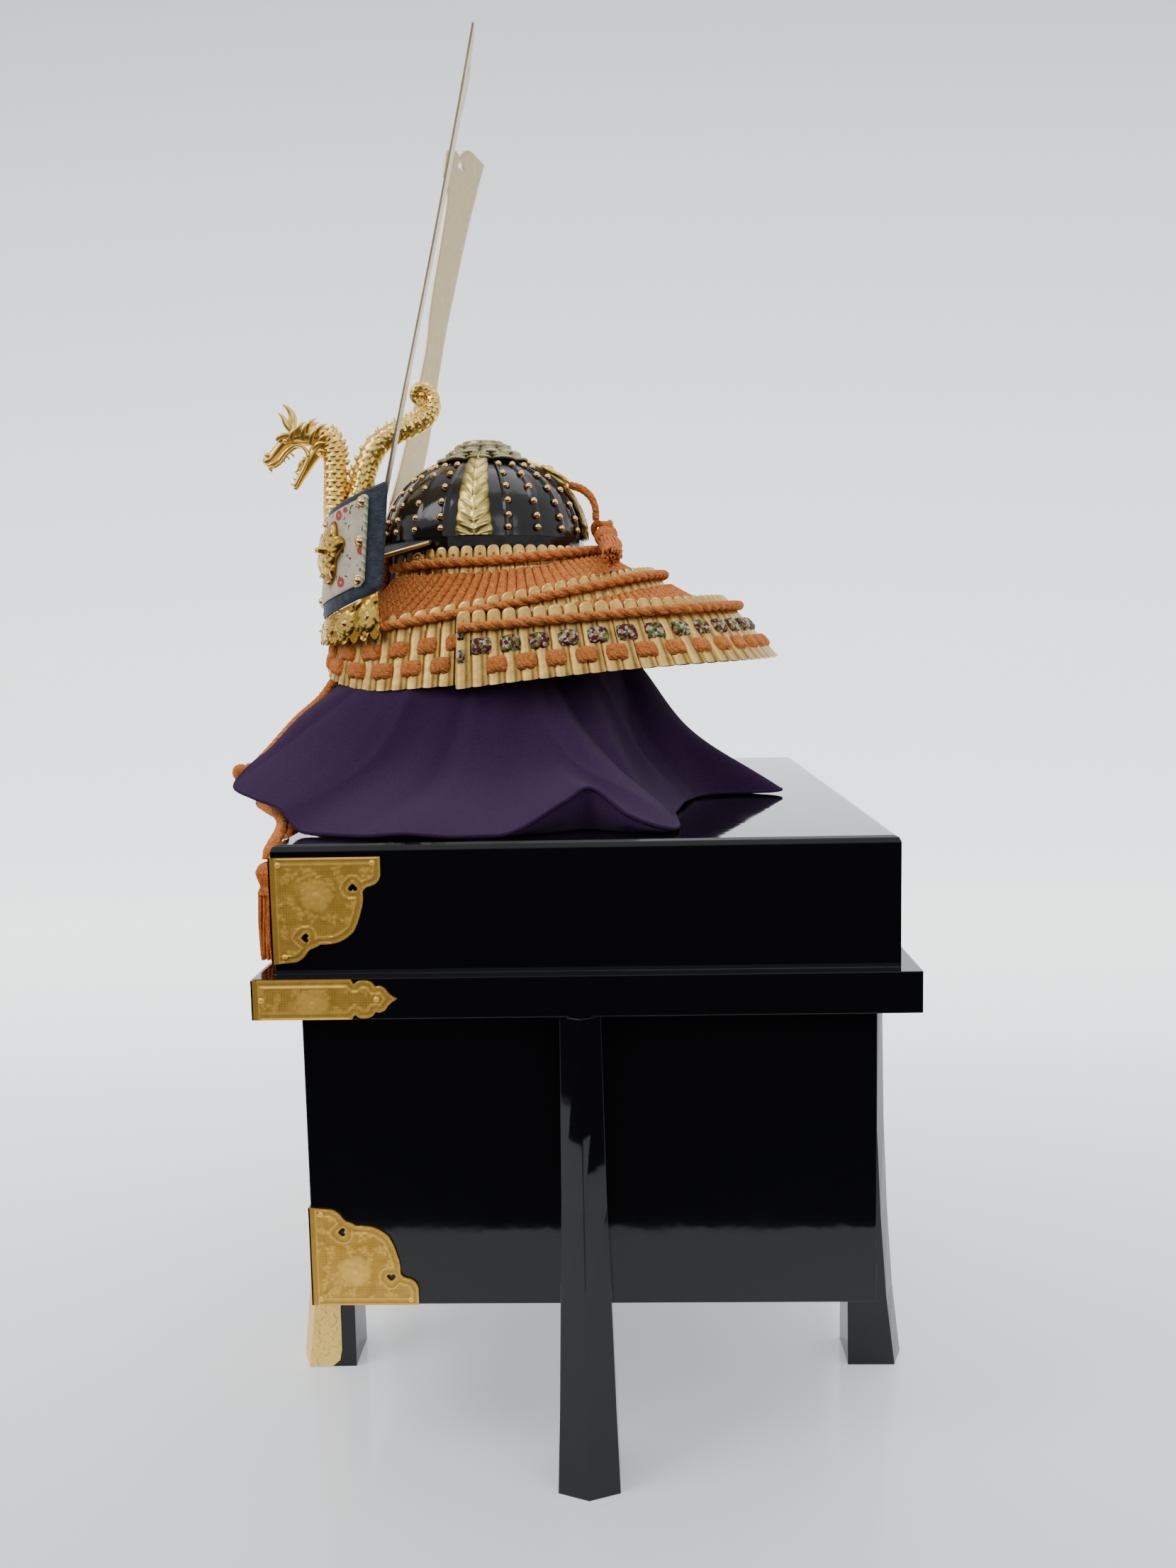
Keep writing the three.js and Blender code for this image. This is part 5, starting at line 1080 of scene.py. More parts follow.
class Guard:
    """A lame's middle surface. u runs from the left front end round the rear to the right front end,
    even along the rim; v from the heads (0) to the rim (1); out is the distance over the surface."""

    def __init__(self, rows):
        """The heads' line and the rim's line through the rows, each mirrored to the right side."""
        rows = np.array(rows, float)
        heads = guard_point(rows[:, 0], rows[:, 1], rows[:, 2])
        rim = guard_point(rows[:, 0], rows[:, 3], rows[:, 4])
        self.heads = np.vstack([heads, heads[-2::-1] * [-1, 1, 1]])
        self.rim = np.vstack([rim, rim[-2::-1] * [-1, 1, 1]])
        self.steps = np.linspace(0, len(self.rim) - 1, 1601)
        line = spline_at(self.rim, self.steps)
        walked = walk(line)
        self.rim_length = walked[-1]
        self.walked = walked / walked[-1]
        top = spline_at(self.heads, self.steps)
        self.length = (self.rim_length + length_of(top)) / 2

    def flat(self, u, v):
        """The straight line from the heads' curve to the rim's at u, at share v."""
        t = np.interp(u, self.walked, self.steps)
        top, low = spline_at(self.heads, t), spline_at(self.rim, t)
        return top + (low - top) * np.asarray(v)[..., None]

    def point(self, u, v, out=0.0):
        """That point, moved out square to the line along the lame and the line down it."""
        u, v = np.broadcast_arrays(np.asarray(u, float), np.asarray(v, float))
        along = self.flat(np.minimum(u + 0.004, 1), v) - self.flat(np.maximum(u - 0.004, 0), v)
        down = self.flat(u, 1 + 0 * v) - self.flat(u, 0 * v)
        return self.flat(u, v) - unit(np.cross(along, down)) * np.asarray(out)[..., None] + AXIS

    def height(self, u):
        """Length of the line from the heads to the rim at u."""
        u = np.asarray(u, float)
        return np.linalg.norm(self.flat(u, 1 + 0 * u) - self.flat(u, 0 * u), axis=-1)

    def along(self, direction):
        """The u, on the left half, whose middle lies in a direction."""
        u = np.linspace(0, 0.5, 801)
        here = self.flat(u, 0 * u + 0.5)
        return np.interp(direction, np.degrees(np.arctan2(here[:, 1], here[:, 0])), u)


upper, middle, lower = Guard(UPPER_ROWS), Guard(MIDDLE_ROWS), Guard(LOWER_ROWS)


def scales_of(surface, pair_pitch):
    """How many single scales a lame has: two for each pair."""
    return 2 * round(surface.length / pair_pitch)


def lame_part(surface, count, head, cells=12, rows=30):
    """A lame of scales. Across a scale x runs from -1 to 1: its head is a bullet shape, a low arch over
    x, raised in a dome, with a small hole under it; below, the sheet is ribbed once for each scale."""
    columns = count * cells + 1
    u = np.arange(columns) / (columns - 1)
    x = 2 * ((np.arange(columns) % cells) / cells) - 1
    x[-1] = -1
    pitch = surface.length / count
    tall = surface.height(u)
    top = head * (1 - np.sqrt(np.clip(1 - np.abs(x) ** 2.4, 0, 1)))
    share = np.linspace(0, 1, rows)[:, None] ** 1.25
    down = top + (tall - top) * share
    arch = np.sqrt(np.clip(1 - np.abs(x) ** 2.2, 0, 1))
    from_top = np.clip((down - top) / (0.16 * pitch), 0, 1)
    dome = np.sqrt(1 - (1 - from_top) ** 2)
    head_zone = np.clip((1.25 * pitch - down) / (0.5 * pitch), 0, 1)
    out = SCALE_RELIEF * arch * (0.62 + 0.5 * head_zone * dome) + 0.3 * MM * x
    hole_x, hole_y = x * pitch / 2, down - 0.78 * pitch
    hole = np.exp(-((hole_x / (0.62 * MM)) ** 2 + (hole_y / (0.75 * MM)) ** 2) ** 1.6)
    ripple = 0.1 * MM * np.sin(2 * np.pi * down / (2.6 * MM)) * (1 - head_zone) * arch
    out = out - 0.95 * MM * hole + ripple
    out = out - 0.35 * MM * (1 - dome) * arch
    edge_dip = 0.7 * MM * arch * np.clip((share - 0.97) / 0.03, 0, 1)
    v = np.clip((down + edge_dip) / tall, 0, 1.02)
    outer = surface.point(u[None, :] + 0 * v, v, out)
    inner = surface.point(u[None, :] + 0 * v, v, 0 * out - LAME_WALL)
    # Painted light and shade: below its head each scale is lit on one side and shaded on the other; each is
    # darker towards its edges and at the rim of its head, and dark in its hole. The back is an even middle
    # tone.
    slant = 0.5 + (0.2 * np.cos(3 * np.pi * x) - 0.5 * np.sin(np.pi * (x + 0.15))) * (1 - head_zone)
    tone = np.clip((0.25 + 0.75 * slant) * (0.35 + 0.65 * arch) * (0.45 + 0.55 * dome) - 1.1 * hole, 0, 1)
    back = np.full_like(tone, 0.4)
    return with_tone(wall_part(outer, inner), np.concatenate([tone, back]).ravel())


scale_gold = toned("scale_gold", (0.15, 0.065, 0.012), (0.92, 0.60, 0.18), 0.34, grain=700, depth=0.00008,
                   first=-0.05, last=0.9)
lead(scale_gold, ranged(scale_gold, noise(scale_gold, place(scale_gold), 90, 5), 0.3, 0.7, 0.27, 0.46),
     "Roughness")
UPPER_PAIR = 15.2 * MM
LOWER_PAIR = 17.2 * MM
HEAD = 4.2 * MM
LAMES = [("upper", upper, scales_of(upper, UPPER_PAIR)), ("middle", middle, scales_of(middle, LOWER_PAIR)),
         ("lower", lower, scales_of(lower, LOWER_PAIR))]
for name, surface, count in LAMES:
    piece(f"lame_{name}_scales", [lame_part(surface, count, HEAD)], scale_gold,
          [f"lame_{name}"], smooth=42)

# Ropes: a fat cord of two orange strands tied down along each lame under the heads of its scales, so
# that one slanted lump shows on each scale. Its place down a lame is a share of the lame's height.
ROPE_RADIUS = 2.3 * MM
ROPE_DOWN = {"upper": 0.52, "middle": 0.16, "lower": 0.24}


def rope_part(surface, v, count):
    """Two strands laid together along the lame: the section has two lobes that turn half round for
    each scale."""
    u = np.linspace(0.004, 0.996, count * 9)
    line = surface.point(u, 0 * u + v, 0 * u + SCALE_RELIEF + 3 * FIT + ROPE_RADIUS * 0.92)
    side, other, _ = across_frames(line)
    angle = np.linspace(0, 2 * np.pi, 18, endpoint=False)[None, :]
    turn = np.pi * count * u[:, None]
    lobes = np.abs(np.cos(angle - turn)) ** 0.55
    radius = ROPE_RADIUS * (0.62 + 0.62 * lobes)
    ring = round_about(side, other, angle)
    return grid_part(line[:, None] + radius[..., None] * ring, wrap_columns=True, caps=True)


for name, surface, count in LAMES:
    piece(f"rope_{name}_twisted", [rope_part(surface, ROPE_DOWN[name], count)], orange_cord,
          [f"rope_{name}"], smooth=60)

# Lacing: flat braids of orange silk, side by side, that hang each lame from the one above. They come out
# over one lame and go in behind the next.
BRAID_WIDTH = 7.8 * MM
BRAID_THICK = 2 * MM
BRAID_RELIEF = 0.9 * MM
BRAID_SAG = 1.6 * MM


def lacing_part(above, first, below, last, cells=10, rows=26):
    """Braids from over one lame to behind the next, as a row of low arches with a chevron in each face.
    first and last give the stretch along each lame and the height on it."""
    (u0, u1, v_from), (w0, w1, v_to) = first, last
    braids = round(below.length * (w1 - w0) / BRAID_WIDTH)
    columns = braids * cells + 1
    share = np.arange(columns) / (columns - 1)
    x = 2 * ((np.arange(columns) % cells) / cells) - 1
    arch = np.sqrt(np.clip(1 - np.abs(x) ** 2.6, 0, 1))
    q = np.linspace(0, 1, rows)[:, None]
    start = SCALE_RELIEF + FIT
    end = -LAME_WALL - FIT - BRAID_THICK - BRAID_RELIEF
    tip = 0.055 * (1 - arch)
    a, b = u0 + (u1 - u0) * share, w0 + (w1 - w0) * share

    def sheet(off):
        """Straight lines from the upper lame to behind the lower one, with a sine sag in the middle."""
        top = above.point(a, 0 * a + v_from + tip, start + off)
        low = below.point(b, 0 * b + v_to, end + off)
        line = top + (low - top) * q[..., None]
        line[..., 2] -= BRAID_SAG * np.sin(np.pi * q)
        return line

    chevron = 0.12 * MM * np.sin(2 * np.pi * (q * 9 + 0.7 * np.abs(x)))
    lift = BRAID_THICK * 0.25 + (BRAID_RELIEF + BRAID_THICK * 0.75) * arch
    outer = sheet(0 * a)
    normal = sheet(0 * a + MM) - outer
    outer = outer + normal / MM * (lift[None, :] + chevron * arch)[..., None]
    inner = sheet(0 * a)
    return wall_part(outer, inner)


braid = orange_thread("orange_braid", 1200)
piece("lacing_upper_braids", [lacing_part(upper, (0.01, 0.99, 0.84), middle, (0.01, 0.99, 0.12))],
      braid, ["lacing_upper"], smooth=60)
piece("lacing_lower_braids", [lacing_part(middle, (0.24, 0.76, 0.3), lower, (0.02, 0.98, 0.22))],
      braid, ["lacing_lower"], smooth=60)

# Knots of the lacing that show on the lames: small pillows of thread, each pulled down at its corners,
# in staggered rows. The upper row on the lower lame is of green, white, wine-red and gold thread mixed,
# the others are orange. Rows are shares of the lame's height.
KNOT_SIZE = (12.6 * MM, 10 * MM)
END_KNOT_SIZE = (5 * MM, 8 * MM)
KNOT_LIFT = 2.6 * MM
KNOT_ROWS = (0.49, 0.755)


def pillow_part(surface, u, v, size=KNOT_SIZE):
    """A pillow on a lame: bulging in the middle, its corners sunk, its lower edge notched."""
    a, b = np.meshgrid(np.linspace(-1, 1, 13), np.linspace(-1, 1, 11))
    notch = 0.28 * np.exp(-(a / 0.16) ** 2) * np.clip(b, 0, 1) ** 3
    x = a * (1 - 0.16 * b * b) * size[0] / 2
    y = (b * (1 - 0.14 * a * a) - notch) * size[1] / 2
    bulge = (1 - np.abs(a) ** 3.2) * (1 - np.abs(b) ** 3.2)
    crease = 0.25 * np.abs(np.sin(2.5 * np.pi * a + 1.2 * b))
    out = SCALE_RELIEF * 0.5 + KNOT_LIFT * bulge ** 0.5 * (1 - 0.18 * crease)
    u, v = u + x / surface.rim_length, np.clip(v + y / surface.height(u), 0, 1.05)
    return wall_part(surface.point(u, v, out), surface.point(u, v, 0 * out))


def bands(material, value, colours):
    """Flat bands of colour over a value: for each, where it starts and its colour."""
    made = node(material, "ShaderNodeValToRGB", {0: value})
    made.color_ramp.interpolation = "CONSTANT"
    elements = made.color_ramp.elements
    for k, (start, colour) in enumerate(colours):
        element = elements[k] if k < 2 else elements.new(start)
        element.position = start
        element.color = (*colour, 1)
    return made.outputs[0]


mixed_silk = orange_thread("mixed_silk")
lead(mixed_silk, bands(mixed_silk, cells(mixed_silk, place(mixed_silk), 620.0, "Color"), [
    (0, (0.15, 0.018, 0.04)), (0.4, (0.62, 0.58, 0.48)), (0.55, (0.13, 0.22, 0.04)),
    (0.72, (0.40, 0.28, 0.10)),
]), "Base Color")
knot_silks = {"orange": braid, "mixed": mixed_silk}
pillows = {silk: [] for silk in knot_silks}
pitch_u = LOWER_PAIR / lower.rim_length
for u in np.arange(0.03, 0.975, pitch_u):
    pillows["mixed"].append(pillow_part(lower, u, KNOT_ROWS[0]))
    pillows["orange"].append(pillow_part(lower, u + pitch_u / 2, KNOT_ROWS[1]))
for u in (0.006, 0.994):
    for v in (0.3, 0.6):
        pillows["mixed"].append(pillow_part(lower, u, v, END_KNOT_SIZE))
pitch_u = LOWER_PAIR / middle.rim_length
for u in np.arange(0.012, 0.235, pitch_u):
    for v, shift in zip(KNOT_ROWS, (0, 0.5)):
        at = u + shift * pitch_u
        pillows["orange"] += [pillow_part(middle, at, v), pillow_part(middle, 1 - at, v)]
for silk, parts in pillows.items():
    piece(f"lacing_knots_{silk}", parts, knot_silks[silk], smooth=60)

# Chrysanthemum studs: a disc of gilt sheet with twelve round petals and a round middle, one on each side
# of the upper lame, towards the front.
STUD_DIRECTION = -32
STUD_DOWN = 0.26
STUD_DISC = 4.4 * MM
PETALS = 12
studs = []
stud_u = upper.along(STUD_DIRECTION)
for u in (stud_u, 1 - stud_u):
    here = upper.point(u, STUD_DOWN, SCALE_RELIEF + 0.9 * MM)
    there = upper.point(u, STUD_DOWN, SCALE_RELIEF + 1.9 * MM)
    normal = unit(there - here)
    studs.append(with_tone(ball_part(here, STUD_DISC, 0.18, normal, sides=32, rows=6), 0.6))
    side = unit(np.cross(normal, [0, 0, 1]))
    other = np.cross(normal, side)
    for at in np.linspace(0, 2 * np.pi, PETALS, endpoint=False):
        petal = here + 2.9 * MM * (math.cos(at) * side + math.sin(at) * other) + 0.35 * MM * normal
        studs.append(with_tone(ball_part(petal, 0.95 * MM, 0.8, normal, sides=10, rows=5), 1.0))
    studs.append(with_tone(ball_part(here + 0.5 * MM * normal, 1.5 * MM, 0.9, normal), 1.0))
piece("chrysanthemum_studs", studs, rivet_gold)

# Visor: navy leather over a curved plate, fixed round the brow under the bowl, widest and lowest in the
# middle, with a gilt wire along its edge.
VISOR_REACH = 27 * MM
VISOR_FALL = 15 * MM
VISOR_WALL = 1.6 * MM
VISOR_HALF = 66
RIM_WIRE = 1.3 * MM


def visor_point(across, share, lift):
    """A point of the visor: across from -1 to 1 round the brow, share from the band out to the rim."""
    angle = np.radians(-90 + across * VISOR_HALF)
    swell = np.cos(across * np.pi / 2)
    reach = BOWL_RADIUS + PLATE_STEP + FIT + share * (2 * MM + VISOR_REACH * swell)
    down = share * (1 * MM + VISOR_FALL * swell)
    return np.stack([reach * np.cos(angle), reach * np.sin(angle), lift - 1.6 * MM - down], axis=-1) + AXIS


across, share = np.meshgrid(np.linspace(-1, 1, 90), np.linspace(0, 1, 20))
bow = 0.5 * MM * np.sin(np.pi * share)
navy = finish("navy_leather", (0.022, 0.03, 0.045), 0.55, Specular_IOR_Level=0.35)
navy_where = place(navy)
lead(navy, ramp(navy, noise(navy, navy_where, 300, 5), 0.35, 0.7,
                (0.018, 0.024, 0.034), (0.045, 0.058, 0.08)), "Base Color")
bump(navy, cells(navy, navy_where, 1100.0), 0.00018)
visor_top, visor_under = (visor_point(across, share, bow - wall) for wall in (0, VISOR_WALL))
piece("visor_leather", [wall_part(visor_top, visor_under)], navy, ["visor"])
edge_at = np.linspace(-1, 1, 140)
edge = visor_point(edge_at, 0 * edge_at + 1, 0 * edge_at - VISOR_WALL / 2)
away = unit((edge - AXIS) * [1, 1, 0])
piece("visor_rim_wire", [cord_part(edge + away * (RIM_WIRE + 1.5 * FIT), RIM_WIRE, 4 * MM, depth=0.0)],
      smooth_gilt, ["visor_rim"])

# Wings: the turned-back ends of the top lame, leather over plate. Each has a navy border, printed cream
# leather inside it, a twisted edging of green, white and gold thread, a cast peony and round rivets. In
# the table: direction, flare and drop of the top, flare and drop of the foot, and the foot's turn.
WING_ROWS = np.array([
    (-58.1, 0.307, 0.16, 0.352, -0.534, -1.7), (-50.4, 0.36, 0.172, 0.4, -0.519, -2),
    (-42.3, 0.38, 0.209, 0.414, -0.478, -2.2), (-34.1, 0.366, 0.265, 0.393, -0.417, -2.4),
    (-25.9, 0.322, 0.33, 0.343, -0.344, -2.6),
])
WING_WALL = 2 * MM
INSET_WALL = 0.8 * MM
CREST_WALL = 1.3 * MM
WING_TOP = guard_point(WING_ROWS[:, 0], WING_ROWS[:, 1], -WING_ROWS[:, 2])
WING_FOOT = guard_point(WING_ROWS[:, 0] + WING_ROWS[:, 5], WING_ROWS[:, 3], -WING_ROWS[:, 4])


def wing_point(s, t, out, mirror=False):
    """A point of a wing: s from its inner to its outer edge, t down the straight line from its top (0)
    to its foot (1), out square to the wing; mirror puts it on the wearer's right."""
    s, t, out = np.broadcast_arrays(np.asarray(s, float), np.asarray(t, float), np.asarray(out, float))

    def flat(s, t):
        """The straight line between the wing's two curves at s, at share t."""
        top, foot = spline_at(WING_TOP, s * 4), spline_at(WING_FOOT, s * 4)
        return top + (foot - top) * t[..., None]

    along = flat(np.minimum(s + 0.01, 1), t) - flat(np.maximum(s - 0.01, 0), t)
    down = flat(s, t * 0 + 1) - flat(s, t * 0)
    point = flat(s, t) - unit(np.cross(along, down)) * out[..., None]
    return point * ([-1, 1, 1] if mirror else [1, 1, 1]) + AXIS


WING_WIDE = length_of(spline_at(WING_TOP, np.linspace(0, 4, 50)))
WING_TALL = length_of(np.stack([spline_at(WING_TOP, np.array(2.0)), spline_at(WING_FOOT, np.array(2.0))]))


def on_wing(mirror, base=0.0):
    """A way to put flat points, in metres from the wing's inner top corner, on to a wing."""
    return lambda x, y, out: wing_point(x / WING_WIDE, y / WING_TALL, out + base, mirror)


def rounded(x0, y0, x1, y1, r):
    """A rectangle whose corners are quarter circles of radius r."""
    corners = [(x1 - r, y0 + r, -90), (x1 - r, y1 - r, 0), (x0 + r, y1 - r, 90), (x0 + r, y0 + r, 180)]
    points = []
    for cx, cy, start in corners:
        for a in np.radians(np.linspace(start, start + 90, 7)):
            points.append((cx + r * math.cos(a), cy + r * math.sin(a)))
    return np.array(points)


def painted(material, share, ground, paint):
    """The ground colour where share is 0 and the paint where it is 1."""
    made = node(material, "ShaderNodeMix", {0: share, 6: ground, 7: (*paint, 1)}, data_type="RGBA")
    return made.outputs[2]


leather = finish("printed_leather", (0.62, 0.55, 0.40), 0.6)
leather_where = place(leather)
cream = ramp(leather, noise(leather, leather_where, 120, 5), 0.3, 0.7, (0.50, 0.43, 0.29), (0.68, 0.60, 0.44))
from_flower = cells(leather, leather_where, 85.0)
petals = math_of(leather, "MULTIPLY", math_of(leather, "LESS_THAN", from_flower, 0.26),
                 math_of(leather, "GREATER_THAN", from_flower, 0.1))
vine_wave = node(leather, "ShaderNodeTexNoise", {"Vector": leather_where, "Scale": 200.0, "Detail": 1.5,
                                                 "Distortion": 1.8}).outputs[0]
with_vine = painted(leather, math_of(leather, "GREATER_THAN", vine_wave, 0.66), cream, (0.03, 0.06, 0.04))
lead(leather, painted(leather, petals, with_vine, (0.42, 0.05, 0.03)), "Base Color")
bump(leather, noise(leather, leather_where, 900, 3), 0.0001)

stitch = finish("stitched_edge", (0.6, 0.66, 0.5), 0.7, Sheen_Weight=0.3)
strand = node(stitch, "ShaderNodeAttribute", attribute_name="tone").outputs["Fac"]
lead(stitch, bands(stitch, strand, [
    (0, (0.70, 0.68, 0.55)), (0.34, (0.25, 0.36, 0.20)), (0.67, (0.62, 0.45, 0.17)),
]), "Base Color")
bump(stitch, noise(stitch, place(stitch), 1800, 3), 0.0001)


def edging_part(loop, radius, pitch):
    """A closed cord of three strands round a loop; its tone tells the strands apart by colour."""
    line = evenly(np.vstack([loop, loop[:1]]), 420)[:-1]
    tangent = unit(np.roll(line, -1, 0) - np.roll(line, 1, 0))
    side = unit(np.cross(tangent, line - line.mean(axis=0)))
    other = np.cross(tangent, side)
    angle = np.linspace(0, 2 * np.pi, 15, endpoint=False)[None, :]
    whole = max(1, round(length_of(line) / pitch))
    phase = (3 * angle / (2 * np.pi) + whole * np.linspace(0, 1, len(line), endpoint=False)[:, None] * 3)
    size = radius * (0.75 + 0.25 * np.abs(np.sin(np.pi * phase)) ** 0.6)
    ring = round_about(side, other, angle)
    part = grid_part(line[:, None] + size[..., None] * ring, wrap_rows=True, wrap_columns=True)
    return with_tone(part, (np.mod(np.floor(phase), 3) / 3 + 0.1).ravel())


cast_gold = toned("cast_gold", (0.34, 0.17, 0.02), (1.0, 0.68, 0.17), 0.25, grain=700, depth=0.00006,
                  first=-0.1, last=0.8)
panel_outline = rounded(0, 0, WING_WIDE, WING_TALL, 2.5 * MM)
inset_outline = rounded(0.03 * WING_WIDE, 0.065 * WING_TALL, 0.82 * WING_WIDE, 0.87 * WING_TALL, 2 * MM)
# The peony: an open flower, with five leaves round it that each run out in four ever smaller strokes.
PEONY_X = 0.4 * WING_WIDE
PEONY_Y = 0.42 * WING_TALL
PEONY_LEAVES = [(2.1, 0.27), (0.9, 0.27), (1.5, 0.32), (-2.2, 0.2), (-0.9, 0.2)]  # direction, distance
WING_RIVETS = [(0.78, 0.11), (0.78, 0.47), (0.78, 0.83), (0.08, 0.11), (0.08, 0.83)]
peony = rosette(PEONY_X, PEONY_Y, 0.2 * WING_WIDE)
for at, far in PEONY_LEAVES:
    cx = PEONY_X + far * WING_WIDE * math.cos(at) * 0.75
    cy = PEONY_Y + far * WING_WIDE * math.sin(at)
    peony += [(cx + 1.6 * MM * j * math.cos(at), cy + 1.6 * MM * j * math.sin(at), (3.6 - 0.6 * j) * MM,
               (2.6 - 0.45 * j) * MM) for j in range(4)]
peony_edge = []
for a in np.linspace(0, 2 * np.pi, 80, endpoint=False):
    reach = 0.26 * WING_WIDE * (0.86 + 0.14 * math.cos(5 * a)) * (1 + 0.28 * max(0, math.sin(a)) ** 3)
    peony_edge.append((PEONY_X + 0.86 * reach * math.cos(a), PEONY_Y + reach * math.sin(a)))
for hand, mirror in (("left", False), ("right", True)):
    piece(f"wing_panel_{hand}_leather",
          [cut_plate(panel_outline, [], 1.2 * MM, on_wing(mirror), WING_WALL, dome=0.8 * MM)],
          navy, [f"wing_panel_{hand}"])
    piece(f"wing_inset_{hand}_print",
          [cut_plate(inset_outline, [], 1.0 * MM, on_wing(mirror, WING_WALL + FIT), INSET_WALL,
                     dome=0.5 * MM)],
          leather, [f"wing_inset_{hand}"])
    inner_loop = on_wing(mirror, WING_WALL + 0.8 * MM)(inset_outline[:, 0], inset_outline[:, 1],
                                                       0 * inset_outline[:, 0])
    piece(f"wing_edging_{hand}", [edging_part(inner_loop, 1.3 * MM, 4.4 * MM)], stitch)
    piece(f"wing_crest_{hand}_cast",
          [cut_plate(np.array(peony_edge), [], 0.55 * MM, on_wing(mirror, WING_WALL + INSET_WALL + 2 * FIT),
                     CREST_WALL, lambda x, y, inward: 0.8 * strokes(peony, x, y), dome=0.5 * MM)],
          cast_gold, [f"wing_crest_{hand}"], smooth=60)
    wing_rivets = []
    for s, t in WING_RIVETS:
        here = wing_point(s, t, WING_WALL + INSET_WALL, mirror)
        normal = unit(wing_point(s, t, WING_WALL + INSET_WALL + MM, mirror) - here)
        wing_rivets.append(with_tone(ball_part(here, 3.6 * MM, 0.16, normal, sides=20, rows=5), 0.75))
        head = ball_part(here + 0.3 * MM * normal, 2.6 * MM, 0.95, normal, sides=18)
        wing_rivets.append(with_tone(head, 1.0))
    piece(f"wing_rivets_{hand}", wing_rivets, rivet_gold)

# Relief plates: a cast and gilt strip of flowers and scrolls under each wing, with a jagged lower edge
# that lies over the middle lame and its rope. In the table: share across the wing, direction and height
# on the middle lame.
RELIEF_ROWS = np.array([(0.04, -59.4, 0.5), (0.25, -52.4, 0.45), (0.5, -44.5, 0.42), (0.75, -36.5, 0.38),
                        (0.96, -29.5, 0.34)])
RELIEF_WALL = 0.9 * MM
JAGS = 9
JAG_STEPS = 6
OVER_ROPE = SCALE_RELIEF + 4 * FIT + 2 * ROPE_RADIUS


def relief_point(s, t, out, mirror=False):
    """A point of the relief plate: s along it, t down the straight line from the wing's foot (0) to a
    point over the middle lame (1)."""
    s, t, out = np.broadcast_arrays(np.asarray(s, float), np.asarray(t, float), np.asarray(out, float))
    row = spline_at(RELIEF_ROWS * [100, 1, 100], s * 4) / [100, 1, 100]
    high = wing_point(row[..., 0], 1.012, out) - AXIS
    low = middle.point(middle.along(row[..., 1]), row[..., 2], OVER_ROPE + out) - AXIS
    point = high + (low - high) * t[..., None]
    return point * ([-1, 1, 1] if mirror else [1, 1, 1]) + AXIS


RELIEF_WIDE = length_of(relief_point(np.linspace(0, 1, 40), 0.5, 0.0))
RELIEF_TALL = length_of(relief_point(0.5, np.linspace(0, 1, 20), 0.0))
jagged = [(0, 0), (RELIEF_WIDE, 0)]
for k in range(JAGS * JAG_STEPS + 1):
    back = 1 - k / (JAGS * JAG_STEPS)
    jag = 0.78 + 0.22 * abs(math.sin(math.pi * JAGS * back)) ** 0.7
    jagged.append((RELIEF_WIDE * back, RELIEF_TALL * jag))
relief_discs = scrolls(np.random.default_rng(21), RELIEF_WIDE, RELIEF_TALL, 7 * MM, 1.5 * MM)
for k in range(4):
    relief_discs += rosette(RELIEF_WIDE * (k + 0.5) / 4, RELIEF_TALL * 0.45, 6.4 * MM, turn=0.4 * k)
for hand, sign in HANDS:
    def on_relief(x, y, out):
        """Puts flat points, in metres from the plate's inner top corner, on to the plate."""
        return relief_point(x / RELIEF_WIDE, y / RELIEF_TALL, out, sign < 0)

    piece(f"wing_relief_{hand}_cast",
          [cut_plate(np.array(jagged), [], 0.55 * MM, on_relief, RELIEF_WALL,
                     lambda x, y, inward: 0.6 * strokes(relief_discs, x, y))],
          cast_gold, [f"wing_relief_{hand}"], smooth=60)

# Crest holder: a cast and gilt plate with a scalloped top that stands on the visor, with a socket block
# behind it for the horns. The holder, the horns and the dragon before it are turned together a little
# about the bowl's axis.
CREST_TURN = math.radians(5.9)
CREST_SEAT = 70 * MM
HOLDER_DROP = 5.6 * MM
HOLDER_WIDE = 60 * MM
HOLDER_TALL = 20 * MM
HOLDER_WALL = 2.4 * MM
SOCKET_DEEP = 2.6 * MM
HOLDER_FLOWERS = [(0, 0.35, 6 * MM), (-0.62, 0.3, 5 * MM), (0.62, 0.3, 5 * MM)]
turn_cos, turn_sin = math.cos(CREST_TURN), math.sin(CREST_TURN)
CREST_BASIS = np.array([[turn_cos, turn_sin, 0], [-turn_sin, turn_cos, 0], [0, 0, 1]])


def on_crest(points):
    """Places of the crest group in the row frame: turned about the bowl's axis and moved to it."""
    return np.asarray(points) @ CREST_BASIS + AXIS


half = HOLDER_WIDE / 2
# The scalloped top, from one end to the other.
holder_outline = curved(
    [(-half, -HOLDER_DROP)], [(half, -HOLDER_DROP)], [(half, 0.6 * HOLDER_TALL)],
    [(0.92 * half, 0.62 * HOLDER_TALL), (0.86 * half, 0.86 * HOLDER_TALL)],
    [(0.7 * half, 1.02 * HOLDER_TALL), (0.56 * half, 0.86 * HOLDER_TALL)],
    [(0.4 * half, 0.78 * HOLDER_TALL), (0.3 * half, 0.96 * HOLDER_TALL)],
    [(0.12 * half, 1.1 * HOLDER_TALL), (0, 1.0 * HOLDER_TALL)],
    [(-0.12 * half, 1.1 * HOLDER_TALL), (-0.3 * half, 0.96 * HOLDER_TALL)],
    [(-0.4 * half, 0.78 * HOLDER_TALL), (-0.56 * half, 0.86 * HOLDER_TALL)],
    [(-0.7 * half, 1.02 * HOLDER_TALL), (-0.86 * half, 0.86 * HOLDER_TALL)],
    [(-0.92 * half, 0.62 * HOLDER_TALL), (-half, 0.6 * HOLDER_TALL)],
)
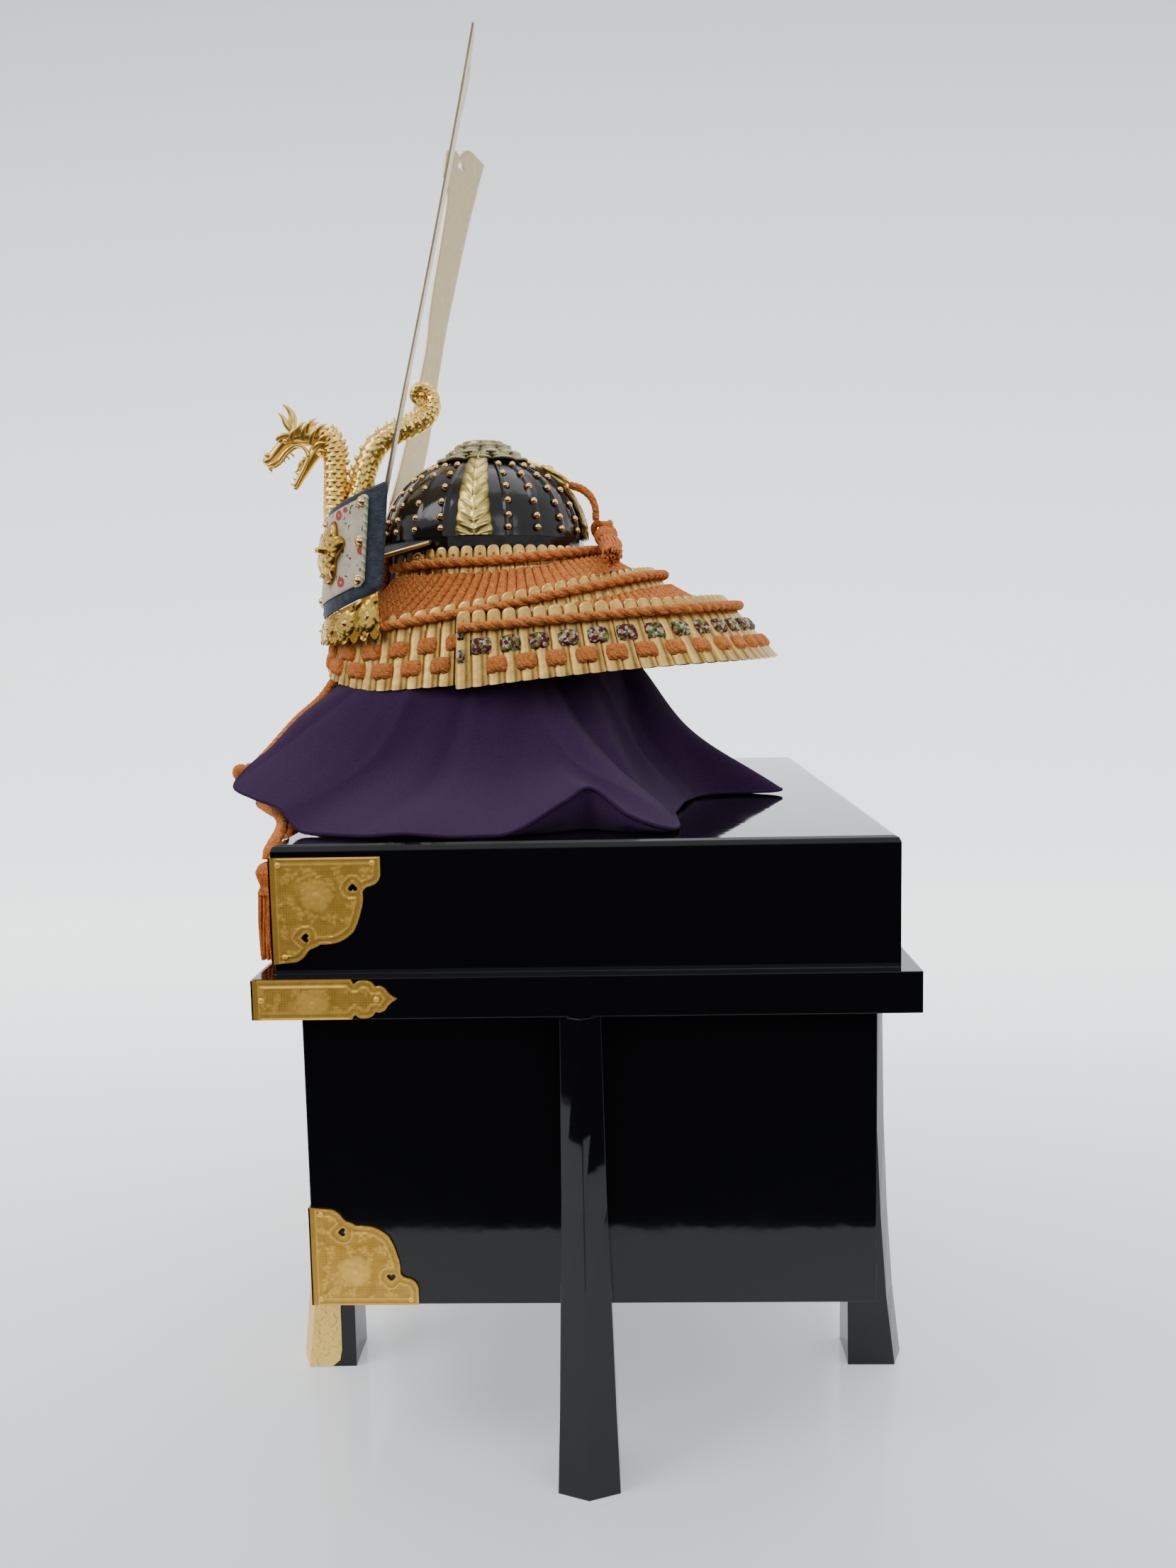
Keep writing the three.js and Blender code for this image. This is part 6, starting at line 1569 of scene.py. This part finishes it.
holder_discs = [(x - half, y - HOLDER_DROP, r, h) for x, y, r, h in
                scrolls(np.random.default_rng(31), HOLDER_WIDE, HOLDER_TALL + HOLDER_DROP, 9 * MM, 1.5 * MM)]
for x, y, radius in HOLDER_FLOWERS:
    holder_discs += rosette(x * half, y * HOLDER_TALL, radius)
piece("horn_holder_cast",
      [cut_plate(holder_outline, [], 0.6 * MM,
                 lambda x, y, out: on_crest(np.stack([x, -CREST_SEAT - out, y], axis=-1)),
                 HOLDER_WALL, lambda x, y, inward: 0.45 * strokes(holder_discs, x, y)),
       cut_plate(rounded(-0.9 * half, 0, 0.9 * half, 0.5 * HOLDER_TALL, 2 * MM), [], 1.5 * MM,
                 lambda x, y, out: on_crest(np.stack([x, SOCKET_DEEP - CREST_SEAT - out, y], axis=-1)),
                 SOCKET_DEEP + FIT, dome=0.8 * MM)],
      cast_gold, ["horn_holder"], smooth=60)

# Horns: two tall blades of pale matte gilt sheet, broad and notched at the head, with a heart cut out
# below the notch. Each slides into the socket by a narrow tang and has turned a little in it.
HORN_LENGTH = 271.4 * MM
HORN_SHAFT = 24 * MM
HORN_WALL = 1.4 * MM
HORN_SPREAD = 82.7 * MM
HORN_FOOT = 13 * MM
HORN_LEAN = math.radians(11.8)
HORN_TURN = math.radians(8.6)
HORN_SET = 2.2 * MM
HORN_RISE = 4.8 * MM
SHEET_TURNS = {"left": math.radians(-6.7), "right": math.radians(20.9)}
# Up the blade, its middle line's place outwards, and its edges inwards and outwards of that line.
HORN_ROWS = np.array([
    (0, 0, 0, 0.8), (0.085, 0.09, 0.05, 0.9), (0.11, 0.12, 0.15, 2), (0.215, 0.255, 0.2, 2),
    (0.46, 0.54, 0.55, 1.15), (0.62, 0.715, 1.3, 0.72), (0.86, 0.92, 2, 0.55), (0.91, 0.95, 2.75, 0.62),
    (0.95, 0.97, 2.95, 0.68), (1, 1, 0.8, 0.8),
])
# The head's upper edge from its inner lobe over the notch to the tip: across in shaft halves, then up.
HORN_HEAD = np.array([
    (-2.96, 0.95), (-2.86, 0.966), (-2.6, 0.977), (-2.3, 0.979), (-1.95, 0.9775), (-1.66, 0.972),
    (-1.58, 0.981), (-1.36, 0.995), (-1.0, 1.004), (-0.55, 1.006), (0.1, 1.003), (0.8, 1),
])


def horn_line(up):
    """Place outwards of a blade's middle line at a share of its length."""
    return np.interp(up, HORN_ROWS[:, 0], HORN_ROWS[:, 1]) * HORN_SPREAD


def horn_outline():
    """The blade flat: up its inner edge, over its head and down its outer edge."""
    def edge(column, sign, rows):
        """One edge through rows of the table: the middle line's place, less or plus the column."""
        share = spline_at(rows[:, [0, column]], np.linspace(0, len(rows) - 1, 60))
        return np.stack([horn_line(share[:, 0]) + sign * share[:, 1] * HORN_SHAFT / 2,
                         share[:, 0] * HORN_LENGTH], axis=1)
    inner = [edge(2, -1, HORN_ROWS[:3]), edge(2, -1, HORN_ROWS[2:9])[1:-1]]
    head = np.stack([horn_line(HORN_HEAD[:, 1]) + HORN_HEAD[:, 0] * HORN_SHAFT / 2,
                     HORN_HEAD[:, 1] * HORN_LENGTH], axis=1)
    outer = [edge(3, 1, HORN_ROWS[2:])[::-1][1:], edge(3, 1, HORN_ROWS[:2])[::-1]]
    return np.vstack(inner + [head] + outer)


def on_horn(hand):
    """Puts flat points of a blade in the row frame: its sheet turned about its middle line, then the
    blade turned, leant back and set on its foot."""
    def put(x, y, out):
        """Three turns one after the other: about the middle line, in the blade's plane, and backwards."""
        middle_line = horn_line(np.asarray(y) / HORN_LENGTH)
        across = x - middle_line
        c, s = math.cos(SHEET_TURNS[hand]), math.sin(SHEET_TURNS[hand])
        px, py = middle_line + across * c - out * s, across * s + out * c
        c, s = math.cos(HORN_TURN), math.sin(HORN_TURN)
        px, py = px * c - py * s, px * s + py * c
        c, s = math.cos(-HORN_LEAN), math.sin(-HORN_LEAN)
        py, pz = py * c - y * s, py * s + y * c
        sign = 1 if hand == "left" else -1
        return on_crest(np.stack([sign * (px + HORN_FOOT), py - CREST_SEAT + 3 * FIT + HORN_SET,
                                  pz - HOLDER_DROP + HORN_RISE], axis=-1))
    return put


HEART_UP = 0.955
HEART_INWARDS = 17 * MM
BLADE_HEART = 3.6 * MM
blade_heart = heart(horn_line(HEART_UP) - HEART_INWARDS, HEART_UP * HORN_LENGTH, BLADE_HEART, math.pi)
pale_metal = toned("pale_gilt_blade", (0.66, 0.53, 0.31), (0.92, 0.77, 0.49), 0.42, metallic=0.7, grain=420,
                   depth=0.00005, first=-0.6, last=0.5)
for hand in ("left", "right"):
    piece(f"horn_{hand}_blade",
          [cut_plate(horn_outline(), [blade_heart], 1.0 * MM, on_horn(hand), HORN_WALL, dome=0.25 * MM)],
          pale_metal, [f"horn_{hand}"])

# Dragon: cast in one piece and richly gilt. Neck and tail are scaled trunks that rise from a plinth on the
# visor. In the tables the places are shares of DRAGON, to the rear of the bowl's axis and up from the
# brow, and the girths are shares of TRUNK, tall and wide.
DRAGON = 80 * MM
TRUNK = 6.4 * MM
NECK_ROWS = [(-1.14, 0.05, 1.1), (-1.15, 0.27, 1.05), (-1.14, 0.45, 1.05), (-1.14, 0.66, 1), (-1.16, 0.77, 1),
             (-1.22, 0.84, 0.95)]
TAIL_ROWS = [(-1, 0.05, 0.95), (-0.99, 0.3, 1), (-0.94, 0.44, 1.05), (-0.9, 0.59, 1.05), (-0.8, 0.76, 1),
             (-0.65, 0.855, 0.95), (-0.54, 0.9, 0.9), (-0.45, 0.945, 0.85), (-0.395, 1.0, 0.8),
             (-0.372, 1.065, 0.68), (-0.383, 1.135, 0.55), (-0.425, 1.183, 0.48), (-0.48, 1.188, 0.44),
             (-0.517, 1.145, 0.4), (-0.51, 1.09, 0.34), (-0.47, 1.066, 0.26), (-0.44, 1.075, 0.12)]
SKULL_ROWS = [(-1.2, 0.8, 0.95, 0.85), (-1.28, 0.83, 1.1, 1.05), (-1.36, 0.83, 1.1, 1.15),
              (-1.43, 0.82, 0.95, 1.1), (-1.5, 0.79, 0.74, 0.95), (-1.56, 0.73, 0.62, 0.8),
              (-1.6, 0.685, 0.6, 0.74), (-1.635, 0.65, 0.68, 0.78), (-1.665, 0.63, 0.54, 0.64),
              (-1.68, 0.62, 0.2, 0.25)]
JAW_ROWS = [(-1.22, 0.78, 1.0, 0.85), (-1.28, 0.71, 0.8, 0.85), (-1.33, 0.63, 0.62, 0.75),
            (-1.38, 0.55, 0.5, 0.64), (-1.43, 0.47, 0.42, 0.55), (-1.45, 0.43, 0.2, 0.3)]
ANTLER_ROWS = [(-1.44, 0.84, 0.5, 0.42), (-1.45, 0.91, 0.46, 0.4), (-1.445, 0.98, 0.4, 0.36),
               (-1.47, 1.03, 0.28, 0.26), (-1.51, 1.06, 0.06, 0.06)]
PRONG_ROWS = [(-1.45, 0.86, 0.4, 0.36), (-1.49, 0.91, 0.36, 0.34), (-1.51, 0.96, 0.26, 0.26),
              (-1.545, 1.0, 0.06, 0.06)]
LIP = [(-1.62, 0.6), (-1.56, 0.64), (-1.5, 0.71), (-1.43, 0.755), (-1.37, 0.74), (-1.335, 0.68),
       (-1.36, 0.6), (-1.41, 0.51), (-1.45, 0.44)]


def trunk_part(rows, steps, sides=48, scaled=True, side=0.0, tilt=0.0):
    """An oval trunk through rows of place and girth in the plane x = side, covered in overlapping
    scales: on a diamond grid each scale is a small dome that drops at its rear edge. tilt leans the
    trunk sideways as it goes."""
    rows = np.array(rows, float)
    tall = rows[:, 2]
    wide = rows[:, 3] if rows.shape[1] > 3 else rows[:, 2]
    t = np.linspace(0, len(rows) - 1, steps)
    line = spline_at(np.stack([0 * tall + side, rows[:, 0] * DRAGON, rows[:, 1] * DRAGON], axis=1), t)
    line[:, 0] += tilt * np.linspace(0, 1, steps) ** 1.5
    girths = spline_at(np.stack([tall, wide, rows[:, 0] * 3], axis=1), t)
    tangent = unit(np.gradient(line, axis=0))
    square = unit(np.stack([0 * t, -tangent[:, 2], tangent[:, 1]], axis=1))
    aside = np.cross(tangent, square)
    walked = walk(line)
    angle = np.linspace(0, 2 * np.pi, sides, endpoint=False)[None, :]
    bumps = np.zeros((steps, sides))
    if scaled:
        row = walked[:, None] / (2.6 * MM)
        for turned in (0, 1):
            fx = 2 * ((angle / (2 * np.pi) * 8 + 0.5 * turned) % 1) - 1
            fy = ((row + turned) % 2) / 2
            bumps = np.maximum(bumps, np.clip(1.15 - fy - 0.9 * np.abs(fx) ** 1.5, 0, 1) ** 0.6 * (fy < 0.97))
    size = TRUNK * (0.84 + 0.3 * bumps)
    ring = round_about(square * girths[:, :1], aside * girths[:, 1:2], angle)
    part = grid_part(on_crest(line[:, None] + size[..., None] * ring), wrap_columns=True, caps=True)
    # Painted shade and light: the scaled trunks are dark in the gaps between scales and light on their domes;
    # the smooth ones are evenly light.
    tone = 0.35 + 0.65 * bumps if scaled else 0.85 + 0 * bumps
    return with_tone(part, np.append(tone.ravel(), [0.5, 0.5]))


def flame_part(root, path, width, flat=0.4, sides=12, steps=22):
    """A curved lock or spike: from its root along offsets in path, width falling to a point."""
    line = spline_at(np.array(root) + np.vstack([[0, 0, 0], path]), np.linspace(0, len(path), steps))
    tangent = unit(np.gradient(line, axis=0))
    square = unit(np.stack([0 * tangent[:, 0], -tangent[:, 2], tangent[:, 1]], axis=1) + [1e-6, 0, 0])
    aside = np.cross(tangent, square)
    share = np.linspace(0, 1, steps)
    size = width * (1 - share) ** 0.8 * (0.65 + 0.9 * share * (1 - share) * 2) + 0.06 * MM
    ring = round_about(square, flat * aside, np.linspace(0, 2 * np.pi, sides, endpoint=False)[None, :])
    points = on_crest(line[:, None] + size[:, None, None] * ring)
    return with_tone(grid_part(points, wrap_columns=True, caps=True), 0.9)


dragon_parts = [trunk_part(NECK_ROWS, 120), trunk_part(TAIL_ROWS, 190),
                trunk_part(SKULL_ROWS, 50, scaled=False), trunk_part(JAW_ROWS, 40, scaled=False)]
for side in (-0.35, 0.35):
    for rows in (ANTLER_ROWS, PRONG_ROWS):
        dragon_parts.append(trunk_part(rows, 30, 12, scaled=False, side=side * TRUNK, tilt=side * 4 * MM))
    lip = np.array([(1.75 * side * TRUNK, y * DRAGON, z * DRAGON) for y, z in LIP])
    lip = evenly(spline_at(lip, np.linspace(0, len(lip) - 1, 90)), 60)
    dragon_parts.append(with_tone(cord_part(on_crest(lip), 1.15 * MM, 4 * MM, depth=0.0, taper=True), 1.0))


def on_trunk(rows, t):
    """A trunk at t: its middle, the direction square to it in its plane, its own direction and girth."""
    rows = np.array(rows, float)

    def line(at):
        """The trunk's middle line."""
        places = np.stack([0 * rows[:, 0], rows[:, 0], rows[:, 1]], axis=1) * DRAGON
        return spline_at(places, np.array(float(at)))

    along = unit(line(min(t + 0.05, len(rows) - 1)) - line(max(t - 0.05, 0)))
    girth = np.interp(t, np.arange(len(rows)), rows[:, 2]) * TRUNK
    return line(t), np.array([0, -along[2], along[1]]), along, girth


# Spines down the back of the neck and of the tail: rows, span, how many, which side, and height in mm.
SPINES = [(NECK_ROWS, (0.5, 4.8), 14, -1, 4.2), (TAIL_ROWS, (0.9, 9.6), 24, 1, 4)]
for rows, span, count, sign, tall in SPINES:
    for t in np.linspace(*span, count):
        middle_at, square, along, girth = on_trunk(rows, t)
        root = middle_at + sign * square * girth * 0.7
        size = tall * MM * (girth / TRUNK)
        reach = [sign * square * size * out + along * up * size for out, up in ((0.7, 0.1), (1.2, 0.45))]
        dragon_parts.append(flame_part(root, reach, 2.7 * MM * girth / TRUNK, 0.6, 8, 8))
FLAMES = [(-1.37, 0.79, -1.28, 0.94), (-1.31, 0.76, -1.215, 0.895), (-1.29, 0.716, -1.18, 0.77),
          (-1.456, 0.78, -1.374, 0.9), (-1.41, 0.82, -1.33, 0.93), (-1.34, 0.84, -1.25, 0.955),
          (-1.27, 0.82, -1.17, 0.91), (-1.25, 0.76, -1.14, 0.83), (-1.26, 0.69, -1.19, 0.7)]
for y, z, tip_y, tip_z in FLAMES:
    for side, shrink in ((-1, 1), (1, 1), (-0.4, 0.85), (0.4, 0.85)):
        root = np.array([side * 0.8 * TRUNK, y * DRAGON, z * DRAGON])
        tip = np.array([side * 1.6 * MM, (tip_y - y) * DRAGON, (tip_z - z) * DRAGON]) * shrink
        bow = np.array([side * 1.2 * MM, -0.16 * tip[2], 0.16 * tip[1]])
        dragon_parts.append(flame_part(root, [0.5 * tip + bow, tip], 2.1 * MM, 0.7))
for side in (-1, 1):
    eye = [side * 0.88 * TRUNK, -1.5 * DRAGON, 0.785 * DRAGON]
    sideways = (side * turn_cos, side * turn_sin, 0.1)
    dragon_parts.append(with_tone(ball_part(on_crest(eye), 1.6 * MM, 1.0, sideways), 1))
    brow_root = [side * 0.7 * TRUNK, -1.56 * DRAGON, 0.79 * DRAGON]
    brow = np.array([[side * 1.2, 2.4, 2.4], [side * 1.6, 7, 3.4], [side * 1.6, 12, 2]]) * MM
    dragon_parts.append(flame_part(brow_root, brow, 2.3 * MM, 0.7))
    nostril = [side * 0.45 * TRUNK, -1.645 * DRAGON, 0.685 * DRAGON]
    dragon_parts.append(with_tone(ball_part(on_crest(nostril), 2 * MM, 0.9, (side * 0.6, -0.5, 0.7)), 0.9))
    cheek = [side * 0.72 * TRUNK, -1.64 * DRAGON, 0.6 * DRAGON]
    whisker = np.array([[side, 3, 1.4], [side * 1.2, 7, 4]]) * MM
    dragon_parts.append(flame_part(cheek, whisker, 1.3 * MM, 0.8, 8, 12))
    for k in range(6):
        at = k / 5
        upper_tooth = [side * 0.5 * TRUNK, (-1.63 + 0.17 * at) * DRAGON, (0.6 + 0.1 * at) * DRAGON]
        fang = 3.2 if k == 0 else 1.9
        dragon_parts.append(flame_part(upper_tooth, np.array([[0, 0.2, -0.5 * fang], [0, 0.6, -fang]]) * MM,
                                       0.75 * MM, 0.8, 7, 7))
        lower_tooth = [side * 0.4 * TRUNK, (-1.455 + 0.1 * at) * DRAGON, (0.46 + 0.2 * at) * DRAGON]
        dragon_parts.append(flame_part(lower_tooth, np.array([[0, -1.1, 0.5], [0, -2.1, 1.4]]) * MM,
                                       0.75 * MM, 0.8, 7, 7))
tongue = [0, -1.35 * DRAGON, 0.67 * DRAGON]
dragon_parts.append(flame_part(tongue, np.array([[0, -3.5, -3], [0, -6, -8], [0, -9, -9]]) * MM,
                               1.6 * MM, 1.6, 10, 18))
ball = np.array([0, -0.458 * DRAGON, 1.127 * DRAGON])
turns = np.linspace(0, 2 * np.pi, 16, endpoint=False)
lat = np.linspace(-np.pi / 2 * 0.96, np.pi / 2 * 0.96, 11)[:, None]
sphere = np.stack([np.cos(lat) * np.cos(turns), np.cos(lat) * np.sin(turns), np.sin(lat) + 0 * turns],
                  axis=-1)
dragon_parts.append(grid_part(on_crest(ball + 2.7 * MM * sphere), wrap_columns=True, caps=True))
PLINTH_LOW = -5.8 * MM
plinth_outline = rounded(-1.08 * TRUNK, -1.215 * DRAGON, 1.08 * TRUNK, -CREST_SEAT - HOLDER_WALL - FIT,
                         2 * MM)
dragon_parts.append(cut_plate(plinth_outline, [], 1.4 * MM,
                              lambda x, y, out: on_crest(np.stack([x, y, PLINTH_LOW + out], axis=-1)),
                              TRUNK - PLINTH_LOW, dome=2 * MM))
dragon_gold = toned("dragon_gold", (0.42, 0.22, 0.03), (1.0, 0.70, 0.20), 0.3, grain=500, depth=0.00005,
                    first=0.1)
piece("dragon_cast", dragon_parts, dragon_gold, ["dragon_crest"], smooth=50)

# Rear ring: a ring of round gilt wire that lies on the bowl's rear panel, held by a round-headed stud
# driven through the panel; the rear cord is tied to it. Both stand square to the bowl's slope there.
RING_RADIUS = 9 * MM
RING_WIRE = 1.6 * MM
STUD_DEPTH = 2.7 * MM
reach_step, rise_step = (BOWL_ROWS[4] - BOWL_ROWS[3]) * (BOWL_RADIUS, BOWL_HEIGHT)
slope = math.atan2(rise_step, -reach_step)
square_out = np.array([0, math.sin(slope), math.cos(slope)])
ring_middle, stud_middle = (sum(corners_of(name)) / 2 for name in ("rear_ring", "rear_stud"))
piece("rear_ring_wire", [ring_part(ring_middle, RING_RADIUS, RING_WIRE, square_out, 48, 14)],
      smooth_gilt, ["rear_ring"])
stud_foot = stud_middle - square_out * STUD_DEPTH
stud_line = stud_foot + np.linspace(0, 1, 8)[:, None] * square_out * 4.2 * MM
piece("rear_stud_round", [cord_part(stud_line, 2.2 * MM, 4 * MM, depth=0.0, reference=(1, 0, 0)),
                          ball_part(stud_foot + square_out * 4 * MM, 2.5 * MM, 0.55, square_out)],
      smooth_gilt, ["rear_stud"])

# Cloth: one square of purple twill with a narrow rolled hem, laid over the stand's cap inside the bowl and
# out over the lid, where it stands in soft folds. Columns: direction in degrees, then shares of the
# cloth's reach for its shoulder and knee, of its hump for the knee, and of both for the hem.
CLOTH_WALL = 1.5 * MM
CLOTH_REACH = 206 * MM
CLOTH_HUMP = 50 * MM
CLOTH_TOP = 30 * MM
CLOTH_TOP_RADIUS = 50 * MM
CLOTH_SHOULDER = 77 * MM
FOLD_DEPTH = 0.75 * MM
HEM_RADIUS = 1.1 * MM
FLAP_FROM = 8
FLAP_TO = 30
CLOTH_ROWS = np.array([
    (-90, 0.38, 0.39, 0.7, 0.408, 0), (-70, 0.41, 0.425, 0.76, 0.427, 0), (-60, 0.43, 0.47, 0.95, 0.5, 0.1),
    (-52, 0.455, 0.57, 1.06, 0.62, 0.5), (-45, 0.466, 0.675, 1.02, 0.74, 0.72),
    (-38.7, 0.46, 0.73, 0.92, 0.932, 0.42), (-33, 0.452, 0.7, 0.84, 0.945, 0.3),
    (-28, 0.445, 0.665, 0.72, 0.94, 0.2), (-23, 0.437, 0.63, 0.6, 0.96, 0), (-8, 0.417, 0.607, 0.5, 0.995, 0),
    (7, 0.408, 0.607, 0.48, 0.998, 0), (16, 0.408, 0.63, 0.5, 0.97, 0.28),
    (20, 0.408, 0.655, 0.52, 0.955, 0.4), (24, 0.41, 0.68, 0.54, 1.04, 0.14), (28, 0.42, 0.73, 0.6, 1.09, 0),
    (36, 0.427, 0.73, 0.56, 0.92, 0), (45, 0.427, 0.607, 0.5, 0.777, 0), (60, 0.427, 0.534, 0.6, 0.68, 0),
    (72, 0.447, 0.558, 0.8, 0.69, 0), (78, 0.46, 0.607, 0.7, 0.883, 0), (85, 0.45, 0.573, 0.76, 0.73, 0),
    (100, 0.437, 0.534, 0.7, 0.655, 0), (120, 0.427, 0.558, 0.6, 0.73, 0), (140, 0.427, 0.63, 0.56, 0.9, 0),
    (152, 0.427, 0.68, 0.56, 1.04, 0), (178, 0.417, 0.607, 0.5, 0.985, 0), (208, 0.427, 0.63, 0.6, 0.84, 0),
    (222, 0.435, 0.573, 0.76, 0.61, 0), (240, 0.427, 0.456, 0.8, 0.47, 0), (255, 0.408, 0.42, 0.74, 0.427, 0),
])
CLOTH_CAP = np.array([(0.12, 1), (1, 0.5), (1.09, 0.1), (1.14, -0.7), (1.28, -1.7)])
LID_LEVEL = LID_TOP - AXIS[2] + FIT + CLOTH_WALL
# Single folds: direction in degrees, half width, depth out of the cloth in mm, and how far its top leans.
CLOTH_FOLDS = [(30, 4, 2.2, -14), (40, 5, -6, -12), (52, 5, 2, -6), (-6, 3.5, 1.6, 10), (-14, 5, -2.2, 16),
               (-27, 4, 1.8, 9), (-40, 4, -2, 4), (10, 5, -1.4, -8), (66, 5, -2.5, 0), (110, 6, -2, 5),
               (165, 5, 2, 6), (200, 6, -2, -5)]


def cloth_rings():
    """The cloth's section rings, [ring][direction], from its top down to its hem, before AXIS."""
    angle = np.radians(CLOTH_ROWS[:, 0])
    reaches = [r * CLOTH_TOP_RADIUS + 0 * angle for r, _ in CLOTH_CAP]
    heights = [h * CLOTH_TOP + 0 * angle for _, h in CLOTH_CAP]
    reaches += [CLOTH_ROWS[:, k] * CLOTH_REACH for k in (1, 2, 4)]
    heights += [LID_LEVEL + CLOTH_SHOULDER + 0 * angle, LID_LEVEL + CLOTH_ROWS[:, 3] * CLOTH_HUMP,
                LID_LEVEL + CLOTH_ROWS[:, 5] * CLOTH_HUMP]
    return np.stack([np.stack([r * np.cos(angle), r * np.sin(angle), h], axis=-1)
                     for r, h in zip(reaches, heights)])


around = np.linspace(0, len(CLOTH_ROWS), 420, endpoint=False)
dense = np.stack([spline_at(ring, around, closed=True) for ring in cloth_rings()], axis=1)
down = np.concatenate([np.linspace(0, 4, 14, endpoint=False), np.linspace(4, 7, 90)])
cloth_base = np.stack([spline_at(column, down) for column in dense], axis=1)
bearing = np.arctan2(cloth_base[..., 1], cloth_base[..., 0])
skirt = np.clip((down - 4.6) / 2.4, 0, 1)[:, None]
swell = 4 * skirt * (1 - skirt) + 0.35 * skirt
cloth_rng = np.random.default_rng(5)
wrinkles = 0.8 * np.sin(9 * bearing + 2.2 * skirt) + 0.5 * np.sin(17 * bearing - 3 * skirt + 1)
for waves in (5, 7, 11, 14, 23):
    start_at, drift = cloth_rng.uniform(0, 6), cloth_rng.uniform(-6, 6)
    wrinkles = wrinkles + cloth_rng.uniform(0.3, 0.8) * np.sin(waves * bearing + start_at + drift * skirt)
for at, wide, depth, slant in CLOTH_FOLDS:
    off = (np.degrees(bearing) - at - slant * (1 - skirt) + 180) % 360 - 180
    wrinkles = wrinkles + 1.5 * depth * np.exp(-np.abs(off / wide) ** 1.2) / 0.75
along_ring = np.roll(cloth_base, -1, 1) - np.roll(cloth_base, 1, 1)
cloth_normal = unit(np.cross(along_ring, np.gradient(cloth_base, axis=0)))
if cloth_normal[-30:, :, 2].mean() < 0:
    cloth_normal = -cloth_normal
cloth_base = cloth_base + cloth_normal * (FOLD_DEPTH * wrinkles * swell)[..., None]
cloth_face = cloth_base + cloth_normal * CLOTH_WALL
cloth_base[..., 2] = np.maximum(cloth_base[..., 2], LID_LEVEL - CLOTH_WALL)
cloth_face[..., 2] = np.maximum(cloth_face[..., 2], LID_LEVEL)
purple = finish("purple_twill", (0.035, 0.009, 0.05), 0.95, Sheen_Weight=0.06, Sheen_Roughness=0.6,
                Specular_IOR_Level=0.05)
purple_where = place(purple)
threads = noise(purple, purple_where, 1700, 3, 0.75)
lead(purple, ramp(purple, threads, 0.25, 0.8, (0.014, 0.0045, 0.021), (0.058, 0.02, 0.082)), "Base Color")
bump(purple, threads, 0.0004)
cloth = piece("cloth_of_purple_twill", [wall_part(cloth_face + AXIS, cloth_base + AXIS, wrap=True)],
              purple, ["cloth_cover"], smooth=80)
hem_line = (cloth_face[-1] + cloth_base[-1]) / 2 + AXIS
hem_line[:, 2] = np.maximum(hem_line[:, 2], LID_TOP + FIT + 1.5 * MM)
hem_tangent = unit(np.roll(hem_line, -1, 0) - np.roll(hem_line, 1, 0))
hem_side = unit(np.cross(hem_tangent, [0, 0, 1]))
hem_other = np.cross(hem_side, hem_tangent)
ring_angle = np.linspace(0, 2 * np.pi, 10, endpoint=False)[None, :]
hem_points = hem_line[:, None] + HEM_RADIUS * round_about(hem_side, hem_other, ring_angle)
hem = piece("cloth_hem", [grid_part(hem_points, wrap_rows=True, wrap_columns=True)],
            purple, smooth=80)
# The underside of the hem that shows where the cloth stands up on the left: a strip bowed down to the lid.
hem_bearing = np.degrees(np.arctan2(cloth_face[-1, :, 1], cloth_face[-1, :, 0]))
flap_top = cloth_base[-1, (hem_bearing > FLAP_FROM) & (hem_bearing < FLAP_TO)] - [0, 0, 0.6 * MM]
flap_foot = flap_top * [0.965, 0.965, 1]
flap_foot[:, 2] = LID_LEVEL - CLOTH_WALL
drop = np.linspace(0, 1, 16)[:, None, None]
flap_face = flap_top + (flap_foot - flap_top) * drop + [0.0025, 0, 0] * np.sin(np.pi * drop)
flap_back = flap_face - [0.001, 0, 0]
flap = piece("cloth_turned_edge", [wall_part(flap_face + AXIS, flap_back + AXIS)],
             purple, smooth=80)

# Stand: a plain turned post of wood with a round cap that carries the helmet, set on the lid; the cloth
# covers it.
wood = finish("turned_wood", (0.25, 0.15, 0.08), 0.6)
wood_grain = noise(wood, place(wood), 60, 6)
lead(wood, ramp(wood, wood_grain, 0.3, 0.7, (0.18, 0.10, 0.05), (0.30, 0.19, 0.10)), "Base Color")
bump(wood, wood_grain, 0.0002)
dress(["helmet_stand"], wood)
